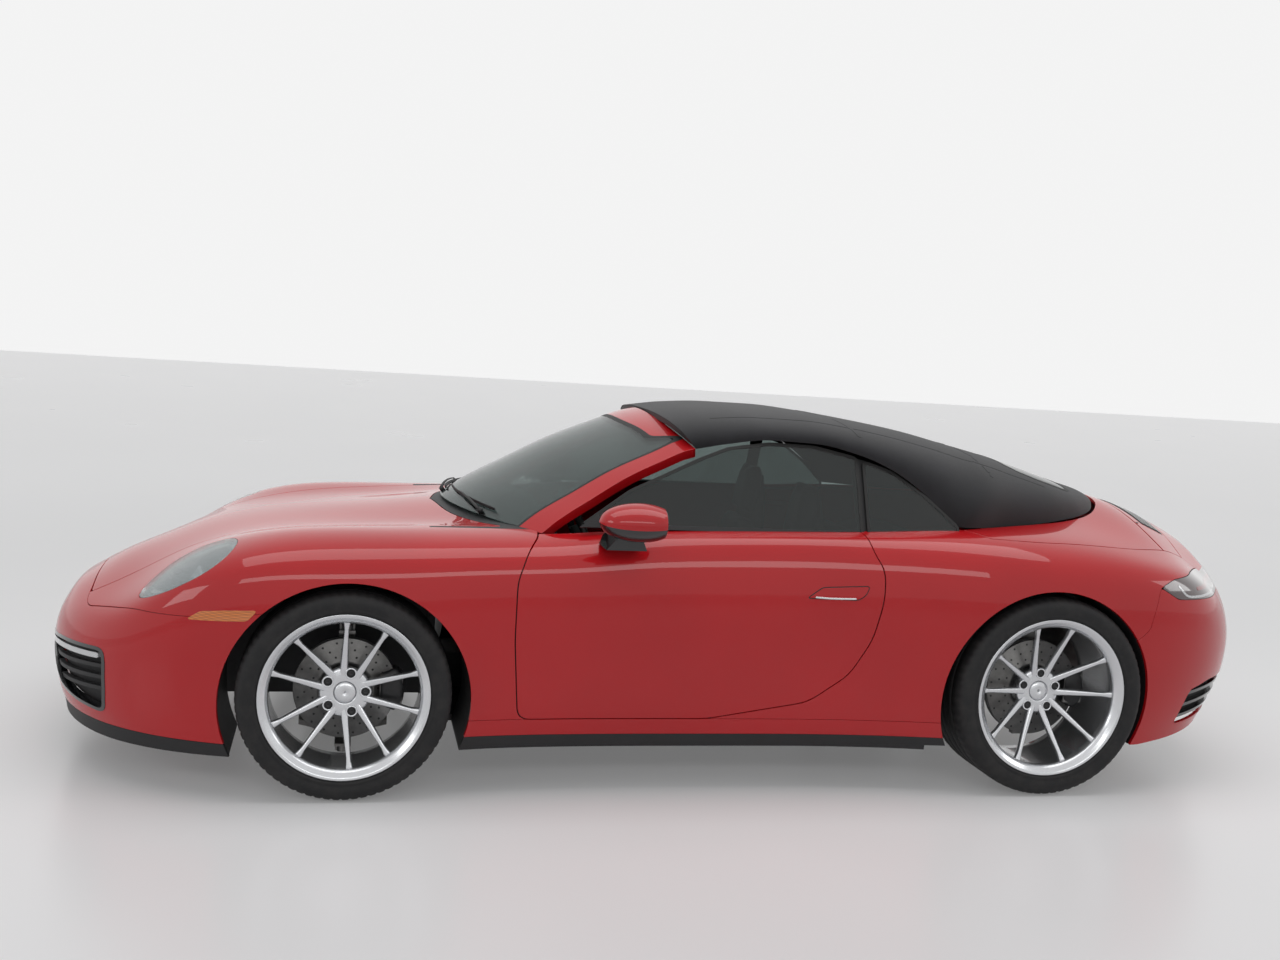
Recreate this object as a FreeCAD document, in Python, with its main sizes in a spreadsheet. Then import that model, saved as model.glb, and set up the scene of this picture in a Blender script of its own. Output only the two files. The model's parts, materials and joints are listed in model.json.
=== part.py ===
import FreeCAD, Part
import Sketcher
import math
import os

# Two-door convertible with its fabric top closed: body panels, glass, doors, lids, cabin, wheels and running gear.
# The nose points to -X, the driver's side to -Y and +Z is up. The origin lies on the ground under the middle.

SIZES = {
    "car_length": 4519,
    "body_width": 1852,
    "car_height": 1297,
    "wheel_base": 2450,
    "front_overhang": 1007,
    "front_tyre_radius": 339.8,
    "front_tyre_width": 245,
    "front_rim_radius": 254,
    "front_wheel_plane": 782,
    "rear_tyre_radius": 358,
    "rear_tyre_width": 298,
    "rear_rim_radius": 267,
    "rear_wheel_plane": 768,
    "rim_flange": 17,
    "rim_wall": 9,
    "rim_lip": 10,
    "hub_radius": 78,
    "hub_face": 44,
    "hub_dish": 12,
    "hub_back": 62,
    "hub_bore": 24.3,
    "centre_cap_radius": 34,
    "web_thickness": 26,
    "spoke_pairs": 5,
    "spoke_width": 15,
    "spoke_root_width": 22,
    "lug_circle": 65,
    "front_disc_radius": 165,
    "rear_disc_radius": 175,
    "disc_thickness": 30,
    "disc_offset": 26,
    "front_arch_radius": 397,
    "front_arch_height": 710,
    "front_arch_shift": 5,
    "rear_arch_radius": 400,
    "rear_arch_height": 741,
    "rear_arch_shift": 11.5,
    "arch_depth": 436,
    "liner_thickness": 5,
    "panel_thickness": 12,
    "panel_joint": 0.3,
    "door_gap": 8,
    "lid_gap": 6,
    "cowl_gap": 8,
    "lid_pivot_reach": 31,
    "lid_pivot_depth": 17,
    "lid_arm_thickness": 10,
    "lid_arm_length": 150,
    "lid_arm_gap": 5,
    "lid_pin_radius": 5,
    "deck_gap": 10,
    "neck_radius": 101,
    "neck_depth": 20,
    "neck_leg_angle": 68,
    "member_setback": 20,
    "member_drop": 35,
    "member_height": 25,
    "overrun": 60,
    "underside_depth": 60,
    "door_inner_plane": 712,
    "door_bevel": 26,
    "door_hinge_setback": 80,
    "door_hinge_low": 480,
    "door_hinge_high": 690,
    "door_hinge_inset": 22,
    "hinge_pin_radius": 7,
    "hinge_pin_play": 0.3,
    "hinge_height": 46,
    "hinge_reach": 16,
    "hinge_strap": 14,
    "glass_thickness": 6,
    "screen_frame_depth": 34,
    "prism_reach": 125,
    "roof_thickness": 24,
    "floor_height": 150,
    "floor_thickness": 22,
    "bulkhead_thickness": 25,
    "tub_half_width": 470,
    "tub_wall": 12,
    "tub_floor": 300,
    "tub_top": 640,
    "seat_width": 500,
    "seat_centre": 355,
    "wheel_rim_radius": 180,
    "wheel_rim_tube": 15,
    "mirror_depth": 256,
    "mirror_width": 160,
    "mirror_height": 124,
    "mirror_stalk": 14,
    "mirror_foot_lead": 70,
    "mirror_foot_trail": 20,
    "mirror_foot_slant": 30,
    "kingpin_inset": 20,
    "kingpin_radius": 9,
    "running_play": 0.3,
    "carrier_gap": 8,
    "carrier_depth": 26,
    "carrier_width": 26,
    "caliper_plate": 18,
    "arm_spread": 150,
    "arm_neck": 24,
    "arm_neck_reach": 190,
    "arm_window": 92,
    "rim_inset": 8,
    "sidewall_bulge": 7,
    "shoulder_depth": 14,
    "shoulder_width": 16,
    "shoulder_drop": 3,
    "muffler_radius": 75,
    "muffler_length": 900,
    "tailpipe_radius": 45,
    "tailpipe_length": 215,
    "cabin_start": 300,
    "cabin_end": 440,
    "floor_half_width": 695,
    "tunnel_half_width": 100,
    "tunnel_top": 300,
    "bulkhead_top": 800,
    "tub_reach": 560,
    "rail_centre": 420,
    "rail_width": 70,
    "rail_height": 60,
    "rear_rail_near": 430,
    "rear_rail_far": 488,
    "rear_rail_top": 640,
    "beam_reach": 200,
    "beam_depth": 50,
    "engine_start": 150,
    "engine_end": 735,
    "engine_half_width": 400,
    "engine_low": 230,
    "engine_top": 640,
    "gearbox_half_width": 180,
    "gearbox_top": 460,
    "seat_scale": 1000,
    "dash_width": 1240,
    "console_start": 450,
    "console_end": 350,
    "console_half_width": 85,
    "console_top": 520,
    "steering_reach": 520,
    "steering_height": 800,
    "steering_lean": 24,
    "steering_spoke": 34,
    "steering_boss": 50,
    "column_length": 260,
}

doc = FreeCAD.newDocument("Convertible")
sheet = doc.addObject("Spreadsheet::Sheet", "Dimensions")
for row, (alias, number) in enumerate(SIZES.items(), start=1):
    sheet.set(f"A{row}", alias)
    sheet.set(f"B{row}", str(number))
    sheet.setAlias(f"B{row}", alias)
doc.recompute()


class Size(float):
    """A length that remembers the sheet cells it is worked out from, so that a property can be bound to them."""

    def __new__(cls, number, text):
        size = float.__new__(cls, number)
        size.text = text
        return size

    @staticmethod
    def words(other):
        return other.text if isinstance(other, Size) else repr(float(other))

    def combine(self, other, sign, number):
        return Size(number, f"({self.text} {sign} {Size.words(other)})")

    def __add__(self, other):
        return self.combine(other, "+", float(self) + float(other))

    def __sub__(self, other):
        return self.combine(other, "-", float(self) - float(other))

    def __mul__(self, other):
        return self.combine(other, "*", float(self) * float(other))

    def __truediv__(self, other):
        return self.combine(other, "/", float(self) / float(other))

    def __neg__(self):
        return Size(-float(self), f"(0 - {self.text})")


class Cells:
    """The sheet's cells as sizes, by name."""

    def __getattr__(self, alias):
        return Size(float(sheet.get(alias)), f"Dimensions.{alias}")


D = Cells()
HALF = 0.5
THIRD = 1 / 3
FULL_TURN = 360
QUARTER_TURN = FULL_TURN * HALF * HALF
nodes = {}


def bind(thing, name, size):
    """Set one property and tie it to the sheet where the size comes from there."""
    if name.startswith("Placement.Base."):
        setattr(thing.Placement.Base, name[-1], float(size))
    else:
        setattr(thing, name, float(size))
    if isinstance(size, Size):
        thing.setExpression(name, size.text)


def node(label, thing):
    thing.Label = label
    nodes[label] = thing
    return thing


def solid_node(label, shape):
    """A sub-part whose shape comes from surfaces that the workbenches have no feature for."""
    thing = doc.addObject("Part::Feature", label)
    thing.Shape = shape
    thing.Placement = FreeCAD.Placement()
    return node(label, thing)


def block(name, low, high):
    """A box between two corners."""
    box = doc.addObject("Part::Box", name)
    for side, axis, start, end in zip(("Length", "Width", "Height"), "xyz", low, high):
        bind(box, side, end - start)
        bind(box, f"Placement.Base.{axis}", start)
    return box


def rod(name, start, direction, radius, length):
    """A round bar from a point along a direction."""
    bar = doc.addObject("Part::Cylinder", name)
    bar.Placement = FreeCAD.Placement(
        FreeCAD.Vector(*[float(v) for v in start]),
        FreeCAD.Rotation(FreeCAD.Vector(0, 0, 1), FreeCAD.Vector(*direction)),
    )
    bind(bar, "Radius", radius)
    bind(bar, "Height", length)
    for axis, place in zip("xyz", start):
        bind(bar, f"Placement.Base.{axis}", place)
    return bar


def join(label, things):
    whole = doc.addObject("Part::MultiFuse", label)
    whole.Shapes = things
    return whole


def group(label, things):
    whole = doc.addObject("Part::Compound", label)
    whole.Links = things
    return whole


def subtract(label, base, tool):
    rest = doc.addObject("Part::Cut", label)
    rest.Base = base
    rest.Tool = tool
    return rest


# Overall places

NOSE = -D.car_length * HALF
TAIL = D.car_length * HALF
FRONT_AXLE = NOSE + D.front_overhang
REAR_AXLE = FRONT_AXLE + D.wheel_base
half_width = float(D.body_width) * HALF
height = float(D.car_height)
length = float(D.car_length)


def along(share):
    """X of a place given as a share of the length from the nose."""
    return float(NOSE) + share * length


def level(share):
    """Z of a place given as a share of the height."""
    return share * height


def across(share):
    """Y on the driver's side of a place given as a share of the half width."""
    return -share * half_width


# Outer skin, as curves of shares from nose to tail

half_width_share = [
    (0, 0.84), (0.06, 0.915), (0.12, 0.962), (0.18, 0.985), (0.223, 0.988), (0.28, 0.975),
    (0.35, 0.952), (0.45, 0.943), (0.55, 0.945), (0.63, 0.962), (0.70, 0.99), (0.765, 1.0),
    (0.84, 0.985), (0.91, 0.945), (0.96, 0.90), (1, 0.86),
]
bottom_share = [
    (0, 0.125), (0.06, 0.118), (0.145, 0.115), (0.25, 0.125), (0.35, 0.128), (0.6, 0.128),
    (0.68, 0.135), (0.85, 0.125), (0.92, 0.150), (1, 0.175),
]
crest_height_share = [
    (0, 0.36), (0.045, 0.395), (0.072, 0.458), (0.085, 0.497), (0.0975, 0.538), (0.118, 0.592),
    (0.145, 0.631), (0.19, 0.656), (0.24, 0.663), (0.30, 0.665), (0.37, 0.665), (0.45, 0.683),
    (0.55, 0.692), (0.62, 0.698), (0.70, 0.708), (0.78, 0.70), (0.86, 0.667), (0.90, 0.623),
    (0.93, 0.545), (0.96, 0.46), (1, 0.40),
]
crest_width_share = [
    (0, 0.62), (0.08, 0.68), (0.14, 0.70), (0.20, 0.71), (0.28, 0.72), (0.36, 0.765), (0.44, 0.83),
    (0.55, 0.85), (0.65, 0.84), (0.75, 0.80), (0.85, 0.76), (0.93, 0.74), (1, 0.66),
]
centre_height_share = [
    (0, 0.395), (0.010, 0.418), (0.03, 0.462), (0.0465, 0.497), (0.0785, 0.545), (0.109, 0.590),
    (0.155, 0.622), (0.20, 0.643), (0.25, 0.660), (0.30, 0.680), (0.35, 0.695), (0.5, 0.70),
    (0.62, 0.71), (0.70, 0.735), (0.78, 0.762), (0.84, 0.78), (0.875, 0.784), (0.90, 0.766),
    (0.93, 0.732), (0.955, 0.696), (0.975, 0.66), (0.99, 0.60), (1, 0.53),
]
valley_share = [(0, 0), (0.08, 0.004), (0.15, 0.012), (0.25, 0.018), (0.33, 0.01), (0.4, 0), (0.7, 0),
                (0.85, 0.01), (0.95, 0.005), (1, 0)]
# Each side row: rise from sill to crest, then inset at the door, at the wheels and at the ends
side_row_shares = [
    (0.0, 0.076, 0.026, 0.065),
    (0.14, 0.043, 0.009, 0.026),
    (0.36, 0.024, 0.0, 0.007),
    (0.60, 0.0, 0.0, 0.005),
    (0.80, 0.011, 0.013, 0.028),
    (0.925, 0.041, 0.065, 0.076),
]
top_row_shares = (0.72, 0.45, 0.2, 0.0)
# How far each row stays back from the foremost and rearmost points
nose_set_shares = (0.012, 0.010, 0.005, 0.002, 0.0, 0.002, 0.008, 0.014, 0.019, 0.023, 0.025, 0.026)
tail_set_shares = (0.034, 0.030, 0.014, 0.003, 0.0, 0.005, 0.015, 0.025, 0.032, 0.036, 0.0375, 0.038)
wheel_bulge_shares = ((0.223, 0.085), (0.765, 0.10))
end_zone_shares = (0.13, 0.12)
nose_round_share = 0.16
tail_round_share = 0.15
round_power_along = 2.3
round_power_across = 2.6
STATIONS = 41


def curve(table, share):
    """Smooth value between a table's points, with no overshoot."""
    if share <= table[0][0]:
        return table[0][1]
    if share >= table[-1][0]:
        return table[-1][1]
    runs = [b[0] - a[0] for a, b in zip(table, table[1:])]
    slopes = [(b[1] - a[1]) / run for a, b, run in zip(table, table[1:], runs)]

    def tangent(i):
        if i == 0:
            return slopes[0]
        if i == len(table) - 1:
            return slopes[-1]
        if slopes[i - 1] * slopes[i] <= 0:
            return 0.0
        before = 2 * runs[i] + runs[i - 1]
        after = runs[i] + 2 * runs[i - 1]
        return (before + after) / (before / slopes[i - 1] + after / slopes[i])

    i = next(k for k, point in enumerate(table[1:]) if share <= point[0])
    t = (share - table[i][0]) / runs[i]
    return (
        (2 * t**3 - 3 * t**2 + 1) * table[i][1]
        + (t**3 - 2 * t**2 + t) * runs[i] * tangent(i)
        + (3 * t**2 - 2 * t**3) * table[i + 1][1]
        + (t**3 - t**2) * runs[i] * tangent(i + 1)
    )


def section(share, inset, spread):
    """Half section of the body as (distance from the middle, height), from under the sill to the centre line.

    Spread is how much of the full width is left where the body rounds off at either end."""
    side = curve(half_width_share, share) * half_width - inset
    low = curve(bottom_share, share) * height
    crest_z = curve(crest_height_share, share) * height - inset
    crest_y = curve(crest_width_share, share) * half_width - HALF * inset
    centre = curve(centre_height_share, share) * height - inset
    crest_z = centre + (crest_z - centre) * spread**2
    near_wheel = min(1.0, sum(math.exp(-(((share - at) / wide) ** 2)) for at, wide in wheel_bulge_shares))
    front_zone, rear_zone = end_zone_shares
    end = max(0.0, 1 - share / front_zone, (share - 1 + rear_zone) / rear_zone)
    rows = []
    for rise, door, wheel, tip in side_row_shares:
        tuck = (door * (1 - near_wheel) + wheel * near_wheel) * (1 - end) + tip * end
        rows.append((side - tuck * half_width, low + rise * (crest_z - low)))
    lean = (rows[1][0] - rows[0][0]) * HALF
    rows.insert(0, (rows[0][0] - lean, -float(D.underside_depth)))
    rows.append((crest_y, crest_z))
    valley = curve(valley_share, share) * height * spread**2
    for out in top_row_shares:
        hollow = valley * 4 * out**2 * (1 - out**2)
        rows.append((crest_y * out, centre + (crest_z - centre) * out**2 - hollow))
    return [(y * spread, z) for y, z in rows]


def skin_row(u, j, inset):
    """Point of the skin on the driver's side: u runs from nose to tail, j counts the rows up to the centre line."""
    nose = nose_set_shares[j] + inset / length
    tail = 1 - tail_set_shares[j] - inset / length
    bend = 0.2
    if u < bend:
        angle = u / bend * math.pi * HALF
        share = nose_round_share - (nose_round_share - nose) * math.cos(angle) ** (2 / round_power_along)
        spread = math.sin(angle) ** (2 / round_power_across)
    elif u > 1 - bend:
        angle = (1 - u) / bend * math.pi * HALF
        start = 1 - tail_round_share
        share = start + (tail - start) * math.cos(angle) ** (2 / round_power_along)
        spread = math.sin(angle) ** (2 / round_power_across)
    else:
        run = 1 - tail_round_share - nose_round_share
        share = nose_round_share + (u - bend) / (1 - 2 * bend) * run
        spread = 1.0
    y, z = section(share, inset, spread)[j]
    return FreeCAD.Vector(along(share), -y, z)


def closed_solid(faces):
    shell = Part.Shell(faces)
    shell.sewShape()
    solid = Part.Solid(Part.Shell(shell.Faces))
    if solid.Volume < 0:
        solid.reverse()
    return solid


def reflected(place):
    return FreeCAD.Vector(place.x, -place.y, place.z)


def slope(before, after):
    """Slope of one coordinate at a point between two runs, flat where the coordinate turns back."""
    return 0.0 if before * after <= 0 else 2 * before * after / (before + after)


def spline_poles(line, first, last):
    """Poles of a smooth line through all the points, given the points that would come before and after it."""
    places = [first] + line + [last]
    poles = []
    for i, here in enumerate(line, start=1):
        runs = zip(here - places[i - 1], places[i + 1] - here)
        third = FreeCAD.Vector(*[slope(before, after) for before, after in runs]) / 3
        poles.append(here if i == 1 else here - third)
        poles.append(here if i == len(line) else here + third)
    return poles


def beyond(end, inner):
    """The point as far past an end as the next one lies before it."""
    return end + (end - inner)


def half_body(inset):
    """Everything inside the skin on the driver's side, down to a flat face under the car."""
    rows = len(nose_set_shares)
    grid = [[skin_row(i / (STATIONS - 1), j, inset) for j in range(rows)] for i in range(STATIONS)]
    for line in (grid[0], grid[-1]):
        for place in line:
            place.y = 0
    for line in grid:
        line[-1].y = 0
    grid = [spline_poles(line, beyond(line[0], line[1]), reflected(line[-2])) for line in grid]
    columns = [spline_poles(list(column), reflected(column[1]), reflected(column[-2])) for column in zip(*grid)]
    centre = [line[-1] for line in grid]
    columns[-1] = spline_poles(centre, beyond(centre[0], centre[1]), beyond(centre[-1], centre[-2]))
    surface = Part.BSplineSurface()
    knots = [list(range(count)) for count in (STATIONS, rows)]
    repeats = [[4] + [2] * (len(line) - 2) + [4] for line in knots]
    surface.buildFromPolesMultsKnots([list(line) for line in zip(*columns)], *repeats, *knots, False, False, 3, 3)
    u_low, u_high, v_low, v_high = surface.bounds()
    nose_edge = surface.uIso(u_low).toShape()
    tail_edge = surface.uIso(u_high).toShape()
    low_edge = surface.vIso(v_low).toShape()
    top_edge = surface.vIso(v_high).toShape()
    middle_line = Part.makeLine(grid[0][0], grid[-1][0])
    middle = Part.Face(Part.Wire(Part.sortEdges([nose_edge, top_edge, tail_edge, middle_line])[0]))
    under = Part.Face(Part.Wire(Part.sortEdges([low_edge, middle_line])[0]))
    return closed_solid([surface.toShape(), middle, under])


outer_half = half_body(0)
inner_half = half_body(float(D.panel_thickness))


# Outlines in the side view and from above


def point(x, y, z):
    return FreeCAD.Vector(float(x), float(y), float(z))


def side_prism(outline, near, far):
    """Solid seen from the side as an outline of (x, z), reaching from near to far across the car."""
    corners = [point(x, near, z) for x, z in outline]
    face = Part.Face(Part.makePolygon(corners + corners[:1]))
    return face.extrude(point(0, float(far) - float(near), 0))


def plan_prism(outline, low, high):
    """Solid seen from above as an outline of (x, y), reaching from low to high."""
    corners = [point(x, y, low) for x, y in outline]
    face = Part.Face(Part.makePolygon(corners + corners[:1]))
    return face.extrude(point(0, 0, float(high) - float(low)))


def grown(outline, gap):
    """A closed outline of (x, y) with every side moved outwards by a gap."""
    count = len(outline)
    following = [outline[(i + 1) % count] for i in range(count)]
    area = sum(a[0] * b[1] - b[0] * a[1] for a, b in zip(outline, following))
    turn = math.copysign(1, area)
    normals = []
    for (x0, y0), (x1, y1) in zip(outline, following):
        run = math.hypot(x1 - x0, y1 - y0)
        normals.append((turn * (y1 - y0) / run, turn * (x0 - x1) / run))
    moved = []
    for i, (x, y) in enumerate(outline):
        before, after = normals[i - 1], normals[i]
        reach = gap / (1 + before[0] * after[0] + before[1] * after[1])
        moved.append((x + reach * (before[0] + after[0]), y + reach * (before[1] + after[1])))
    return moved


def smooth_prism(runs, gap, low, high):
    """Upright prism whose outline joins smooth runs of (x, y) end to end, grown outwards by a gap."""
    corners = [place for run in runs for place in run[:-1]]
    moved = grown(corners, gap)
    edges = []
    first = 0
    for run in runs:
        places = [moved[(first + i) % len(moved)] for i in range(len(run))]
        places = [point(x, y, low) for x, y in places]
        first += len(run) - 1
        if len(places) == 2:
            edges.append(Part.makeLine(*places))
        else:
            line = Part.BSplineCurve()
            line.interpolate(places)
            edges.append(line.toShape())
    face = Part.Face(Part.Wire(Part.sortEdges(edges)[0]))
    return face.extrude(point(0, 0, float(high) - float(low)))


def shares_to_side(table):
    return [(along(x), level(z)) for x, z in table]


def shares_to_plan(table):
    return [(along(x), across(y)) for x, y in table]


def mirrored(shape):
    return shape.mirror(point(0, 0, 0), point(0, 1, 0))


def whole(half):
    """Both halves of a central piece as one solid."""
    return half.fuse(mirrored(half)).removeSplitter()


OUTSIDE = -(D.body_width * HALF + D.overrun)
ABOVE = D.car_height + D.overrun

# Shut lines, as shares of length and height in the side view and of length and half width from above

door_side_shares = [
    (0.3612, 0.720), (0.3612, 0.664), (0.3497, 0.632), (0.344, 0.584), (0.341, 0.552), (0.341, 0.41), (0.3468, 0.2),
    (0.49, 0.2), (0.568, 0.249), (0.598, 0.327), (0.613, 0.424), (0.620, 0.534), (0.620, 0.61),
    (0.6115, 0.655), (0.6085, 0.720),
]
bumper_side_shares = [
    (-0.05, -0.3), (-0.05, 0.60), (0.0345, 0.60), (0.0345, 0.413), (0.077, 0.449), (0.115, 0.452),
    (0.165, 0.468), (0.20, 0.468), (0.20, -0.3),
]
sill_side_shares = [(0.24, 0.198), (0.66, 0.198), (0.70, 0.198), (0.70, -0.3), (0.24, -0.3)]
lip_side_shares = [(-0.05, -0.3), (-0.05, 0.152), (0.08, 0.142), (0.16, 0.135), (0.20, 0.135), (0.20, -0.3)]
body_above_side_shares = [
    (-0.05, 0.115), (0.06, 0.105), (0.145, 0.105), (0.25, 0.125), (0.35, 0.128), (0.6, 0.128),
    (0.70, 0.135), (0.85, 0.135), (0.93, 0.165), (1.05, 0.19), (1.05, 1.1), (-0.05, 1.1),
]
fender_side_shares = [(0.03, 0.1), (0.03, 1.0), (0.3735, 1.0), (0.3735, 0.1)]
quarter_side_shares = [
    (0.48, 0.198), (0.48, 1.0), (1.05, 1.0), (1.05, 0.585), (0.95, 0.596), (0.905, 0.612), (0.870, 0.606),
    (0.8545, 0.5855),
    (0.845, 0.47), (0.835, 0.44), (0.78, 0.44), (0.78, 0.198),
]
cabin_plan_shares = [
    (0.3735, -0.1), (0.3735, 0.76), (0.45, 0.765), (0.55, 0.77), (0.62, 0.77), (0.665, 0.75), (0.693, 0.70),
    (0.715, 0.55), (0.715, -0.1),
]
cowl_plan_shares = [(0.28, -0.1), (0.28, 0.67), (0.34, 0.70), (0.373, 0.72), (0.373, -0.1)]
lid_sides_shares = [(0.036, 0.42), (0.09, 0.45), (0.19, 0.56), (0.26, 0.62), (0.335, 0.66)]
lid_rear_shares = [(0.335, 0.66), (0.318, 0.55), (0.298, 0.32), (0.287, 0.0)]
lid_front_shares = [(0.0335, 0.0), (0.034, 0.22), (0.036, 0.42)]
lamp_plan_shares = [
    (0.0765, 0.735), (0.085, 0.800), (0.103, 0.868), (0.125, 0.900), (0.1395, 0.865), (0.1455, 0.760),
    (0.140, 0.650), (0.120, 0.600), (0.098, 0.610), (0.083, 0.665),
]
lamp_floor_share = 0.42
tail_lamp_side_shares = [
    (0.8545, 0.5855), (0.873, 0.552), (0.905, 0.548), (0.95, 0.543), (1.05, 0.538), (1.05, 0.585),
    (0.95, 0.596), (0.905, 0.612), (0.870, 0.606),
]
rear_bumper_side_shares = [
    (0.8545, 0.5855), (0.845, 0.47), (0.835, 0.44), (0.78, 0.44), (0.78, -0.3), (1.05, -0.3), (1.05, 0.538),
    (0.95, 0.543), (0.905, 0.548), (0.873, 0.552),
]
deck_line_shares = [(0.715, 0.845), (0.77, 0.835), (0.85, 0.76), (0.925, 0.563)]
deck_front_shares = [(0.665, 0.60), (0.715, 0.845)]
deck_rear_shares = [(0.925, 0.563), (0.937, 0.32), (0.941, 0.0)]
engine_lid_front_shares = [(0.8935, 0.86), (0.895, 0.735), (0.898, 0.50), (0.900, 0.25), (0.9005, 0.0)]
spoiler_plan_shares = [(0.90, -0.1), (0.90, 0.563), (1.05, 0.563), (1.05, -0.1)]
spoiler_floor_share = 0.591
lid_arm_share = 0.585
front_post_share = 0.3265
rear_post_share = 0.622
sill_top_share = 0.193
waist_share = 0.63
door_skin_share = 0.950
door_rear_share = 0.93
deck_pivot_shares = (0.876, 0.40, 0.713)
fabric_base_shares = [
    (0.693, 0.775), (0.755, 0.665), (0.81, 0.55), (0.85, 0.425), (0.875, 0.27), (0.885, 0.13), (0.8875, 0.0),
]

door_outline = shares_to_side(door_side_shares)
PAST_MIDDLE = float(D.overrun)
SIDE_NEAR = float(OUTSIDE)
joint = float(D.panel_joint)
door_gap = float(D.door_gap)
lid_gap = float(D.lid_gap)
deck_gap = float(D.deck_gap)


def over_middle(last, first):
    """Closes an outline that ends on the centre line, a little beyond it."""
    return [[last, (last[0], PAST_MIDDLE)], [(last[0], PAST_MIDDLE), (first[0], PAST_MIDDLE)],
            [(first[0], PAST_MIDDLE), first]]


def lid_prism(gap):
    runs = [shares_to_plan(lid_front_shares), shares_to_plan(lid_sides_shares), shares_to_plan(lid_rear_shares)]
    runs += over_middle(runs[-1][-1], runs[0][0])
    return smooth_prism(runs, gap, level(lamp_floor_share) * HALF, ABOVE)


def deck_prism(gap):
    """Everything inside the rear shut line, from the cabin back to the tail."""
    runs = [shares_to_plan(deck_front_shares), shares_to_plan(deck_line_shares), shares_to_plan(deck_rear_shares)]
    corner = (runs[0][0][0], 0)
    runs += over_middle(runs[-1][-1], corner)
    runs += [[corner, runs[0][0]]]
    return smooth_prism(runs, gap, level(lamp_floor_share), ABOVE)


def engine_zone(gap):
    """Everything behind the front edge of the engine lid."""
    front = shares_to_plan(engine_lid_front_shares)
    past = float(TAIL + D.overrun)
    runs = [front, [front[-1], (front[-1][0], PAST_MIDDLE)], [(front[-1][0], PAST_MIDDLE), (past, PAST_MIDDLE)],
            [(past, PAST_MIDDLE), (past, front[0][1])], [(past, front[0][1]), front[0]]]
    return smooth_prism(runs, gap, level(lamp_floor_share), ABOVE)


def side_cut(table):
    return side_prism(shares_to_side(table), SIDE_NEAR, PAST_MIDDLE)


FRONT_ARCH_X = FRONT_AXLE + D.front_arch_shift
REAR_ARCH_X = REAR_AXLE - D.rear_arch_shift
FRONT_ARCH_Z = D.front_arch_height - D.front_arch_radius
REAR_ARCH_Z = D.rear_arch_height - D.rear_arch_radius
ARCH_INNER = D.body_width * HALF - D.arch_depth


def arch_cylinder(x, z, radius):
    reach = -float(ARCH_INNER) - float(OUTSIDE)
    return Part.makeCylinder(float(radius), reach, point(x, OUTSIDE, z), point(0, 1, 0))


front_arch = arch_cylinder(FRONT_ARCH_X, FRONT_ARCH_Z, D.front_arch_radius)
rear_arch = arch_cylinder(REAR_ARCH_X, REAR_ARCH_Z, D.rear_arch_radius)
front_liner = arch_cylinder(FRONT_ARCH_X, FRONT_ARCH_Z, D.front_arch_radius + D.liner_thickness)
rear_liner = arch_cylinder(REAR_ARCH_X, REAR_ARCH_Z, D.rear_arch_radius + D.liner_thickness)

# Panels of the outer skin

door_opening = side_prism(grown(door_outline, door_gap), SIDE_NEAR, PAST_MIDDLE)
above_floor = side_cut(body_above_side_shares)
cabin_top = plan_prism(shares_to_plan(cabin_plan_shares), level(0.55), ABOVE)
bumper_region = side_cut(bumper_side_shares)
lip_region = side_cut(lip_side_shares)
sill_region = side_cut(sill_side_shares)
tail_lamp_region = side_cut(tail_lamp_side_shares)
rear_bumper_region = side_cut(rear_bumper_side_shares)
fender_region = side_cut(fender_side_shares)
quarter_region = side_cut(quarter_side_shares)
lamp_prism = plan_prism(shares_to_plan(lamp_plan_shares), level(lamp_floor_share), ABOVE)
cowl_region = plan_prism(shares_to_plan(cowl_plan_shares), level(0.5), ABOVE)
lid_hole = lid_prism(lid_gap)
deck_hole = deck_prism(lid_gap)
body_half = outer_half.common(above_floor)
lid_under = half_body(2 * float(D.panel_thickness))
lamp_under = half_body(3 * float(D.panel_thickness))


def panel(region, holes, under=inner_half):
    """Stretch of the skin inside a region, without the holes, as thick as the body under it leaves."""
    piece = body_half.common(region)
    for hole in holes:
        piece = piece.cut(hole)
    piece = piece.cut(under)
    solids = sorted(piece.Solids, key=lambda solid: -solid.Volume)
    return solids[0]


bumper_half = panel(bumper_region, [lip_region, lid_hole, front_arch])
lip_half = panel(bumper_region.common(lip_region), [front_arch])
fender_half = panel(fender_region, [bumper_region, sill_region, lamp_prism, lid_hole, cowl_region,
                                              door_opening, front_arch, cabin_top])
cowl_half = panel(cowl_region, [lid_prism(float(D.cowl_gap))])
sill_half = panel(sill_region, [front_arch, rear_arch, door_opening])
lamp_half = panel(lamp_prism, [bumper_region], lamp_under)
lid_half = panel(lid_prism(0), [], lid_under)
spoiler_region = plan_prism(shares_to_plan(spoiler_plan_shares), level(spoiler_floor_share), ABOVE)
tail_lamp_half = panel(tail_lamp_region, [spoiler_region])
rear_bumper_half = panel(rear_bumper_region, [rear_arch])
quarter_half = panel(quarter_region, [deck_hole, rear_arch, door_opening, cabin_top, spoiler_region])
spoiler_half = panel(spoiler_region, [deck_hole])
tonneau_half = panel(deck_prism(0), [engine_zone(deck_gap), plan_prism(
    shares_to_plan(fabric_base_shares + [(0.8875, -0.1), (0.6, -0.1), (0.6, 0.775)]), level(0.5), ABOVE)])
engine_lid_half = panel(deck_prism(0).common(engine_zone(0)), [])


def both_sides(label, half):
    """The same piece on both sides of the car, as two nodes."""
    solid_node(f"{label}_left", half)
    solid_node(f"{label}_right", mirrored(half))


def pair(half):
    """A left and a right solid that share a node."""
    return Part.makeCompound([half, mirrored(half)])


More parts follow.
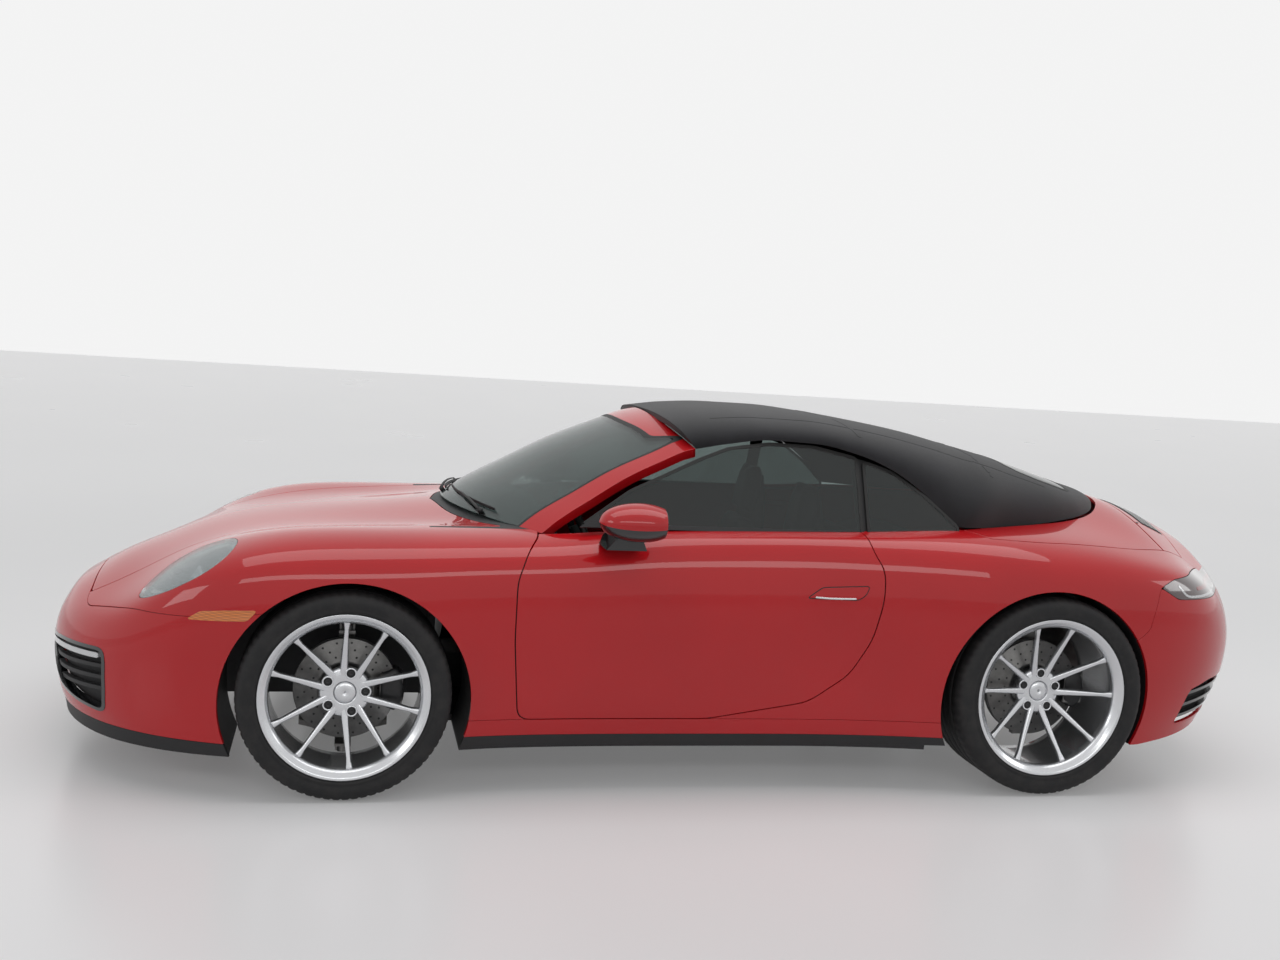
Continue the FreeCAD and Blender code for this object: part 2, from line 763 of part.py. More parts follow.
solid_node("front_bumper", whole(bumper_half))
solid_node("front_lip", whole(lip_half))
both_sides("fender", fender_half)
solid_node("sills", pair(sill_half))
solid_node("headlamps", pair(lamp_half))
solid_node("tail_lamp", whole(tail_lamp_half))
both_sides("rear_quarter", quarter_half)
liners = []
for opening, around in ((front_arch, front_liner), (rear_arch, rear_liner)):
    liner = inner_half.common(above_floor).common(around).cut(opening)
    for piece in liner.Solids:
        liners += [piece, mirrored(piece)]
solid_node("wheel_liners", Part.makeCompound(liners))
solid_node("spoiler", whole(spoiler_half))

# Greenhouse

# Points across and along each sheet, and the small step that finds a sheet's slope
SCREEN_GRID = (25, 13)
FABRIC_GRID = (29, 27)
SIDE_GLASS_GRID = (9, 9)
SLOPE_STEP = 1e-3


def sheet_solid(place, grid_size, thickness):
    """Sheet of one thickness under a surface that place(a, b) gives, with a and b running from 0 to 1."""
    columns, rows = grid_size
    step = SLOPE_STEP
    outer = []
    inner = []
    for i in range(columns):
        outer.append([])
        inner.append([])
        for j in range(rows):
            a = i / (columns - 1)
            b = j / (rows - 1)
            here = place(a, b)
            run = place(min(a + step, 1), b) - place(max(a - step, 0), b)
            rise = place(a, min(b + step, 1)) - place(a, max(b - step, 0))
            normal = rise.cross(run).normalize()
            outer[-1].append(here)
            inner[-1].append(here - normal * float(thickness))
    faces = []
    edges = []
    for grid in (outer, inner):
        surface = Part.BSplineSurface()
        surface.interpolate(grid)
        faces.append(surface.toShape())
        u_low, u_high, v_low, v_high = surface.bounds()
        edges.append([surface.uIso(u_low), surface.uIso(u_high), surface.vIso(v_low), surface.vIso(v_high)])
    for above, under in zip(*edges):
        faces.append(Part.makeRuledSurface(above.toShape(), under.toShape()))
    return closed_solid(faces)


screen_profile_shares = [
    (0, 0.6885), (0.095, 0.7263), (0.302, 0.7926), (0.548, 0.8682), (0.797, 0.9298), (0.923, 0.9591), (1, 0.9722),
]
screen_run_shares = (0.2964, 0.4610)
screen_width_shares = (0.757, 0.640)
screen_sweep_shares = (0.0648, 0.0197)
screen_drop_shares = (0.0265, 0.078)


def blend(pair_of_values, share):
    return pair_of_values[0] + (pair_of_values[1] - pair_of_values[0]) * share


def screen_place(a, b):
    """Point of the windscreen: a runs across the car, b from the base to the header."""
    side = 2 * a - 1
    x = along(blend(screen_run_shares, b) + blend(screen_sweep_shares, b) * side**2)
    z = level(curve(screen_profile_shares, b) - blend(screen_drop_shares, b) * side**2)
    return point(x, blend(screen_width_shares, b) * half_width * side, z)


screen_opening_shares = [
    (-0.700, 0.55), (-0.580, 0.882), (-0.45, 0.912), (-0.27, 0.933), (0, 0.9435),
    (0.27, 0.933), (0.45, 0.912), (0.580, 0.882), (0.700, 0.55),
]


def front_prism(table, shrink):
    """Solid seen from the front as an outline of shares of half width and height."""
    outline = grown([(half_width * y, level(z)) for y, z in table], -shrink)
    corners = [point(along(screen_run_shares[0]) - float(D.prism_reach), y, z) for y, z in outline]
    face = Part.Face(Part.makePolygon(corners + corners[:1]))
    return face.extrude(point(along(HALF) - corners[0].x, 0, 0))


outer_whole = [outer_half, mirrored(outer_half)]


def clear_of_body(shape, extra=()):
    for body in outer_whole:
        shape = shape.cut(body)
    for other in extra:
        shape = shape.cut(other)
    return sorted(shape.Solids, key=lambda solid: -solid.Volume)[0]


frame_sheet = sheet_solid(screen_place, SCREEN_GRID, D.screen_frame_depth)
screen_frame = frame_sheet.cut(front_prism(screen_opening_shares, 0))
screen_frame = clear_of_body(screen_frame)
solid_node("windscreen_frame", screen_frame)
windscreen = sheet_solid(screen_place, SCREEN_GRID, D.glass_thickness)
windscreen = windscreen.common(front_prism(screen_opening_shares, joint))

# Fabric top: lower edge and centre line, as shares of length, half width and height
fabric_edge_shares = [
    (0, 0.4815, 0.640, 0.893), (0.08, 0.5051, 0.654, 0.911), (0.18, 0.5405, 0.663, 0.9275),
    (0.28, 0.577, 0.672, 0.9244), (0.38, 0.6144, 0.691, 0.898), (0.46, 0.6403, 0.707, 0.863),
    (0.54, 0.6671, 0.729, 0.802), (0.62, 0.694, 0.769, 0.718), (0.70, 0.7465, 0.668, 0.713),
    (0.78, 0.804, 0.552, 0.725), (0.86, 0.8452, 0.42, 0.737), (0.94, 0.872, 0.26, 0.748), (1, 0.884, 0.13, 0.755),
]
fabric_ridge_shares = [
    (0, 0.4629, 0.9765), (0.08, 0.4956, 0.9923), (0.18, 0.5332, 0.9995), (0.28, 0.573, 0.9992),
    (0.38, 0.6151, 0.9877), (0.46, 0.6527, 0.9715), (0.54, 0.6925, 0.95), (0.62, 0.7324, 0.9198),
    (0.70, 0.77, 0.891), (0.78, 0.8076, 0.8558), (0.86, 0.8408, 0.8219), (0.94, 0.8718, 0.7934),
    (1, 0.8873, 0.760),
]
fabric_round_power = 2.5


def fabric_place(a, b):
    """Point of the fabric top: a runs across the car, b from the header to the rear."""
    side = math.sin((a - HALF) * math.pi)
    rise = (1 - abs(side) ** fabric_round_power) ** (1 / fabric_round_power)
    edge = [curve([(row[0], row[k]) for row in fabric_edge_shares], b) for k in (1, 2, 3)]
    ridge = [curve([(row[0], row[k]) for row in fabric_ridge_shares], b) for k in (1, 2)]
    x = edge[0] + (ridge[0] - edge[0]) * rise
    z = edge[2] + (ridge[1] - edge[2]) * rise
    return point(along(x), edge[1] * half_width * side, level(z))


rear_window_shares = [
    (0.775, -0.34), (0.775, 0.34), (0.782, 0.39), (0.80, 0.405), (0.83, 0.37), (0.838, 0.33),
    (0.838, -0.33), (0.83, -0.37), (0.80, -0.405), (0.782, -0.39),
]


rear_window_floor_share = 0.72


def rear_window_prism(shrink):
    return plan_prism(grown(shares_to_plan(rear_window_shares), -shrink), level(rear_window_floor_share), ABOVE)


fabric_sheet = sheet_solid(fabric_place, FABRIC_GRID, D.roof_thickness)
fabric = clear_of_body(fabric_sheet.cut(rear_window_prism(0)), [screen_frame])
solid_node("soft_top", fabric)
rear_window = sheet_solid(fabric_place, FABRIC_GRID, D.glass_thickness).common(rear_window_prism(joint))
solid_node("rear_window", rear_window.Solids[0])

glass_belt_share = 0.690
glass_top_share = 0.9244
glass_belt_width_share = 0.7937
glass_lean_shares = (0.140, 0.008)
side_glass_height_shares = (0.64, 0.95)
side_glass_run_shares = (0.34, 0.72)


def side_glass_place(a, b):
    """Point of the side glass on the driver's side: a runs along the car, b up."""
    z = blend(side_glass_height_shares, b)
    up = (z - glass_belt_share) / (glass_top_share - glass_belt_share)
    lean = glass_lean_shares[0] * up + glass_lean_shares[1] * up * abs(up)
    return point(along(blend(side_glass_run_shares, a)), across(glass_belt_width_share - lean), level(z))


door_glass_shares = [
    (0.3735, 0.65), (0.427, 0.777), (0.4835, 0.867), (0.5066, 0.898), (0.5405, 0.915),
    (0.577, 0.912), (0.611, 0.888), (0.611, 0.65),
]
quarter_glass_shares = [
    (0.6175, 0.65), (0.6175, 0.879), (0.6403, 0.855), (0.6671, 0.793), (0.692, 0.718), (0.692, 0.65),
]
side_sheet = sheet_solid(side_glass_place, SIDE_GLASS_GRID, -D.glass_thickness)
door_glass = clear_of_body(side_sheet.common(side_cut(door_glass_shares)))
both_sides("door_glass", door_glass)
quarter_glass = side_sheet.common(side_cut(quarter_glass_shares))
solid_node("quarter_glass", Part.makeCompound(
    [clear_of_body(piece, [fabric]) for piece in (quarter_glass, mirrored(quarter_glass))]))

# Doors, hung on two pins each in the post behind the front wheel

DOOR_FRONT = along(door_side_shares[5][0])
HINGE_X = DOOR_FRONT + float(D.door_hinge_setback)
HINGE_Y = across(door_skin_share) + float(D.door_hinge_inset)
INNER_SIDE = -float(D.door_inner_plane)


def upright_box(x0, x1, y0, y1, z0, z1):
    return Part.makeBox(x1 - x0, y1 - y0, z1 - z0, point(x0, y0, z0))


door_slab = side_prism(door_outline, SIDE_NEAR, INNER_SIDE)
rear_edge = along(door_side_shares[11][0])
bevel = float(D.door_bevel)
bevel_cut = plan_prism([(rear_edge + bevel, across(door_rear_share)), (rear_edge + bevel, INNER_SIDE + bevel),
                        (rear_edge - bevel, INNER_SIDE + bevel)], 0, ABOVE)
door_half = outer_half.common(door_slab).cut(bevel_cut)
pin = float(D.hinge_pin_radius)
play = float(D.hinge_pin_play)
strap = float(D.hinge_strap)
reach = float(D.hinge_reach)
tall = float(D.hinge_height)
strap_parts = []
for middle_height in (float(D.door_hinge_low), float(D.door_hinge_high)):
    low = middle_height - tall * HALF
    pocket = upright_box(DOOR_FRONT - bevel, HINGE_X + pin * 2, HINGE_Y - pin - play, INNER_SIDE + bevel,
                         low - play, low + tall + play)
    bore = Part.makeCylinder(pin + play, tall + 2 * reach + 2 * play, point(HINGE_X, HINGE_Y, low - reach - play))
    door_half = door_half.cut(pocket).cut(bore)
    strap_low = low + strap * HALF
    strap_high = low + tall - strap * HALF
    strap_parts.append(Part.makeCylinder(pin, tall + 2 * reach, point(HINGE_X, HINGE_Y, low - reach)))
    strap_parts.append(upright_box(HINGE_X - strap * HALF, HINGE_X + strap * HALF, HINGE_Y,
                                   INNER_SIDE + strap * 2, strap_low, strap_high))
    strap_parts.append(upright_box(along(front_post_share), HINGE_X + strap * HALF, INNER_SIDE + strap,
                                   INNER_SIDE + strap * 2, strap_low, strap_high))
both_sides("door", door_half)

# Front lid, hung at its rear corners on arms that swing up through slots in the cowl

LID_PIVOT_X = along(lid_rear_shares[0][0]) + float(D.lid_pivot_reach)
LID_PIVOT_Z = level(curve(crest_height_share, lid_rear_shares[0][0])) - float(D.lid_pivot_depth)
lid_arm_y = across(lid_arm_share)
arm_thick = float(D.lid_arm_thickness)
pin_small = float(D.lid_pin_radius)
arm_tall = pin_small * 2
arm_half = arm_thick * HALF
pin_reach = arm_thick + arm_half
slot_front = LID_PIVOT_X - float(D.lid_arm_length)
arm = side_prism([(slot_front, LID_PIVOT_Z - arm_tall), (LID_PIVOT_X, LID_PIVOT_Z - arm_tall),
                  (LID_PIVOT_X, LID_PIVOT_Z + arm_tall * HALF), (slot_front, LID_PIVOT_Z + arm_tall * HALF)],
                 lid_arm_y - arm_half, lid_arm_y + arm_half)
eye = Part.makeCylinder(arm_tall, arm_thick, point(LID_PIVOT_X, lid_arm_y - arm_half, LID_PIVOT_Z),
                        point(0, 1, 0))
arm_bore = Part.makeCylinder(pin_small + play, pin_reach * 2, point(LID_PIVOT_X, lid_arm_y - pin_reach,
                                                                    LID_PIVOT_Z), point(0, 1, 0))
arm = arm.fuse(eye).cut(arm_bore)
slot_gap = float(D.lid_arm_gap)
slot = upright_box(slot_front - slot_gap, LID_PIVOT_X + arm_tall + slot_gap, lid_arm_y - arm_half - slot_gap,
                   lid_arm_y + arm_half + slot_gap, LID_PIVOT_Z - arm_tall * 3, float(ABOVE))
solid_node("windscreen", clear_of_body(windscreen, [slot, mirrored(slot)]))
lugs = []
for edge, way in ((lid_arm_y - arm_half - slot_gap, -1), (lid_arm_y + arm_half + slot_gap, 1)):
    far = edge + way * arm_thick
    lug = upright_box(LID_PIVOT_X - arm_tall, LID_PIVOT_X + arm_tall, min(edge, far), max(edge, far),
                      LID_PIVOT_Z - arm_tall, LID_PIVOT_Z + arm_tall * 3)
    lugs.append(lug.common(outer_half))
lid_pin = Part.makeCylinder(pin_small, (pin_reach + slot_gap) * 2,
                            point(LID_PIVOT_X, lid_arm_y - pin_reach - slot_gap, LID_PIVOT_Z), point(0, 1, 0))
cowl_half = cowl_half.cut(slot)
for lug in lugs + [lid_pin]:
    cowl_half = cowl_half.fuse(lug)
lid_half = lid_half.fuse(arm.common(outer_half))
solid_node("cowl", whole(cowl_half))
solid_node("front_lid", whole(lid_half))

# Engine lid, hung on two goosenecks that reach around the edge of the panel ahead of it

DECK_PIVOT_X = along(deck_pivot_shares[0])
DECK_PIVOT_Z = level(deck_pivot_shares[2])
deck_arm_y = across(deck_pivot_shares[1])


def deck_drum(radius, half_width):
    """Round bar on the engine lid's hinge axis, centred on the hinge arm."""
    return Part.makeCylinder(radius, half_width * 2, point(DECK_PIVOT_X, deck_arm_y - half_width, DECK_PIVOT_Z),
                             point(0, 1, 0))


neck_near = float(D.neck_radius)
neck_far = neck_near + float(D.neck_depth)
leg_angle = math.radians(float(D.neck_leg_angle))
leg_side = side_prism([(DECK_PIVOT_X, DECK_PIVOT_Z), (DECK_PIVOT_X + neck_far * 2, DECK_PIVOT_Z),
                       (DECK_PIVOT_X + neck_far * 2 * math.cos(leg_angle),
                        DECK_PIVOT_Z - neck_far * 2 * math.sin(leg_angle))],
                      deck_arm_y - arm_half, deck_arm_y + arm_half)
neck = deck_drum(neck_far, arm_half).cut(deck_drum(neck_near, arm_thick)).common(leg_side)
leg = upright_box(DECK_PIVOT_X, DECK_PIVOT_X + neck_far, deck_arm_y - arm_half, deck_arm_y + arm_half,
                  DECK_PIVOT_Z - arm_tall, DECK_PIVOT_Z + arm_tall)
leg.rotate(point(DECK_PIVOT_X, deck_arm_y, DECK_PIVOT_Z), point(0, 1, 0), float(D.neck_leg_angle))
post = upright_box(DECK_PIVOT_X + neck_near + pin_small, DECK_PIVOT_X + neck_far, deck_arm_y - arm_half,
                   deck_arm_y + arm_half, DECK_PIVOT_Z - arm_tall * 2, float(ABOVE)).common(inner_half)
deck_arm = deck_drum(arm_tall, arm_half).fuse(leg).fuse(neck).fuse(post).cut(deck_drum(pin_small + play, arm_thick))
engine_lid_half = engine_lid_half.fuse(deck_arm)
solid_node("engine_lid", whole(engine_lid_half))
member_rear = DECK_PIVOT_X - float(D.member_setback)
member_front = member_rear - float(D.member_height)
member_top = DECK_PIVOT_Z - float(D.member_drop)
member_low = member_top - float(D.member_height)
rail_far = -float(D.rear_rail_far)
rail_near = -float(D.rear_rail_near)
rail_top = float(D.rear_rail_top)
rail_low = rail_top - float(D.rail_height)
frame_half = upright_box(member_front, member_rear, rail_far, PAST_MIDDLE, member_low, member_top)
frame_half = frame_half.fuse(upright_box(member_front, member_rear, rail_far, rail_near, rail_top, member_low))
rail = upright_box(float(REAR_AXLE - D.cabin_end + D.bulkhead_thickness), float(TAIL), rail_far, rail_near,
                   rail_low, rail_top).common(inner_half)
frame_half = frame_half.fuse(rail)
for edge, way in ((deck_arm_y - arm_half - slot_gap, -1), (deck_arm_y + arm_half + slot_gap, 1)):
    far = edge + way * arm_thick
    frame_half = frame_half.fuse(upright_box(member_front, DECK_PIVOT_X + arm_tall, min(edge, far), max(edge, far),
                                             member_low, DECK_PIVOT_Z + arm_tall))
frame_half = frame_half.fuse(deck_drum(pin_small, pin_reach + slot_gap))
solid_node("rear_frame", whole(frame_half))
solid_node("tonneau_panel", whole(tonneau_half))

# Exhaust and rear bumper

pipe_height_share = 0.235
pipe_width_share = 0.30
pipe_run_shares = (0.955, 1.02)
PIPE_Y = across(pipe_width_share)
PIPE_Z = level(pipe_height_share)
MUFFLER_X = REAR_AXLE + D.engine_end + D.muffler_radius


def along_x(radius, x0, x1, y, z):
    return Part.makeCylinder(radius, x1 - x0, point(x0, y, z), point(1, 0, 0))


tail_cut = along_x(float(D.tailpipe_radius) + float(D.lid_gap), along(pipe_run_shares[0]),
                   along(pipe_run_shares[1]), PIPE_Y, PIPE_Z)
solid_node("rear_bumper", whole(rear_bumper_half.cut(tail_cut)))
muffler = doc.addObject("Part::Cylinder", "Muffler")
bind(muffler, "Radius", D.muffler_radius)
bind(muffler, "Height", D.muffler_length)
muffler.Placement = FreeCAD.Placement(
    point(MUFFLER_X, -float(D.muffler_length) * HALF, PIPE_Z),
    FreeCAD.Rotation(FreeCAD.Vector(0, 0, 1), FreeCAD.Vector(0, 1, 0)))
pipes = []
for side in (-1, 1):
    pipe = rod(f"Tailpipe{'L' if side < 0 else 'R'}", point(MUFFLER_X, side * -PIPE_Y, PIPE_Z),
               (1, 0, 0), D.tailpipe_radius, D.tailpipe_length)
    pipes.append(pipe)
node("exhaust", join("Exhaust", [muffler] + pipes))

# Floor, posts and bulkheads

FLOOR_LOW = D.floor_height
FLOOR_TOP = FLOOR_LOW + D.floor_thickness
BULKHEAD_X = FRONT_AXLE + D.cabin_start
CABIN_END = REAR_AXLE - D.cabin_end
FLOOR_HALF = D.floor_half_width


def span(label, x0, x1, y, z0, z1):
    """A box centred on the car's middle, reaching y to each side."""
    return block(label, (x0, -y, z0), (x1, y, z1))


arches = []
for arch_name, x, z, radius in (("Front", FRONT_ARCH_X, FRONT_ARCH_Z, D.front_arch_radius),
                                ("Rear", REAR_ARCH_X, REAR_ARCH_Z, D.rear_arch_radius)):
    arches.append(rod(f"{arch_name}ArchLeft", (x, OUTSIDE, z), (0, 1, 0), radius + D.liner_thickness,
                      -ARCH_INNER - OUTSIDE))
    arches.append(rod(f"{arch_name}ArchRight", (x, ARCH_INNER, z), (0, 1, 0), radius + D.liner_thickness,
                      -ARCH_INNER - OUTSIDE))
arches = group("Arches", arches)
floor = span("Floor", BULKHEAD_X, CABIN_END, FLOOR_HALF, FLOOR_LOW, FLOOR_TOP)
tunnel = span("Tunnel", BULKHEAD_X, CABIN_END, D.tunnel_half_width, FLOOR_TOP, D.tunnel_top)
node("floor_pan", subtract("FloorPan", join("FloorAndTunnel", [floor, tunnel]), arches))
firewall = span("FirewallPlate", BULKHEAD_X - D.bulkhead_thickness, BULKHEAD_X, FLOOR_HALF, FLOOR_LOW,
                D.bulkhead_top)
node("firewall", subtract("Firewall", firewall, arches))
bulkhead = span("RearBulkheadPlate", CABIN_END, CABIN_END + D.bulkhead_thickness, FLOOR_HALF, FLOOR_LOW,
                D.bulkhead_top)
node("rear_bulkhead", subtract("RearBulkhead", bulkhead, arches))
FB = float(BULKHEAD_X)
FLOOR_EDGE = -float(FLOOR_HALF)
CE = float(CABIN_END)
SILL_TOP = level(sill_top_share)
WAIST = level(waist_share)
front_post = inner_half.common(upright_box(FB, along(front_post_share), SIDE_NEAR, FLOOR_EDGE, SILL_TOP, WAIST))
front_post = front_post.cut(door_opening).cut(front_liner)
for part_shape in strap_parts:
    front_post = front_post.fuse(part_shape)
rear_post = inner_half.common(upright_box(along(rear_post_share), CE, SIDE_NEAR, FLOOR_EDGE, SILL_TOP, WAIST))
rear_post = rear_post.cut(rear_liner).cut(door_opening)
sill_box = inner_half.common(upright_box(FB, CE, SIDE_NEAR, FLOOR_EDGE, float(FLOOR_LOW), SILL_TOP))
sill_box = sill_box.cut(front_liner).cut(rear_liner)
posts = [front_post.removeSplitter(), rear_post]
solid_node("door_posts", Part.makeCompound(posts + [mirrored(piece) for piece in posts]))
solid_node("inner_sills", pair(sill_box))

# Front luggage tub on two rails, with a cross beam behind the bumper

TUB_FRONT = FRONT_AXLE - D.tub_reach
TUB_REAR = BULKHEAD_X - D.bulkhead_thickness
tub_outer = span("TubOuter", TUB_FRONT, TUB_REAR, D.tub_half_width, D.tub_floor, D.tub_top)
tub_inner = span("TubInner", TUB_FRONT + D.tub_wall, TUB_REAR - D.tub_wall, D.tub_half_width - D.tub_wall,
                 D.tub_floor + D.tub_wall, D.tub_top + D.overrun)
node("front_tub", subtract("FrontTub", tub_outer, tub_inner))
rails = []
for side in (-1, 1):
    middle = D.rail_centre * side
    rails.append(block(f"Rail{'L' if side < 0 else 'R'}",
                       (TUB_FRONT - D.beam_reach, middle - D.rail_width * HALF, D.tub_floor - D.rail_height),
                       (TUB_REAR, middle + D.rail_width * HALF, D.tub_floor)))
beam = span("Beam", TUB_FRONT - D.beam_reach - D.beam_depth, TUB_FRONT - D.beam_reach,
            D.rail_centre + D.rail_width, D.tub_floor - D.rail_height, D.tub_floor + D.rail_height)
front_frame = [beam] + rails

# Engine and gearbox

engine_block = span("EngineBlock", REAR_AXLE + D.engine_start, REAR_AXLE + D.engine_end, D.engine_half_width,
                    D.engine_low, D.engine_top)
gearbox = span("Gearbox", CABIN_END + D.bulkhead_thickness, REAR_AXLE + D.engine_start,
               D.gearbox_half_width, D.engine_low, D.gearbox_top)
node("engine", join("Engine", [engine_block, gearbox]))

# Seats, drawn from the side


def plane_of(body, role):
    return next(feature for feature in body.Origin.OriginFeatures if feature.Role == role)


def sketch_on(body, name, role, corners):
    """Closed outline of straight sides, with every corner tied to its sizes."""
    sketch = body.newObject("Sketcher::SketchObject", name)
    sketch.AttachmentSupport = [(plane_of(body, role), "")]
    sketch.MapMode = "FlatFace"
    places = [FreeCAD.Vector(float(x), float(y), 0) for x, y in corners]
    count = len(places)
    for i, start in enumerate(places):
        sketch.addGeometry(Part.LineSegment(start, places[(i + 1) % count]), False)
    for i in range(count):
        sketch.addConstraint(Sketcher.Constraint("Coincident", i, 2, (i + 1) % count, 1))
    for i, corner in enumerate(corners):
        for kind, size in zip(("DistanceX", "DistanceY"), corner):
            if isinstance(size, Size):
                index = sketch.addConstraint(Sketcher.Constraint(kind, -1, 1, i, 1, float(size)))
                sketch.setExpression(f"Constraints[{index}]", size.text)
    return sketch


def body_at(name, x, y, z):
    body = doc.addObject("PartDesign::Body", name)
    for axis, place in zip("xyz", (x, y, z)):
        bind(body, f"Placement.Base.{axis}", place)
    return body


seat_profile_shares = [
    (-0.20, 0.0), (-0.21, 0.145), (-0.15, 0.185), (0.18, 0.15), (0.255, 0.18), (0.335, 0.56), (0.37, 0.81),
    (0.385, 0.875), (0.425, 0.885), (0.46, 0.845), (0.44, 0.50), (0.36, 0.12), (0.33, 0.0),
]
bench_profile_shares = [
    (0.475, 0.0), (0.475, 0.225), (0.63, 0.20), (0.67, 0.54), (0.70, 0.55), (0.70, 0.0),
]


def profile_seat(label, table, middle, width):
    body = body_at(f"{label}Body", 0, middle, FLOOR_TOP)
    sketch = sketch_on(body, f"{label}Profile", "XZ_Plane",
                       [(D.seat_scale * x, D.seat_scale * z) for x, z in table])
    pad = body.newObject("PartDesign::Pad", f"{label}Pad")
    pad.Profile = sketch
    bind(pad, "Length", width)
    pad.Midplane = True
    return body


node("seat_left", profile_seat("SeatLeft", seat_profile_shares, -D.seat_centre, D.seat_width))
node("seat_right", profile_seat("SeatRight", seat_profile_shares, D.seat_centre, D.seat_width))
node("rear_seats", group("RearSeats", [
    profile_seat("BenchLeft", bench_profile_shares, -D.seat_centre, D.seat_width),
    profile_seat("BenchRight", bench_profile_shares, D.seat_centre, D.seat_width)]))
dash_profile_shares = [
    (0.0, 0.42), (0.0, 0.625), (0.26, 0.650), (0.42, 0.61), (0.43, 0.50), (0.33, 0.42), (0.20, 0.30),
]
dash = body_at("DashBody", BULKHEAD_X, 0, FLOOR_TOP)
dash_sketch = sketch_on(dash, "DashProfile", "XZ_Plane", [(D.seat_scale * x, D.seat_scale * z)
                                                          for x, z in dash_profile_shares])
dash_pad = dash.newObject("PartDesign::Pad", "DashPad")
dash_pad.Profile = dash_sketch
bind(dash_pad, "Length", D.dash_width)
dash_pad.Midplane = True
node("dashboard", dash)
node("centre_console", span("Console", BULKHEAD_X + D.console_start, D.console_end, D.console_half_width,
                            D.tunnel_top, D.console_top))

# Steering wheel on its column

wheel_x = BULKHEAD_X + D.steering_reach
wheel_z = D.steering_height
lean = math.radians(float(D.steering_lean))
axis_away = point(-math.cos(lean), 0, -math.sin(lean))
steering_place = FreeCAD.Placement(point(wheel_x, -float(D.seat_centre), wheel_z),
                                   FreeCAD.Rotation(FreeCAD.Vector(0, 0, 1), axis_away))
ring = doc.addObject("Part::Torus", "SteeringRing")
bind(ring, "Radius1", D.wheel_rim_radius)
bind(ring, "Radius2", D.wheel_rim_tube)
spokes = []
for number, turn in enumerate((QUARTER_TURN, QUARTER_TURN * 3, FULL_TURN)):
    spoke = doc.addObject("Part::Box", f"SteeringSpoke{number}")
    bind(spoke, "Length", D.wheel_rim_radius)
    bind(spoke, "Width", D.steering_spoke)
    bind(spoke, "Height", D.wheel_rim_tube)
    half = float(D.steering_spoke) * HALF
    turned = FreeCAD.Rotation(FreeCAD.Vector(0, 0, 1), turn)
    spoke.Placement = FreeCAD.Placement(turned.multVec(FreeCAD.Vector(0, -half, 0)), turned)
    spokes.append(spoke)
boss = doc.addObject("Part::Cylinder", "SteeringBoss")
bind(boss, "Radius", D.steering_boss)
bind(boss, "Height", D.steering_boss * HALF)
steering = join("SteeringWheel", [ring, boss] + spokes)
steering.Placement = steering_place
node("steering_wheel", steering)
column_start = point(wheel_x, -float(D.seat_centre), wheel_z) + axis_away * (
    float(D.steering_boss) * HALF + float(D.running_play))
column = doc.addObject("Part::Cylinder", "Column")
bind(column, "Radius", D.steering_boss * HALF)
bind(column, "Height", D.column_length)
column.Placement = FreeCAD.Placement(column_start, steering_place.Rotation)
node("steering_column", subtract("SteeringColumn", column, dash))

# Mirrors

mirror_centre_shares = (0.4225, 1.022, 0.7225)
mirror_pivot_shares = (0.413, 0.985, 0.678)
mirror_glass_share = 0.32
mirror_foot_base_share = 0.652
mirror_foot_width_share = 0.82


def ellipsoid(centre, sizes):
    ball = Part.makeSphere(1)
    matrix = FreeCAD.Matrix()
    matrix.scale(*sizes)
    ball = ball.transformGeometry(matrix)
    ball.translate(centre)
    return ball




def place_of(shares):
    """Point on the driver's side from shares of length, half width and height."""
    x, y, z = shares
    return point(along(x), across(y), level(z))


mirror_centre = place_of(mirror_centre_shares)
mirror_pivot = place_of(mirror_pivot_shares)
stalk_radius = float(D.mirror_stalk)
stalk_top = mirror_centre.z - stalk_radius * HALF
cap = ellipsoid(mirror_centre, (float(D.mirror_depth) * HALF, float(D.mirror_width) * HALF,
                                float(D.mirror_height) * HALF))
glass_x = mirror_centre.x + float(D.mirror_depth) * mirror_glass_share
cap = cap.cut(upright_box(glass_x, glass_x + float(D.mirror_depth), SIDE_NEAR * 2, 0, 0, float(ABOVE)))
cap = cap.cut(upright_box(SIDE_NEAR, glass_x, SIDE_NEAR * 2, 0, 0, mirror_pivot.z + float(D.running_play)))
cap = cap.cut(Part.makeCylinder(stalk_radius + play, stalk_top - mirror_pivot.z + play,
                                mirror_pivot))
foot_base = level(mirror_foot_base_share)
foot_front = mirror_centre.x - float(D.mirror_foot_lead)
foot_rear = mirror_centre.x + float(D.mirror_foot_trail)
foot_slant = float(D.mirror_foot_slant)
foot = side_prism([(foot_front - foot_slant, foot_base), (foot_front, mirror_pivot.z),
                   (foot_rear, mirror_pivot.z), (foot_rear + foot_slant * HALF, foot_base)],
                  mirror_pivot.y - stalk_radius * 2, across(mirror_foot_width_share))
foot = clear_of_body(foot, [door_glass]).fuse(
    Part.makeCylinder(stalk_radius, stalk_top - mirror_pivot.z, mirror_pivot))
both_sides("mirror", cap)
both_sides("mirror_foot", foot)

# Wheels and tyres


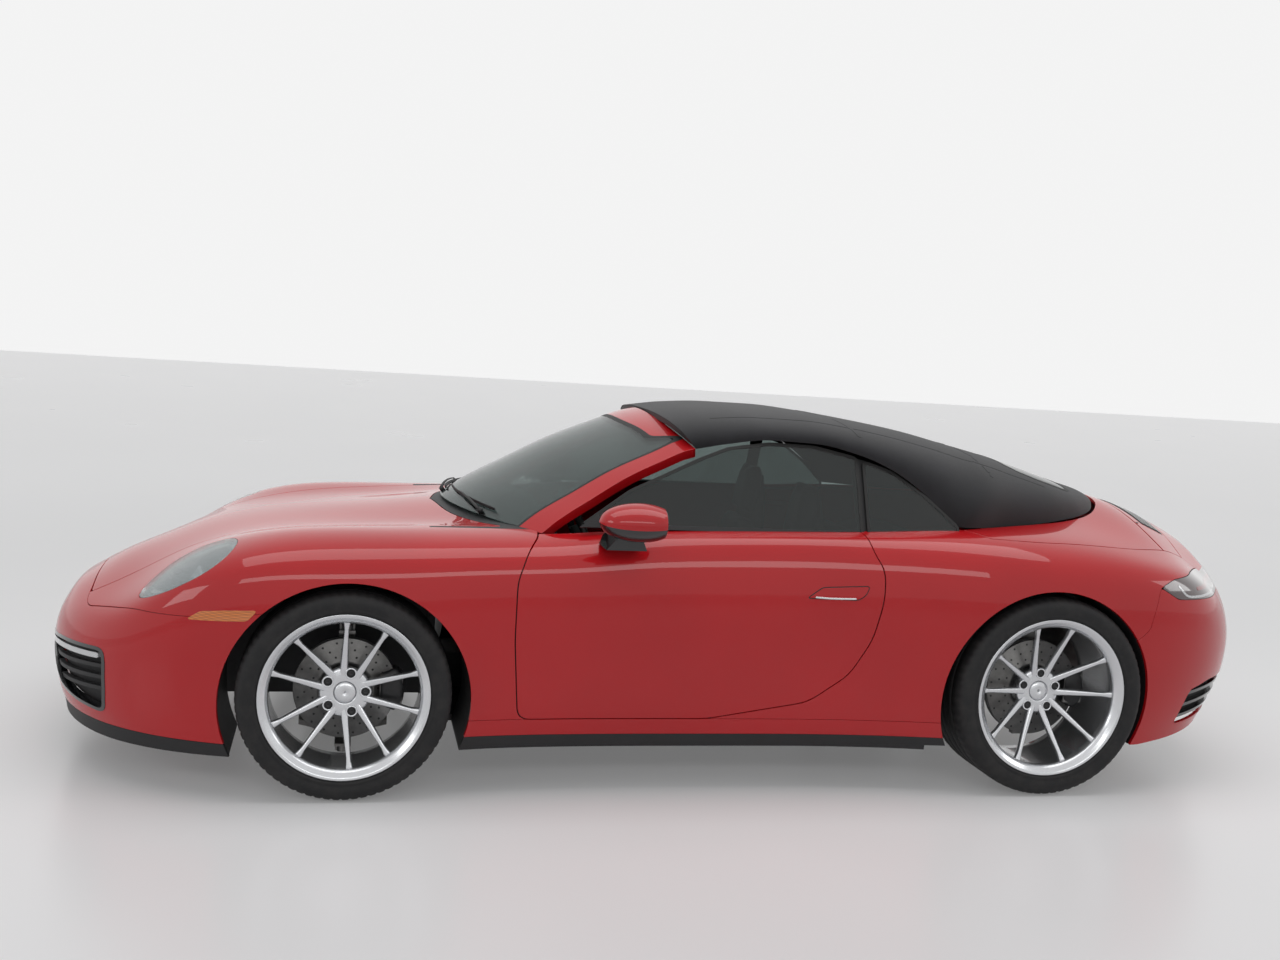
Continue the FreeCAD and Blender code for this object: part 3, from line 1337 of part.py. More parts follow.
def wheel_profile(rim_half, seat, disc_radius):
    """Half section of wheel, hub and brake disc as (radius, distance outwards)."""
    flange = seat + D.rim_flange
    inside = seat - D.rim_wall
    face = D.hub_face
    disc_near = -(D.disc_offset + D.disc_thickness * HALF)
    disc_far = -(D.disc_offset - D.disc_thickness * HALF)
    web_front = rim_half - D.rim_lip - D.rim_lip * HALF
    return [
        (D.hub_bore, -D.hub_back), (D.centre_cap_radius * 2 - D.rim_wall, -D.hub_back),
        (D.centre_cap_radius * 2 - D.rim_wall, disc_near), (disc_radius, disc_near), (disc_radius, disc_far),
        (D.hub_radius, disc_far), (D.hub_radius, face - D.web_thickness), (inside, web_front - D.web_thickness),
        (inside, -(rim_half - D.rim_lip)), (seat, -rim_half), (flange, -rim_half),
        (flange, -(rim_half - D.rim_lip)), (seat, -(rim_half - D.rim_lip - D.rim_wall)),
        (seat, rim_half - D.rim_lip - D.rim_wall), (flange, rim_half - D.rim_lip), (flange, rim_half),
        (seat, rim_half), (inside, web_front), (D.hub_radius, face), (D.centre_cap_radius, face),
        (D.centre_cap_radius, face - D.hub_dish), (0, face - D.hub_dish), (0, face - D.web_thickness),
        (D.hub_bore, face - D.web_thickness),
    ]


def tyre_profile(rim_half, seat, radius, half):
    play = D.panel_joint
    bead = seat + play
    flange = seat + D.rim_flange
    lip = rim_half - D.rim_lip - play * 2
    outside = [
        (radius, half - D.shoulder_width * 2), (radius - D.shoulder_drop, half - D.shoulder_width),
        (radius - D.shoulder_depth, half - D.sidewall_bulge * HALF), (radius - D.shoulder_depth * 2, half),
        (flange + play * 2, half - D.sidewall_bulge), (flange, lip), (bead, lip - D.rim_wall),
    ]
    return [(r, -outward) for r, outward in reversed(outside)] + outside


def revolve(body, name, corners, outward):
    sketch = sketch_on(body, f"{name}Profile", "XY_Plane", [(r, o * outward) for r, o in corners])
    turn = body.newObject("PartDesign::Revolution", name)
    turn.Profile = sketch
    turn.ReferenceAxis = (sketch, ["V_Axis"])
    turn.Angle = FULL_TURN
    return turn


def polar(radius, degrees):
    return (radius * math.cos(math.radians(degrees)), radius * math.sin(math.radians(degrees)))


def crossing(p, q, r, t):
    """Where the line through p and q meets the line through r and t."""
    a, b = (q[0] - p[0], q[1] - p[1]), (t[0] - r[0], t[1] - r[1])
    scale = ((r[0] - p[0]) * b[1] - (r[1] - p[1]) * b[0]) / (a[0] * b[1] - a[1] * b[0])
    return (p[0] + a[0] * scale, p[1] + a[1] * scale)


def spoke_edge(lug_angle, rim_angle, side, outer):
    """One edge of a spoke that runs from a wheel bolt out to the rim, as two points."""
    lug = float(D.lug_circle)
    a, b = polar(lug, lug_angle), polar(outer, rim_angle)
    run = math.hypot(b[0] - a[0], b[1] - a[1])
    nx, ny = -(b[1] - a[1]) / run * side, (b[0] - a[0]) / run * side
    root, tip = float(D.spoke_root_width) * HALF, float(D.spoke_width) * HALF
    return ((a[0] + nx * root, a[1] + ny * root), (b[0] + nx * tip, b[1] + ny * tip))


def rim_points(radius, start, end, steps):
    return [polar(radius, start + (end - start) * i / steps) for i in range(steps + 1)]


def windows(outer):
    """Outlines of the opening inside one pair of spokes and of the opening between two pairs."""
    fifth = FULL_TURN / D.spoke_pairs
    tenth = fifth * HALF * HALF
    left = spoke_edge(0, tenth, -1, outer)
    right = spoke_edge(0, -tenth, 1, outer)
    tip = crossing(*left, *right)
    top = math.degrees(math.atan2(left[1][1], left[1][0]))
    inside = [tip] + rim_points(outer, -top, top, 4)
    low = spoke_edge(0, tenth, 1, outer)
    high = spoke_edge(fifth, fifth - tenth, -1, outer)
    start = math.degrees(math.atan2(low[1][1], low[1][0]))
    hub = float(D.hub_radius) + float(D.hub_dish)
    reach_low = low[0]
    reach_high = high[0]
    gate_low = polar(hub, fifth * THIRD)
    gate_high = polar(hub, fifth - fifth * THIRD)
    near_low = crossing(reach_low, low[1], polar(hub, 0), gate_low)
    near_high = crossing(reach_high, high[1], polar(hub, fifth), gate_high)
    between = [gate_low, near_low] + rim_points(outer, start, fifth - start, 4) + [near_high, gate_high]
    return inside, between


def make_wheel(label, axle, plane, side, radius, seat, rim_half, disc_radius):
    body = body_at(label, axle, plane * side, radius)
    outward = side
    revolve(body, f"{label}Form", wheel_profile(rim_half, seat, disc_radius), outward)
    doc.recompute()
    outer = float(seat - D.rim_wall - D.rim_lip)
    for number, outline in enumerate(windows(outer)):
        sketch = sketch_on(body, f"{label}Window{number}", "XZ_Plane", outline)
        cut = body.newObject("PartDesign::Pocket", f"{label}Opening{number}")
        cut.Profile = sketch
        bind(cut, "Length", rim_half + D.rim_lip)
        cut.Reversed = side < 0
        doc.recompute()
        pattern = body.newObject("PartDesign::PolarPattern", f"{label}Openings{number}")
        pattern.Originals = [cut]
        pattern.Axis = (sketch, ["N_Axis"])
        pattern.Angle = FULL_TURN
        pattern.Occurrences = int(D.spoke_pairs)
        body.Tip = pattern
        doc.recompute()
    return body


for axle_name, axle, plane, radius, seat, tyre_width, disc_radius in (
        ("front", FRONT_AXLE, D.front_wheel_plane, D.front_tyre_radius, D.front_rim_radius, D.front_tyre_width,
         D.front_disc_radius),
        ("rear", REAR_AXLE, D.rear_wheel_plane, D.rear_tyre_radius, D.rear_rim_radius, D.rear_tyre_width,
         D.rear_disc_radius)):
    for side_name, side in (("left", -1), ("right", 1)):
        half = tyre_width * HALF
        rim_half = half - D.rim_inset
        label = f"{axle_name.title()}{side_name.title()}"
        node(f"wheel_{axle_name}_{side_name}",
             make_wheel(f"Wheel{label}", axle, plane, side, radius, seat, rim_half, disc_radius))
        tyre = body_at(f"Tyre{label}", axle, plane * side, radius)
        revolve(tyre, f"Tyre{label}Form", tyre_profile(rim_half, seat, radius, half), side)
        node(f"tyre_{axle_name}_{side_name}", tyre)

# Suspension


def bar(name, start, end, radius):
    run = end - start
    return rod(name, start, tuple(run.normalize()), radius, (end - start).Length)


def knuckle_parts(axle, plane, side, radius, kingpins):
    """Hub carrier inboard of the brake disc, with the spindle and the brake caliper around the disc's edge."""
    x, wheel_y, z = float(axle), float(plane) * side, float(radius)
    pin_y = wheel_y - side * float(D.kingpin_inset)
    disc = float(D.front_disc_radius if kingpins else D.rear_disc_radius)
    tab = disc + float(D.kingpin_radius) * 2
    inner = wheel_y - side * (float(D.hub_back) + float(D.carrier_gap))
    deep = float(D.carrier_depth)
    wide = float(D.carrier_width)
    parts = [sided_box(x - wide, x + wide, inner - side * deep, inner, z - tab, z + tab)]
    spindle_reach = float(D.hub_back) + float(D.carrier_gap) + float(D.hub_face) - float(D.web_thickness)
    parts.append(Part.makeCylinder(float(D.hub_bore) - float(D.running_play), spindle_reach - float(D.running_play),
                                   point(x, inner, z), point(0, side, 0)))
    if kingpins:
        pin = float(D.kingpin_radius)
        plate = float(D.kingpin_radius)
        for end in (-1, 1):
            low = min(z + end * tab, z + end * (tab + plate))
            parts.append(sided_box(x - wide, x + wide, inner - side * deep, pin_y + side * pin * 2, low, low + plate))
            start = z + end * (tab + plate)
            parts.append(Part.makeCylinder(pin, plate * 2, point(x, pin_y, start), point(0, 0, end)))
    middle = wheel_y - side * float(D.disc_offset)
    half_gap = float(D.disc_thickness) * HALF + float(D.running_play)
    thick = float(D.caliper_plate)
    arm = sided_box(x, x + disc, inner - side * deep, middle - side * half_gap, z - wide * 2, z + wide * 2)
    bridge = sided_box(x + disc + float(D.running_play) * 4, x + disc + thick, middle - side * (half_gap + thick),
                       middle + side * (half_gap + thick), z - wide * 2, z + wide * 2)
    near = sided_box(x + disc - thick * 3, x + disc + thick, middle - side * (half_gap + thick),
                     middle - side * half_gap, z - wide * 2, z + wide * 2)
    far = sided_box(x + disc - thick * 3, x + disc + thick, middle + side * half_gap,
                    middle + side * (half_gap + thick), z - wide * 2, z + wide * 2)
    foot = sided_box(x, x + disc - thick, inner - side * deep, inner, z - wide, z + wide)
    link = sided_box(x + disc - thick * 3, x + disc - thick, inner - side * deep, middle - side * half_gap,
                     z - wide, z + wide)
    shape = parts[0]
    for piece in parts[1:] + [bridge, near, far, foot, link]:
        shape = shape.fuse(piece)
    return shape.removeSplitter()


def sided_box(x0, x1, y0, y1, z0, z1):
    return upright_box(min(x0, x1), max(x0, x1), min(y0, y1), max(y0, y1), min(z0, z1), max(z0, z1))


for side_name, side in (("left", -1), ("right", 1)):
    solid_node(f"knuckle_{side_name}",
               knuckle_parts(FRONT_AXLE, D.front_wheel_plane, side, D.front_tyre_radius, True))
rear_carriers = [knuckle_parts(REAR_AXLE, D.rear_wheel_plane, side, D.rear_tyre_radius, False)
                 for side in (-1, 1)]
solid_node("rear_hub_carriers", Part.makeCompound(rear_carriers))
tab_top = D.front_disc_radius + D.kingpin_radius * 2 + D.kingpin_radius


def flat_plate(corners, low, thickness):
    """Level plate with straight sides, from its lower face up."""
    places = [point(x, y, low) for x, y in corners]
    return Part.Face(Part.makePolygon(places + places[:1])).extrude(point(0, 0, thickness))


def wishbone(side, end):
    """Arm with an eye on the kingpin, a narrow neck that clears the turned wheel and a wide foot at the tub."""
    axle = float(FRONT_AXLE)
    thick = float(D.kingpin_radius)
    neck = float(D.arm_neck)
    spread = float(D.arm_spread)
    opening = float(D.arm_window)
    eye_y = float((D.front_wheel_plane - D.kingpin_inset) * side)
    eye_z = float(D.front_tyre_radius) + end * (float(tab_top) + float(D.running_play))
    foot_y = side * float(D.tub_half_width)
    neck_y = eye_y - side * float(D.arm_neck_reach)
    low = eye_z if end > 0 else eye_z - thick * 2
    eye = Part.makeCylinder(thick * 2, thick * 2, point(axle, eye_y, eye_z), point(0, 0, end))
    plate = flat_plate([(axle - neck, eye_y), (axle - neck, neck_y), (axle - spread, foot_y),
                        (axle + spread, foot_y), (axle + neck, neck_y), (axle + neck, eye_y)], low, thick * 2)
    window = flat_plate([(axle, neck_y), (axle - opening, foot_y + side * thick * 2),
                         (axle + opening, foot_y + side * thick * 2)], low - thick, thick * 4)
    bore = Part.makeCylinder(thick + float(D.running_play), thick * 6, point(axle, eye_y, low - thick * 2))
    return eye.fuse(plate).cut(window).cut(bore).removeSplitter()


arms = [wishbone(side, end) for side in (-1, 1) for end in (1, -1)]
lower_mounts = []
for side in (-1, 1):
    lower_mounts.append(sided_box(float(FRONT_AXLE) - float(D.arm_spread), float(FRONT_AXLE) + float(D.arm_spread),
                                  side * (float(D.rail_centre) - float(D.rail_width) * HALF),
                                  side * float(D.tub_half_width),
                                  float(D.front_tyre_radius) - float(tab_top) - float(D.kingpin_radius) * 2
                                  - float(D.running_play),
                                  float(D.tub_floor) - float(D.rail_height)))
node("front_frame", join("FrontFrame", front_frame))
solid_node("front_arms", Part.makeCompound(arms + lower_mounts))
rear_links = []
for side in (-1, 1):
    inner = float(D.rear_wheel_plane) - float(D.hub_back) - float(D.carrier_gap) - float(D.carrier_depth)
    wide = float(D.carrier_width) * HALF
    for z in (float(D.engine_low) + wide, float(D.gearbox_top) - wide):
        rear_links.append(sided_box(float(REAR_AXLE) - wide * 2, float(REAR_AXLE) + wide * 2,
                                    side * float(D.gearbox_half_width), side * inner, z - wide, z + wide))
solid_node("rear_links", Part.makeCompound(rear_links))

# Every sub-part is checked before anything is written

doc.recompute()
faults = [thing.Label for thing in doc.Objects if {"Invalid", "Error"} & set(thing.State)]
faults += [label for label, thing in nodes.items() if thing.Shape.isNull() or not thing.Shape.isValid()]
if faults:
    raise RuntimeError(f"failed: {faults}")
os.makedirs("parts", exist_ok=True)
for label, thing in nodes.items():
    thing.Shape.exportStep(f"parts/{label}.step")
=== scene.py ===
import json
import math

import bmesh
import bpy
import numpy as np
from mathutils import Matrix, Vector


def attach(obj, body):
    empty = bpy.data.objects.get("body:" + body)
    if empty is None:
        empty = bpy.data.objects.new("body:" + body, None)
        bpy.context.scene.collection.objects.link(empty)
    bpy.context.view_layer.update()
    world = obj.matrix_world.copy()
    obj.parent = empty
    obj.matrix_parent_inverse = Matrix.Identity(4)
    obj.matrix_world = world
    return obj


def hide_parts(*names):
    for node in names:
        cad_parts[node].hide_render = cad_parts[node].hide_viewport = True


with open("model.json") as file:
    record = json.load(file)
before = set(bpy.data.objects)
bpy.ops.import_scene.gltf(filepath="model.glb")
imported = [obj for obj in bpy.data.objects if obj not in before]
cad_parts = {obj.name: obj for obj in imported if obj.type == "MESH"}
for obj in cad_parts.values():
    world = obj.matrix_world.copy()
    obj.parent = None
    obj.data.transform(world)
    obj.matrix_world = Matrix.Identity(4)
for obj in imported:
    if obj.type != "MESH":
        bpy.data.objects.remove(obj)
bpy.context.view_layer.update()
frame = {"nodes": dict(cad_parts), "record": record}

bl_info = {
    "name": "Convertible Car",
    "version": (1, 0, 0),
    "blender": (4, 5, 0),
    "location": "3D View > Sidebar > Convertible",
    "description": "Dresses a two-door convertible with paint, glass, wheels, lamps, cabin and fabric top",
    "category": "Add Mesh",
}

# Overall sizes in metres. The nose points to -X, the driver's side to -Y.

CAR_LENGTH = 4.519
BODY_WIDTH = 1.852
CAR_HEIGHT = 1.297
HALF_WIDTH = BODY_WIDTH / 2
NOSE_X = -CAR_LENGTH / 2
FRONT_AXLE = NOSE_X + 1.007
REAR_AXLE = FRONT_AXLE + 2.45


class CarSizes(bpy.types.PropertyGroup):
    """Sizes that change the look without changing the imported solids."""

    panel_depth: bpy.props.FloatProperty(
        name="Panel depth", description="How deep a body panel's edge turns in", default=0.012, unit="LENGTH")
    lid_gap: bpy.props.FloatProperty(
        name="Lid gap", description="Gap around the lids", default=0.005, unit="LENGTH")
    deck_gap: bpy.props.FloatProperty(
        name="Deck gap", description="Gap around the engine lid", default=0.010, unit="LENGTH")
    door_gap: bpy.props.FloatProperty(
        name="Door gap", description="Gap around the doors", default=0.005, unit="LENGTH")
    tread_depth: bpy.props.FloatProperty(
        name="Tread depth", description="Depth of the grooves round a tyre", default=0.006, unit="LENGTH")
    spoke_depth: bpy.props.FloatProperty(
        name="Spoke depth", description="Thickness of a wheel spoke", default=0.022, unit="LENGTH")


class CarColours(bpy.types.PropertyGroup):
    """Colours that a user would change."""

    paint: bpy.props.FloatVectorProperty(
        name="Paint", description="Body colour", default=(0.48, 0.006, 0.010), subtype="COLOR", min=0, max=1)
    fabric: bpy.props.FloatVectorProperty(
        name="Top cloth", description="Colour of the fabric top", default=(0.012, 0.012, 0.014), subtype="COLOR",
        min=0, max=1)
    leather: bpy.props.FloatVectorProperty(
        name="Leather", description="Colour of the seats", default=(0.016, 0.015, 0.015), subtype="COLOR",
        min=0, max=1)
    wheels: bpy.props.FloatVectorProperty(
        name="Wheels", description="Colour of the alloy wheels", default=(0.62, 0.63, 0.65), subtype="COLOR",
        min=0, max=1)
    floor: bpy.props.FloatVectorProperty(
        name="Floor", description="Colour of the studio floor", default=(0.70, 0.70, 0.71), subtype="COLOR",
        min=0, max=1)


def sizes():
    return bpy.context.scene.car_sizes


def colours():
    return bpy.context.scene.car_colours


# Meshes from arrays


def make_object(name, points, faces, finish, normals=None):
    """Smooth object of one finish from points and one or more arrays of faces, with its own normals if given."""
    mesh = bpy.data.meshes.new(name)
    groups = [np.asarray(group, dtype=np.int32) for group in (faces if isinstance(faces, list) else [faces])]
    groups = [group for group in groups if len(group)]
    corners = np.concatenate([group.ravel() for group in groups])
    counts = np.concatenate([np.full(len(group), group.shape[1], dtype=np.int32) for group in groups])
    starts = np.concatenate([[0], np.cumsum(counts)[:-1]]).astype(np.int32)
    mesh.vertices.add(len(points))
    mesh.vertices.foreach_set("co", np.asarray(points, dtype=np.float32).ravel())
    mesh.loops.add(len(corners))
    mesh.loops.foreach_set("vertex_index", corners)
    mesh.polygons.add(len(counts))
    mesh.polygons.foreach_set("loop_start", starts)
    mesh.polygons.foreach_set("loop_total", counts)
    mesh.polygons.foreach_set("use_smooth", np.full(len(counts), True))
    mesh.materials.append(finish)
    mesh.update(calc_edges=True)
    mesh.validate()
    if normals is not None:
        mesh.normals_split_custom_set_from_vertices(np.asarray(normals, dtype=np.float32))
    thing = bpy.data.objects.new(name, mesh)
    bpy.context.scene.collection.objects.link(thing)
    return thing


def grid_faces(rows, columns, closed=False):
    """Quads of a grid of points kept row by row, whose columns may close on themselves."""
    i, j = np.meshgrid(np.arange(rows - 1), np.arange(columns if closed else columns - 1), indexing="ij")
    beside = (j + 1) % columns
    quads = [i * columns + j, (i + 1) * columns + j, (i + 1) * columns + beside, i * columns + beside]
    return np.stack(quads, -1).reshape(-1, 4)


def tube_faces(rows, columns):
    """Faces of a tube kept ring by ring, with a flat face over each end."""
    ring = np.arange(columns)
    return [grid_faces(rows, columns, closed=True), np.array([ring[::-1], (rows - 1) * columns + ring])]


def pad_section(turn, power):
    """Sideways and upward shares round a section between an ellipse and a box: the power squares its corners."""
    across, up = np.cos(turn), np.sin(turn)
    return np.sign(across) * np.abs(across) ** power, np.sign(up) * np.abs(up) ** power


def joined(parts):
    """One list of points and faces from several."""
    points = []
    faces = []
    first = 0
    for part_points, part_faces in parts:
        points.append(part_points.reshape(-1, 3))
        faces.append([group + first for group in part_faces])
        first += len(points[-1])
    by_size = {}
    for groups in faces:
        for group in groups:
            by_size.setdefault(group.shape[1], []).append(group)
    return np.concatenate(points), [np.concatenate(groups) for groups in by_size.values()]


def lathe(profile, steps, place=(0, 0, 0)):
    """Solid of revolution about an axle along Y: each profile point (radius, outward) is carried round a circle.

    A closed profile repeats its first point."""
    profile = np.asarray(profile, dtype=float)
    turn = np.linspace(0, 2 * np.pi, steps, endpoint=False)
    x = np.outer(profile[:, 0], np.cos(turn))
    z = np.outer(profile[:, 0], np.sin(turn))
    y = np.repeat(profile[:, 1:2], steps, axis=1)
    return np.stack([x, y, z], -1) + place, [grid_faces(len(profile), steps, closed=True)]


def round_bar(path, radii, steps=12, squash=1.0):
    """Tube along a path: a circle of the given radius stands square to the path at each of its points."""
    path = np.asarray(path, dtype=float)
    run = np.gradient(path, axis=0)
    run /= np.linalg.norm(run, axis=1, keepdims=True)
    helper = np.where(np.abs(run[:, 2:3]) < 0.9, [[0.0, 0.0, 1.0]], [[1.0, 0.0, 0.0]])
    side = np.cross(run, helper)
    side /= np.linalg.norm(side, axis=1, keepdims=True)
    up = np.cross(side, run)
    turn = np.linspace(0, 2 * np.pi, steps, endpoint=False)
    radii = np.broadcast_to(np.asarray(radii, dtype=float), (len(path),))
    ring = side[:, None] * np.cos(turn)[None, :, None] + up[:, None] * (squash * np.sin(turn))[None, :, None]
    points = path[:, None] + ring * radii[:, None, None]
    return points.reshape(-1, 3), [group[:, ::-1] for group in tube_faces(len(path), steps)]


BLOCK_STEPS = 8


def rounded_block(low, high, radius):
    """Box with round edges: every point of a cube's grid is moved to a smaller box and then out by the radius."""
    low = np.asarray(low, dtype=float)
    high = np.asarray(high, dtype=float)
    share = np.linspace(-1, 1, BLOCK_STEPS)
    share = np.sign(share) * np.abs(share) ** 0.6
    a, b = np.meshgrid(share, share, indexing="ij")
    one = np.ones_like(a)
    sides = [(a, b, one), (b, a, -one), (b, one, a), (a, -one, b), (one, a, b), (-one, b, a)]
    centre = (low + high) / 2
    half = (high - low) / 2
    radius = min(radius, *half)
    parts = []
    for side in sides:
        cube = np.stack(side, -1).reshape(-1, 3)
        core = cube * half
        inner = np.clip(core, -(half - radius), half - radius)
        away = core - inner + cube * 1e-9
        away /= np.linalg.norm(away, axis=1, keepdims=True)
        parts.append((centre + inner + away * radius, [grid_faces(BLOCK_STEPS, BLOCK_STEPS)]))
    return joined(parts)


def weld(thing, distance=1e-5):
    """Merges a piece's doubled points and turns its faces outwards."""
    shape = bmesh.new()
    shape.from_mesh(thing.data)
    bmesh.ops.remove_doubles(shape, verts=shape.verts, dist=distance)
    bmesh.ops.recalc_face_normals(shape, faces=shape.faces)
    shape.to_mesh(thing.data)
    shape.free()
    return thing


def bake_modifier(thing, kind, **settings):
    """Adds a modifier and applies it at once."""
    modifier = thing.modifiers.new(kind.title(), kind)
    for key, value in settings.items():
        setattr(modifier, key, value)
    with bpy.context.temp_override(object=thing, active_object=thing, selected_objects=[thing]):
        bpy.ops.object.modifier_apply(modifier=modifier.name)
    return thing


def fit(thing, body, slot, *nodes):
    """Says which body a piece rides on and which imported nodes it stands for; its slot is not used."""
    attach(thing, body)
    if nodes:
        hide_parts(*nodes)
    return thing


# Materials


class Wire:
    """An output of a node. Sums on wires add their Math nodes."""

    def __init__(self, shader, socket):
        self.shader = shader
        self.socket = socket

    def sum(self, operation, *others):
        return self.shader.add("ShaderNodeMath", {"operation": operation}, *others)

    def __add__(self, other):
        return self.sum("ADD", self, other)

    def __radd__(self, other):
        return self.sum("ADD", other, self)

    def __sub__(self, other):
        return self.sum("SUBTRACT", self, other)

    def __rsub__(self, other):
        return self.sum("SUBTRACT", other, self)

    def __mul__(self, other):
        return self.sum("MULTIPLY", self, other)

    def __rmul__(self, other):
        return self.sum("MULTIPLY", other, self)

    def __pow__(self, other):
        return self.sum("POWER", self, other)

    def between(self, low, high):
        """0 below low, 1 above high and a smooth step from one to the other."""
        return self.shader.add("ShaderNodeMapRange", {"interpolation_type": "SMOOTHSTEP"}, self, low, high, 0.0, 1.0)


class Shader:
    """A material's nodes, ending in one Principled surface."""

    def __init__(self, name, **values):
        self.material = bpy.data.materials.new(name)
        self.material.use_nodes = True
        self.tree = self.material.node_tree
        self.surface = self.tree.nodes["Principled BSDF"]
        self.out = self.tree.nodes["Material Output"]
        for key, value in values.items():
            self.feed(key.replace("_", " ").title().replace("Ior", "IOR"), value)

    def feed(self, socket, value):
        """Sets one socket of the surface, or links a wire to it."""
        entry = self.surface.inputs[socket]
        if isinstance(value, Wire):
            self.tree.links.new(value.socket, entry)
        else:
            entry.default_value = (*value, 1) if isinstance(value, (tuple, list)) and len(value) == 3 else value
        return self

    def add(self, kind, settings, *values, out=0, **named):
        """A node of one type, with its settings, then values or wires for its sockets in order or by name."""
        node = self.tree.nodes.new(kind)
        for key, value in settings.items():
            if key == "stops":
                ramp = node.color_ramp
                while len(ramp.elements) < len(value):
                    ramp.elements.new(0.5)
                for element, (place, colour) in zip(ramp.elements, value):
                    element.position = place
                    element.color = (*colour, 1)
            else:
                setattr(node, key, value)
        pairs = list(enumerate(values)) + [(key.replace("_", " "), value) for key, value in named.items()]
        for key, value in pairs:
            entry = node.inputs[key]
            if isinstance(value, Wire):
                self.tree.links.new(value.socket, entry)
            elif isinstance(value, (tuple, list)) and len(value) == 3 and entry.type == "RGBA":
                entry.default_value = (*value, 1)
            else:
                entry.default_value = value
        return Wire(self, node.outputs[out])

    def place(self, scale=1):
        """Object coordinates in metres, scaled."""
        spot = self.add("ShaderNodeTexCoord", {}, out="Object")
        return self.add("ShaderNodeMapping", {}, Vector=spot, Scale=(scale, scale, scale))

    def axes(self, wire):
        node = self.tree.nodes.new("ShaderNodeSeparateXYZ")
        self.tree.links.new(wire.socket, node.inputs[0])
        return [Wire(self, output) for output in node.outputs]

    def noise(self, scale, detail=2.0, rough=0.5, vector=None):
        return self.add("ShaderNodeTexNoise", {}, Vector=vector or self.place(), Scale=scale, Detail=detail,
                        Roughness=rough)

    def mix(self, share, first, second):
        """Blend of two colours."""
        node = self.tree.nodes.new("ShaderNodeMix")
        node.data_type = "RGBA"
        for key, value in (("Factor_Float", share), ("A_Color", first), ("B_Color", second)):
            entry = next(i for i in node.inputs if i.identifier == key)
            if isinstance(value, Wire):
                self.tree.links.new(value.socket, entry)
            else:
                entry.default_value = (*value, 1) if isinstance(value, (tuple, list)) else value
        return Wire(self, next(o for o in node.outputs if o.identifier == "Result_Color"))

    def bump(self, height, strength, depth):
        normal = self.add("ShaderNodeBump", {}, Strength=strength, Distance=depth, Height=height)
        return self.feed("Normal", normal)


def shade(colour, factor):
    return tuple(channel * factor for channel in colour)


def paint_material():
    """Deep gloss paint under clear lacquer, with a faint unevenness as sprayed paint has."""
    base = tuple(colours().paint)
    shader = Shader("body_paint", roughness=0.4, coat_weight=0.8, coat_roughness=0.02, specular_ior_level=0.08)
    cloud = shader.noise(2.2, 2.0)
    shader.feed("Base Color", shader.mix(cloud.between(0.3, 0.7), shade(base, 0.93), base))
    peel = shader.noise(420.0, 1.0)
    return shader.bump(peel, 0.03, 0.0002).material


def plastic_material(name, colour, roughness, grain=900.0, strength=0.25):
    """Moulded plastic with a fine grain and a slightly uneven sheen."""
    shader = Shader(name, specular_ior_level=0.4)
    cloud = shader.noise(14.0, 3.0)
    shader.feed("Base Color", shader.mix(cloud.between(0.3, 0.7), shade(colour, 0.85), shade(colour, 1.12)))
    shader.feed("Roughness", cloud * 0.12 + (roughness - 0.06))
    return shader.bump(shader.noise(grain, 2.0), strength, 0.0003).material


def gloss_black_material():
    shader = Shader("gloss_black", base_color=(0.006, 0.006, 0.007), coat_weight=0.6, coat_roughness=0.04)
    shader.feed("Roughness", shader.noise(60.0, 2.0) * 0.06 + 0.12)
    return shader.material


def rubber_material():
    """Tyre rubber, greyer and rougher where dust holds."""
    shader = Shader("tyre_rubber", specular_ior_level=0.3)
    cloud = shader.noise(18.0, 4.0, 0.6)
    shader.feed("Base Color", shader.mix(cloud.between(0.35, 0.75), (0.013, 0.013, 0.014), (0.026, 0.025, 0.025)))
    shader.feed("Roughness", cloud * 0.2 + 0.56)
    return shader.bump(shader.noise(900.0, 2.0), 0.2, 0.0004).material


def alloy_material(name="wheel_alloy", colour=None, roughness=0.24):
    """Silver lacquered alloy with fine metal flake."""
    base = tuple(colours().wheels) if colour is None else colour
    shader = Shader(name, metallic=0.85, coat_weight=0.6, coat_roughness=0.05)
    flake = shader.noise(2600.0, 0.0)
    cloud = shader.noise(9.0, 2.0)
    shader.feed("Base Color", shader.mix(flake.between(0.35, 0.65), shade(base, 0.9), shade(base, 1.06)))
    shader.feed("Roughness", cloud * 0.08 + (roughness - 0.04))
    return shader.material


def chrome_material():
    shader = Shader("bright_trim", base_color=(0.80, 0.80, 0.81), metallic=1.0)
    shader.feed("Roughness", shader.noise(40.0, 2.0) * 0.05 + 0.06)
    return shader.material


def iron_material(name, colour, roughness=0.5, metallic=0.7):
    """Machined or cast metal with faint blotches."""
    shader = Shader(name, metallic=metallic)
    cloud = shader.noise(30.0, 4.0, 0.6)
    shader.feed("Base Color", shader.mix(cloud.between(0.3, 0.7), shade(colour, 0.75), colour))
    shader.feed("Roughness", cloud * 0.2 + (roughness - 0.1))
    return shader.bump(shader.noise(260.0, 3.0), 0.2, 0.0005).material


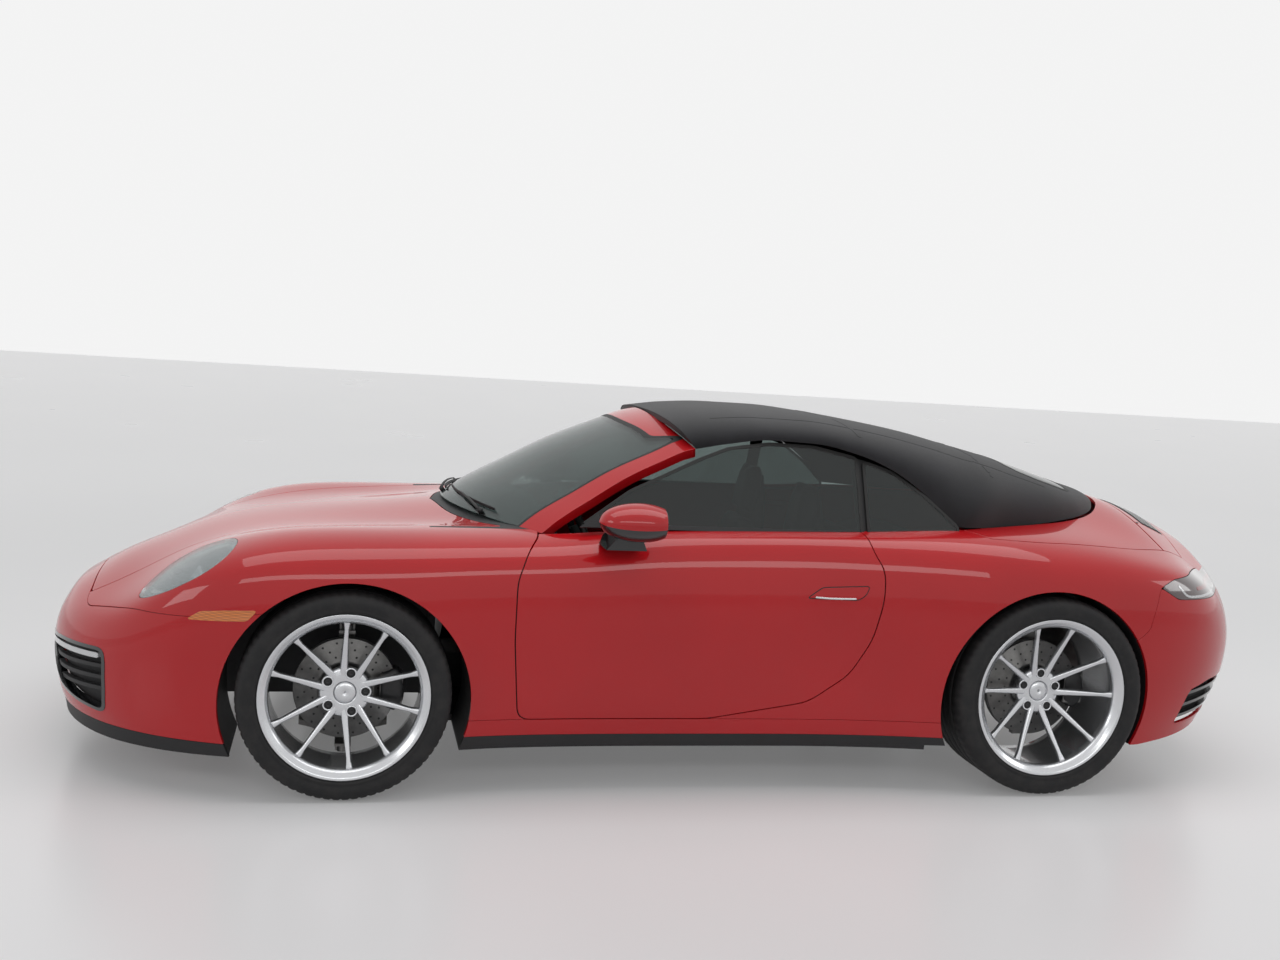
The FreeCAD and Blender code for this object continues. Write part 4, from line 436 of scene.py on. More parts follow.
def cloth_material():
    """Woven top cloth: warp and weft ridges cross at right angles, with loose fibre and soft fading."""
    base = tuple(colours().fabric)
    shader = Shader("top_cloth", specular_ior_level=0.25, sheen_weight=0.25, sheen_roughness=0.5)
    x, y, z = shader.axes(shader.place(900))
    warp = (x + z).sum("SINE", x + z)
    weft = y.sum("SINE", y)
    weave = warp * weft * 0.5 + 0.5
    cloud = shader.noise(5.0, 4.0, 0.6)
    fibre = shader.noise(700.0, 3.0, 0.7)
    tone = shader.mix(cloud.between(0.3, 0.75), shade(base, 0.8), shade(base, 1.5))
    shader.feed("Base Color", shader.mix(fibre.between(0.55, 0.8) * 0.35, tone, shade(base, 3.2)))
    shader.feed("Roughness", cloud * 0.1 + 0.82)
    return shader.bump(weave * 0.6 + fibre * 0.6, 0.5, 0.0006).material


def leather_material():
    """Leather with pebbled grain: Voronoi cells make the pebbles and noise the creases."""
    base = tuple(colours().leather)
    shader = Shader("seat_leather", specular_ior_level=0.45)
    grain = shader.add("ShaderNodeTexVoronoi", {"feature": "F1"}, Vector=shader.place(), Scale=420.0)
    crease = shader.noise(60.0, 4.0, 0.6)
    shader.feed("Base Color", shader.mix(crease.between(0.3, 0.7), shade(base, 0.7), shade(base, 1.4)))
    shader.feed("Roughness", crease * 0.2 + 0.36)
    return shader.bump(grain * 0.7 + crease * 0.5, 0.35, 0.0006).material


def glass_material(name, tint, clear):
    """Thin glass: mostly lets light through, and mirrors more the flatter it is seen."""
    shader = Shader(name, base_color=(0.92, 0.94, 0.94), roughness=0.0, metallic=1.0)
    through = shader.add("ShaderNodeBsdfTransparent", {}, Color=tint)
    fresnel = shader.add("ShaderNodeFresnel", {}, IOR=1.5)
    share = fresnel * 0.8 + (1 - clear) * 0.1
    blend = shader.add("ShaderNodeMixShader", {}, share)
    node = blend.socket.node
    shader.tree.links.new(through.socket, node.inputs[1])
    shader.tree.links.new(shader.surface.outputs[0], node.inputs[2])
    shader.tree.links.new(blend.socket, shader.out.inputs[0])
    return shader.material


def lamp_lens_material(name, colour):
    """Moulded lamp lens with fine ribs behind a smooth face."""
    shader = Shader(name, coat_weight=1.0, coat_roughness=0.03, specular_ior_level=0.6)
    _, y, z = shader.axes(shader.place(700))
    ribs = z.sum("SINE", z) * y.sum("SINE", y) * 0.5 + 0.5
    shader.feed("Base Color", shader.mix(ribs, shade(colour, 0.6), colour))
    shader.feed("Roughness", ribs * 0.1 + 0.08)
    return shader.material


FINISHES = {
    "paint": paint_material,
    "black": lambda: plastic_material("black_plastic", (0.014, 0.014, 0.015), 0.55),
    "soft_black": lambda: plastic_material("soft_black_plastic", (0.012, 0.012, 0.013), 0.62, 500.0, 0.4),
    "seal": lambda: plastic_material("rubber_seal", (0.008, 0.008, 0.008), 0.6, 300.0, 0.1),
    "gloss_black": gloss_black_material,
    "rubber": rubber_material,
    "alloy": alloy_material,
    "barrel": lambda: alloy_material("wheel_barrel", (0.34, 0.345, 0.35), 0.38),
    "chrome": chrome_material,
    "iron": lambda: iron_material("brake_iron", (0.15, 0.147, 0.143), 0.38, 0.9),
    "caliper": lambda: iron_material("caliper_black", (0.02, 0.02, 0.021), 0.4, 0.3),
    "steel": lambda: iron_material("coated_steel", (0.03, 0.03, 0.032), 0.5, 0.4),
    "exhaust": lambda: iron_material("exhaust_steel", (0.55, 0.54, 0.52), 0.3, 1.0),
    "cloth": cloth_material,
    "leather": leather_material,
    "window": lambda: glass_material("window_glass", (0.42, 0.47, 0.46), 0.9),
    "privacy": lambda: glass_material("rear_window_glass", (0.16, 0.18, 0.18), 0.8),
    "lamp_cover": lambda: glass_material("lamp_cover_glass", (0.93, 0.95, 0.96), 0.95),
    "reflector": lambda: alloy_material("lamp_reflector", (0.78, 0.79, 0.81), 0.12),
    "amber": lambda: lamp_lens_material("amber_lens", (0.75, 0.20, 0.02)),
    "red_lens": lambda: lamp_lens_material("red_lens", (0.30, 0.008, 0.010)),
    "smoke_lens": lambda: lamp_lens_material("smoked_lens", (0.045, 0.006, 0.008)),
    "white_lens": lambda: lamp_lens_material("white_lens", (0.70, 0.71, 0.73)),
}
MADE = {}


def material(name):
    """The named finish, made the first time it is asked for."""
    if name not in MADE:
        MADE[name] = FINISHES[name]()
    return MADE[name]


# Skin of the body, as curves of shares from nose to tail

HALF_WIDTH_SHARES = [
    (0, 0.84), (0.06, 0.915), (0.12, 0.962), (0.18, 0.985), (0.223, 0.988), (0.28, 0.975), (0.35, 0.952),
    (0.45, 0.943), (0.55, 0.945), (0.63, 0.962), (0.70, 0.99), (0.765, 1.0), (0.84, 0.985), (0.91, 0.945),
    (0.96, 0.90), (1, 0.86),
]
BOTTOM_SHARES = [
    (0, 0.125), (0.06, 0.118), (0.145, 0.115), (0.25, 0.125), (0.35, 0.128), (0.6, 0.128), (0.68, 0.135),
    (0.85, 0.125), (0.92, 0.150), (1, 0.175),
]
CREST_HEIGHT_SHARES = [
    (0, 0.36), (0.045, 0.395), (0.072, 0.458), (0.085, 0.497), (0.0975, 0.538), (0.118, 0.592), (0.145, 0.631),
    (0.19, 0.656), (0.24, 0.663), (0.30, 0.665), (0.37, 0.665), (0.45, 0.683), (0.55, 0.692), (0.62, 0.698),
    (0.70, 0.708), (0.78, 0.70), (0.86, 0.667), (0.90, 0.623), (0.93, 0.545), (0.96, 0.46), (1, 0.40),
]
CREST_WIDTH_SHARES = [
    (0, 0.62), (0.08, 0.68), (0.14, 0.70), (0.20, 0.71), (0.28, 0.72), (0.36, 0.765), (0.44, 0.83), (0.55, 0.85),
    (0.65, 0.84), (0.75, 0.80), (0.85, 0.76), (0.93, 0.74), (1, 0.66),
]
CENTRE_HEIGHT_SHARES = [
    (0, 0.395), (0.010, 0.418), (0.03, 0.462), (0.0465, 0.497), (0.0785, 0.545), (0.109, 0.590), (0.155, 0.622),
    (0.20, 0.643), (0.25, 0.660), (0.30, 0.680), (0.35, 0.695), (0.5, 0.70), (0.62, 0.71), (0.70, 0.735),
    (0.78, 0.762), (0.84, 0.78), (0.875, 0.784), (0.90, 0.766), (0.93, 0.732), (0.955, 0.696), (0.975, 0.66),
    (0.99, 0.60), (1, 0.53),
]
VALLEY_SHARES = [(0, 0), (0.08, 0.004), (0.15, 0.012), (0.25, 0.018), (0.33, 0.01), (0.4, 0), (0.7, 0),
                 (0.85, 0.01), (0.95, 0.005), (1, 0)]
SIDE_ROW_SHARES = [
    (0.0, 0.076, 0.026, 0.065), (0.14, 0.043, 0.009, 0.026), (0.36, 0.024, 0.0, 0.007), (0.60, 0.0, 0.0, 0.005),
    (0.80, 0.011, 0.013, 0.028), (0.925, 0.041, 0.065, 0.076),
]
TOP_ROW_SHARES = (0.72, 0.45, 0.2, 0.0)
NOSE_SET_SHARES = np.array([0.012, 0.010, 0.005, 0.002, 0.0, 0.002, 0.008, 0.014, 0.019, 0.023, 0.025, 0.026])
TAIL_SET_SHARES = np.array([0.034, 0.030, 0.014, 0.003, 0.0, 0.005, 0.015, 0.025, 0.032, 0.036, 0.0375, 0.038])
WHEEL_BULGE_SHARES = ((0.223, 0.085), (0.765, 0.10))
END_ZONE_SHARES = (0.13, 0.12)
NOSE_ROUND_SHARE = 0.16
TAIL_ROUND_SHARE = 0.15
BEND_SHARE = 0.2
ROUND_POWER_ALONG = 2.3
ROUND_POWER_ACROSS = 2.6
UNDERSIDE_DEPTH = 0.060
STATIONS = 41
ROWS = 12
CREST_ROW = 7
ALONG_STEPS = 8
UP_STEPS = 12


def harmonic(before, after):
    """Slope at a point between two runs: their harmonic mean, or flat where they point opposite ways."""
    product = before * after
    total = before + after
    safe = np.where(np.abs(total) < 1e-12, 1.0, total)
    return np.where(product > 0, 2 * product / safe, 0.0)


def curve(table, share):
    """Smooth value of a table at an array of shares, with no overshoot between its points."""
    table = np.asarray(table, dtype=float)
    share = np.clip(share, table[0, 0], table[-1, 0])
    runs = np.diff(table[:, 0])
    slopes = np.diff(table[:, 1]) / runs
    a, b = slopes[:-1], slopes[1:]
    before, after = 2 * runs[1:] + runs[:-1], runs[1:] + 2 * runs[:-1]
    product = a * b
    bottom = np.where(product > 0, before / np.where(a == 0, 1, a) + after / np.where(b == 0, 1, b), 1.0)
    inner = np.where(product > 0, (before + after) / bottom, 0.0)
    tangent = np.concatenate([[slopes[0]], inner, [slopes[-1]]])
    i = np.clip(np.searchsorted(table[:, 0], share, side="right") - 1, 0, len(runs) - 1)
    t = (share - table[i, 0]) / runs[i]
    return ((2 * t**3 - 3 * t**2 + 1) * table[i, 1] + (t**3 - 2 * t**2 + t) * runs[i] * tangent[i]
            + (3 * t**2 - 2 * t**3) * table[i + 1, 1] + (t**3 - t**2) * runs[i] * tangent[i + 1])


def fine(points, before, after, steps):
    """Hermite curve through the points along the first axis, given the points past both ends."""
    padded = np.concatenate([before[None], points, after[None]])
    run = np.diff(padded, axis=0)
    slope = harmonic(run[:-1], run[1:])
    t = (np.arange(steps) / steps).reshape(1, steps, *([1] * (points.ndim - 1)))
    start, end = points[:-1, None], points[1:, None]
    leave, arrive = slope[:-1, None], slope[1:, None]
    filled = ((2 * t**3 - 3 * t**2 + 1) * start + (t**3 - 2 * t**2 + t) * leave
              + (3 * t**2 - 2 * t**3) * end + (t**3 - t**2) * arrive)
    return np.concatenate([filled.reshape(-1, *points.shape[1:]), points[-1:]])


def skin_frame():
    """Points of the skin on the driver's side at every station and row, as the solids have them.

    Each row keeps its share of the height and of the width, and both ends round off as superellipses."""
    u = np.linspace(0, 1, STATIONS)[:, None]
    nose = NOSE_SET_SHARES[None]
    tail = 1 - TAIL_SET_SHARES[None]
    front_angle = np.clip(u / BEND_SHARE, 0, 1) * np.pi / 2
    rear_angle = np.clip((1 - u) / BEND_SHARE, 0, 1) * np.pi / 2
    middle = NOSE_ROUND_SHARE + (u - BEND_SHARE) / (1 - 2 * BEND_SHARE) * (1 - NOSE_ROUND_SHARE - TAIL_ROUND_SHARE)
    front = NOSE_ROUND_SHARE - (NOSE_ROUND_SHARE - nose) * np.abs(np.cos(front_angle)) ** (2 / ROUND_POWER_ALONG)
    start = 1 - TAIL_ROUND_SHARE
    rear = start + (tail - start) * np.abs(np.cos(rear_angle)) ** (2 / ROUND_POWER_ALONG)
    share = np.where(u < BEND_SHARE, front, np.where(u > 1 - BEND_SHARE, rear, middle))
    spread = np.sin(np.where(u < BEND_SHARE, front_angle, rear_angle)) ** (2 / ROUND_POWER_ACROSS)
    side = curve(HALF_WIDTH_SHARES, share) * HALF_WIDTH
    low = curve(BOTTOM_SHARES, share) * CAR_HEIGHT
    crest_y = curve(CREST_WIDTH_SHARES, share) * HALF_WIDTH
    centre = curve(CENTRE_HEIGHT_SHARES, share) * CAR_HEIGHT
    crest_z = centre + (curve(CREST_HEIGHT_SHARES, share) * CAR_HEIGHT - centre) * spread**2
    near_wheel = np.minimum(1, sum(np.exp(-(((share - at) / wide) ** 2)) for at, wide in WHEEL_BULGE_SHARES))
    end = np.maximum(0, np.maximum(1 - share / END_ZONE_SHARES[0], (share - 1 + END_ZONE_SHARES[1])
                                   / END_ZONE_SHARES[1]))
    y = np.zeros((STATIONS, ROWS))
    z = np.zeros((STATIONS, ROWS))
    for j, (rise, door, wheel, tip) in enumerate(SIDE_ROW_SHARES, start=1):
        tuck = (door * (1 - near_wheel) + wheel * near_wheel) * (1 - end) + tip * end
        y[:, j] = (side - tuck * HALF_WIDTH)[:, j]
        z[:, j] = (low + rise * (crest_z - low))[:, j]
    door, wheel, tip = 1.5 * np.array(SIDE_ROW_SHARES[0][1:]) - 0.5 * np.array(SIDE_ROW_SHARES[1][1:])
    tuck = (door * (1 - near_wheel) + wheel * near_wheel) * (1 - end) + tip * end
    y[:, 0] = (side - tuck * HALF_WIDTH)[:, 0]
    z[:, 0] = -UNDERSIDE_DEPTH
    y[:, CREST_ROW] = crest_y[:, CREST_ROW]
    z[:, CREST_ROW] = crest_z[:, CREST_ROW]
    valley = curve(VALLEY_SHARES, share) * CAR_HEIGHT * spread**2
    for j, out in enumerate(TOP_ROW_SHARES, start=CREST_ROW + 1):
        hollow = valley * 4 * out**2 * (1 - out**2)
        y[:, j] = (crest_y * out)[:, j]
        z[:, j] = (centre + (crest_z - centre) * out**2 - hollow)[:, j]
    y *= spread
    y[0] = y[-1] = 0
    return np.stack([NOSE_X + share * CAR_LENGTH, -y, z], -1)


ACROSS = np.array([1.0, -1.0, 1.0])


def soften(grid, spread_along, spread_up):
    """Gaussian mean of neighbouring points, with the car's mirror image past the middle and both ends."""
    pad = 3 * max(spread_along, spread_up)
    low = 2 * grid[:, :1] - grid[:, 1:pad + 1][:, ::-1]
    grid = np.concatenate([low, grid, grid[:, -pad - 1:-1][:, ::-1] * ACROSS], axis=1)
    grid = np.concatenate([grid[1:pad + 1][::-1] * ACROSS, grid, grid[-pad - 1:-1][::-1] * ACROSS])
    for axis, spread in ((0, spread_along), (1, spread_up)):
        reach = np.arange(-3 * spread, 3 * spread + 1)
        weights = np.exp(-0.5 * (reach / spread) ** 2)
        weights /= weights.sum()
        rolled = [np.roll(grid, shift, axis) * weight for shift, weight in zip(reach, weights)]
        grid = sum(rolled)
    return grid[pad:-pad, pad:-pad]


class Skin:
    """The driver's half of the skin as a fine grid of points and normals, and the way back from flat views."""

    def __init__(self):
        points = skin_frame()
        upward = points.swapaxes(0, 1)
        upward = fine(upward, 2 * upward[0] - upward[1], upward[-2] * ACROSS, UP_STEPS)
        outward = upward.swapaxes(0, 1)
        grid = fine(outward, outward[1] * ACROSS, outward[-2] * ACROSS, ALONG_STEPS)
        self.points = soften(grid, 4, 5)
        self.points[:, -1, 1] = 0
        self.points[0, :, 1] = 0
        self.points[-1, :, 1] = 0
        self.count = np.array(self.points.shape[:2])
        self.along = np.gradient(self.points, axis=0)
        self.up = np.gradient(self.points, axis=1)
        normal = np.cross(self.along, self.up)
        normal /= np.maximum(np.linalg.norm(normal, axis=-1, keepdims=True), 1e-12)
        normal[:, -1, 1] = 0
        normal[0, :, 1] = 0
        normal[-1, :, 1] = 0
        normal = soften(normal, 2, 2)
        self.normals = normal / np.maximum(np.linalg.norm(normal, axis=-1, keepdims=True), 1e-12)

    def sample(self, grid, spots):
        """Bilinear value of a grid at an array of (along, up) places counted in grid steps."""
        spots = np.clip(spots, 0, self.count - 1.000001)
        cell = spots.astype(int)
        part = spots - cell
        i, j = cell[..., 0], cell[..., 1]
        a, b = part[..., :1], part[..., 1:]
        return ((grid[i, j] * (1 - a) + grid[i + 1, j] * a) * (1 - b)
                + (grid[i, j + 1] * (1 - a) + grid[i + 1, j + 1] * a) * b)

    def at(self, spots):
        return self.sample(self.points, spots)

    def normal(self, spots):
        value = self.sample(self.normals, spots)
        return value / np.linalg.norm(value, axis=-1, keepdims=True)


# Outlines of the panels

DOOR_SIDE_SHARES = [
    (0.3612, 0.720), (0.3612, 0.664), (0.3497, 0.632), (0.344, 0.584), (0.341, 0.552), (0.341, 0.41),
    (0.3468, 0.2), (0.49, 0.2), (0.568, 0.249), (0.598, 0.327), (0.613, 0.424), (0.620, 0.534), (0.620, 0.61),
    (0.6115, 0.655), (0.6085, 0.720),
]
BUMPER_SIDE_SHARES = [
    (-0.05, -0.3), (-0.05, 0.60), (0.0345, 0.60), (0.0345, 0.413), (0.077, 0.449), (0.115, 0.452),
    (0.165, 0.468), (0.20, 0.468), (0.20, -0.3),
]
SILL_SIDE_SHARES = [(0.24, 0.198), (0.66, 0.198), (0.70, 0.198), (0.70, -0.3), (0.24, -0.3)]
LIP_SIDE_SHARES = [(-0.05, -0.3), (-0.05, 0.152), (0.08, 0.142), (0.16, 0.135), (0.20, 0.135), (0.20, -0.3)]
BODY_SIDE_SHARES = [
    (-0.05, 0.115), (0.06, 0.105), (0.145, 0.105), (0.25, 0.125), (0.35, 0.128), (0.6, 0.128), (0.70, 0.135),
    (0.85, 0.135), (0.93, 0.165), (1.05, 0.19), (1.05, 1.1), (-0.05, 1.1),
]
FENDER_SIDE_SHARES = [(0.03, 0.1), (0.03, 1.0), (0.3735, 1.0), (0.3735, 0.1)]
QUARTER_SIDE_SHARES = [
    (0.48, 0.198), (0.48, 1.0), (1.05, 1.0), (1.05, 0.585), (0.95, 0.596), (0.905, 0.612), (0.870, 0.606),
    (0.8545, 0.5855), (0.845, 0.47), (0.835, 0.44), (0.78, 0.44), (0.78, 0.198),
]
CABIN_PLAN_SHARES = [
    (0.3735, -0.1), (0.3735, 0.76), (0.45, 0.765), (0.55, 0.77), (0.62, 0.77), (0.665, 0.75), (0.693, 0.70),
    (0.715, 0.55), (0.715, -0.1),
]
COWL_PLAN_SHARES = [(0.28, -0.1), (0.28, 0.67), (0.34, 0.70), (0.373, 0.72), (0.373, -0.1)]
LID_SIDE_LINE_SHARES = [(0.036, 0.42), (0.09, 0.45), (0.19, 0.56), (0.26, 0.62), (0.335, 0.66)]
LID_REAR_LINE_SHARES = [(0.335, 0.66), (0.318, 0.55), (0.298, 0.32), (0.287, 0.0)]
LID_FRONT_LINE_SHARES = [(0.0335, 0.0), (0.034, 0.22), (0.036, 0.42)]
LAMP_PLAN_SHARES = [
    (0.0765, 0.735), (0.085, 0.800), (0.103, 0.868), (0.125, 0.900), (0.1395, 0.865), (0.1455, 0.760),
    (0.140, 0.650), (0.120, 0.600), (0.098, 0.610), (0.083, 0.665),
]
LAMP_FLOOR_SHARE = 0.42
TAIL_LAMP_SIDE_SHARES = [
    (0.8545, 0.5855), (0.873, 0.552), (0.905, 0.548), (0.95, 0.543), (1.05, 0.538), (1.05, 0.585),
    (0.95, 0.596), (0.905, 0.612), (0.870, 0.606),
]
REAR_BUMPER_SIDE_SHARES = [
    (0.8545, 0.5855), (0.845, 0.47), (0.835, 0.44), (0.78, 0.44), (0.78, -0.3), (1.05, -0.3), (1.05, 0.538),
    (0.95, 0.543), (0.905, 0.548), (0.873, 0.552),
]
DECK_LINE_SHARES = [(0.715, 0.845), (0.77, 0.835), (0.85, 0.76), (0.925, 0.563)]
DECK_FRONT_SHARES = [(0.665, 0.60), (0.715, 0.845)]
DECK_REAR_SHARES = [(0.925, 0.563), (0.937, 0.32), (0.941, 0.0)]
ENGINE_LID_FRONT_SHARES = [(0.8935, 0.86), (0.895, 0.735), (0.898, 0.50), (0.900, 0.25), (0.9005, 0.0)]
SPOILER_PLAN_SHARES = [(0.90, -0.1), (0.90, 0.563), (1.05, 0.563), (1.05, -0.1)]
SPOILER_FLOOR_SHARE = 0.591
FABRIC_BASE_SHARES = [
    (0.693, 0.775), (0.755, 0.665), (0.81, 0.55), (0.85, 0.425), (0.875, 0.27), (0.885, 0.13), (0.8875, 0.0),
]
FRONT_ARCH = (FRONT_AXLE + 0.005, 0.313, 0.397)
REAR_ARCH = (REAR_AXLE - 0.0115, 0.341, 0.400)
DOOR_INNER_PLANE = 0.712
OUTLINE_STEP = 0.008


def side_places(table):
    return np.array([(NOSE_X + x * CAR_LENGTH, z * CAR_HEIGHT) for x, z in table])


def plan_places(table):
    return np.array([(NOSE_X + x * CAR_LENGTH, -y * HALF_WIDTH) for x, y in table])


def through(places, step=OUTLINE_STEP):
    """Catmull-Rom curve through the places, cut into even steps."""
    places = np.asarray(places, dtype=float)
    padded = np.concatenate([2 * places[:1] - places[1:2], places, 2 * places[-1:] - places[-2:-1]])
    a, b, c, d = padded[:-3, None], padded[1:-2, None], padded[2:-1, None], padded[3:, None]
    t = np.linspace(0, 1, 24, endpoint=False)[None, :, None]
    line = b + 0.5 * t * (c - a + t * (2 * a - 5 * b + 4 * c - d + t * (3 * (b - c) + d - a)))
    return evenly(np.concatenate([line.reshape(-1, places.shape[1]), places[-1:]]), step)


def evenly(line, step=OUTLINE_STEP):
    """The same line with points an even distance apart."""
    run = np.concatenate([[0], np.cumsum(np.linalg.norm(np.diff(line, axis=0), axis=1))])
    count = max(2, int(math.ceil(run[-1] / step)) + 1)
    even = np.linspace(0, run[-1], count)
    return np.stack([np.interp(even, run, line[:, k]) for k in range(line.shape[1])], -1)


def rounded(places, radius=0.0, step=OUTLINE_STEP):
    """Closed outline whose corners are rounded: each becomes a parabola between points a radius before and after."""
    places = np.asarray(places, dtype=float)
    before, after = np.roll(places, 1, 0), np.roll(places, -1, 0)
    back = np.linalg.norm(before - places, axis=1, keepdims=True)
    ahead = np.linalg.norm(after - places, axis=1, keepdims=True)
    start = places + (before - places) * np.minimum(radius / back, 0.48)
    end = places + (after - places) * np.minimum(radius / ahead, 0.48)
    t = np.linspace(0, 1, 9)[None, :, None]
    bend = start[:, None] * (1 - t) ** 2 + 2 * places[:, None] * t * (1 - t) + end[:, None] * t**2
    line = bend.reshape(-1, 2)
    keep = np.linalg.norm(line - np.roll(line, 1, 0), axis=1) > 1e-7
    line = line[keep]
    return evenly(np.concatenate([line, line[:1]]), step)[:-1]


def circle(x, z, radius):
    turn = np.arange(0, 2 * np.pi, OUTLINE_STEP / radius)
    return np.stack([x + radius * np.cos(turn), z + radius * np.sin(turn)], -1)


def over_middle(line, last_x, first_x):
    """Closes a line of the plan view beyond the centre line."""
    return np.concatenate([line, [(last_x, 0.06), (first_x, 0.06)]])


def inside(outline, flat):
    """True for the points of a flat view that an outline holds, counted by the sides crossed."""
    a, b = outline, np.roll(outline, -1, 0)
    result = np.zeros(len(flat), dtype=bool)
    low, high = outline.min(0), outline.max(0)
    near = np.flatnonzero(((flat >= low) & (flat <= high)).all(1))
    for first in range(0, len(near), 4000):
        some = near[first:first + 4000]
        x, y = flat[some, :1], flat[some, 1:]
        level = (a[:, 1] > y) != (b[:, 1] > y)
        rise = np.where(b[:, 1] == a[:, 1], 1.0, b[:, 1] - a[:, 1])
        cross = x < (b[:, 0] - a[:, 0]) * (y - a[:, 1]) / rise + a[:, 0]
        result[some] = ((level & cross).sum(1) % 2).astype(bool)
    return result

# Cutting the skin into panels

NEAR_OUTLINE = 0.03
SNAP = 0.0003
EDGE_ROUND = 0.0012
VIEW_AXES = {"side": [0, 2], "plan": [0, 1], "front": [1, 2]}
SKIN_GRID = (311, 73)
BEYOND = 0.06
JOIN = 0.0012
INTAKE_END = -1.90
STRIP_TOP = 0.200
INTAKE_FRONT = [(-0.200, 0.372), (-0.222, 0.402), (-0.45, 0.425), (-0.690, 0.442), (-0.702, 0.40),
                (-0.690, 0.30), (-0.672, 0.226), (-0.55, 0.234), (-0.406, 0.250), (-0.29, 0.305)]
VENT_SIDE = [(1.800, 0.372), (1.915, 0.398), (2.20, 0.402), (2.40, 0.402), (2.40, 0.262), (2.02, 0.262),
             (1.86, 0.248), (1.742, 0.240)]
CUT_LEVELS = {"door": "door_gap", "lid": "lid_gap", "deck": "lid_gap", "engine_zone": "deck_gap"}
JOINED = ("bumper", "sill", "rear_bumper", "tail_lamp", "lamp", "cowl", "spoiler", "lip")


def flat_distance(outline, flat):
    """Distance of each point of a flat view to an outline, counted as negative inside it.

    Only points within the outline's box and a small margin are measured, because the rest lie outside it."""
    a, b = outline, np.roll(outline, -1, 0)
    low, high = outline.min(0) - NEAR_OUTLINE, outline.max(0) + NEAR_OUTLINE
    result = np.full(len(flat), NEAR_OUTLINE)
    near = np.flatnonzero(((flat >= low) & (flat <= high)).all(1))
    run = b - a
    length = np.maximum((run**2).sum(1), 1e-12)
    for first in range(0, len(near), 3000):
        some = near[first:first + 3000]
        away = flat[some, None] - a
        share = np.clip((away * run).sum(-1) / length, 0, 1)
        result[some] = np.sqrt(((away - share[..., None] * run) ** 2).sum(-1).min(1))
    held = inside(outline, flat)
    return np.where(held, -result, result)


class Sheet:
    """Triangles over the skin, which are cut along the zero line of one distance after another.

    A new point stands where the distance is 0 along an edge, and it is found on the fine skin itself."""

    def __init__(self, skin, columns, rows, window=None):
        self.skin = skin
        u0, u1, v0, v1 = window or (0, skin.count[0] - 1, 0, skin.count[1] - 1)
        u, v = np.meshgrid(np.linspace(u0, u1, columns), np.linspace(v0, v1, rows), indexing="ij")
        self.spots = np.stack([u, v], -1).reshape(-1, 2)
        quads = grid_faces(columns, rows)
        self.triangles = np.concatenate([quads[:, [0, 1, 2]], quads[:, [0, 2, 3]]])
        self.points = skin.at(self.spots)
        self.values = {}

    def measure(self, name, rule):
        """Cuts along the zero line of a distance and keeps its value at every point."""
        value = rule(self.points)
        self.values[name] = value
        self.cut(name, rule, 0.0)

    def cut(self, name, rule, level):
        value = self.values[name] - level
        value = np.where(np.abs(value) < SNAP, 0.0, value)
        sign = np.sign(value)
        corner = sign[self.triangles]
        mixed = (corner.min(1) < 0) & (corner.max(1) > 0)
        whole, split = self.triangles[~mixed], self.triangles[mixed]
        if not len(split):
            return
        corner = sign[split]
        on_line = (corner == 0).any(1)
        lone = np.where(corner.sum(1) > 0, -1, 1)
        first = np.where(on_line, (corner == 0).argmax(1), (corner == lone[:, None]).argmax(1))
        turned = split[np.arange(len(split))[:, None], (first[:, None] + np.arange(3)) % 3]
        a, b, c = turned.T
        ends = np.concatenate([np.stack([b, c], 1)[on_line], np.stack([a, b], 1)[~on_line],
                               np.stack([a, c], 1)[~on_line]])
        ends.sort(axis=1)
        edges, where = np.unique(ends, axis=0, return_inverse=True)
        where = where.reshape(-1) + len(self.spots)
        low, high = self.spots[edges[:, 0]], self.spots[edges[:, 1]]
        at_low, at_high = value[edges[:, 0]], value[edges[:, 1]]
        share = at_low / (at_low - at_high)
        for _ in range(3):
            middle = low + (high - low) * share[:, None]
            here = rule(self.skin.at(middle)) - level
            same = np.sign(here) == np.sign(at_low)
            low = np.where(same[:, None], middle, low)
            high = np.where(same[:, None], high, middle)
            at_low = np.where(same, here, at_low)
            at_high = np.where(same, at_high, here)
            apart = at_low - at_high
            share = np.where(np.abs(apart) < 1e-12, 0.5, at_low / np.where(np.abs(apart) < 1e-12, 1, apart))
            share = np.clip(share, 0.02, 0.98)
        spots = low + (high - low) * share[:, None]
        whole_run = self.spots[edges[:, 1]] - self.spots[edges[:, 0]]
        part = ((spots - self.spots[edges[:, 0]]) * whole_run).sum(1) / (whole_run**2).sum(1)
        for key, known in self.values.items():
            fresh = known[edges[:, 0]] * (1 - part) + known[edges[:, 1]] * part
            if key == name:
                fresh[:] = level
            self.values[key] = np.concatenate([known, fresh])
        self.spots = np.concatenate([self.spots, spots])
        self.points = np.concatenate([self.points, self.skin.at(spots)])
        count = int(on_line.sum())
        far = where[:count]
        ab = where[count:count + int((~on_line).sum())]
        ac = where[count + int((~on_line).sum()):]
        pieces = [whole, np.stack([a[on_line], b[on_line], far], 1), np.stack([a[on_line], far, c[on_line]], 1),
                  np.stack([a[~on_line], ab, ac], 1), np.stack([ab, b[~on_line], c[~on_line]], 1),
                  np.stack([ab, c[~on_line], ac], 1)]
        self.triangles = np.concatenate(pieces)

    def within(self, name, level=0.0):
        """True for the triangles inside a distance's line, or inside that line moved out by a level."""
        return self.values[name][self.triangles].mean(1) < level

    def centres(self):
        return self.points[self.triangles].mean(1)

    def take(self, mask):
        """Points, normals and triangles of the chosen ones alone."""
        used, faces = np.unique(self.triangles[mask], return_inverse=True)
        return self.points[used], self.skin.normal(self.spots[used]), faces.reshape(-1, 3)


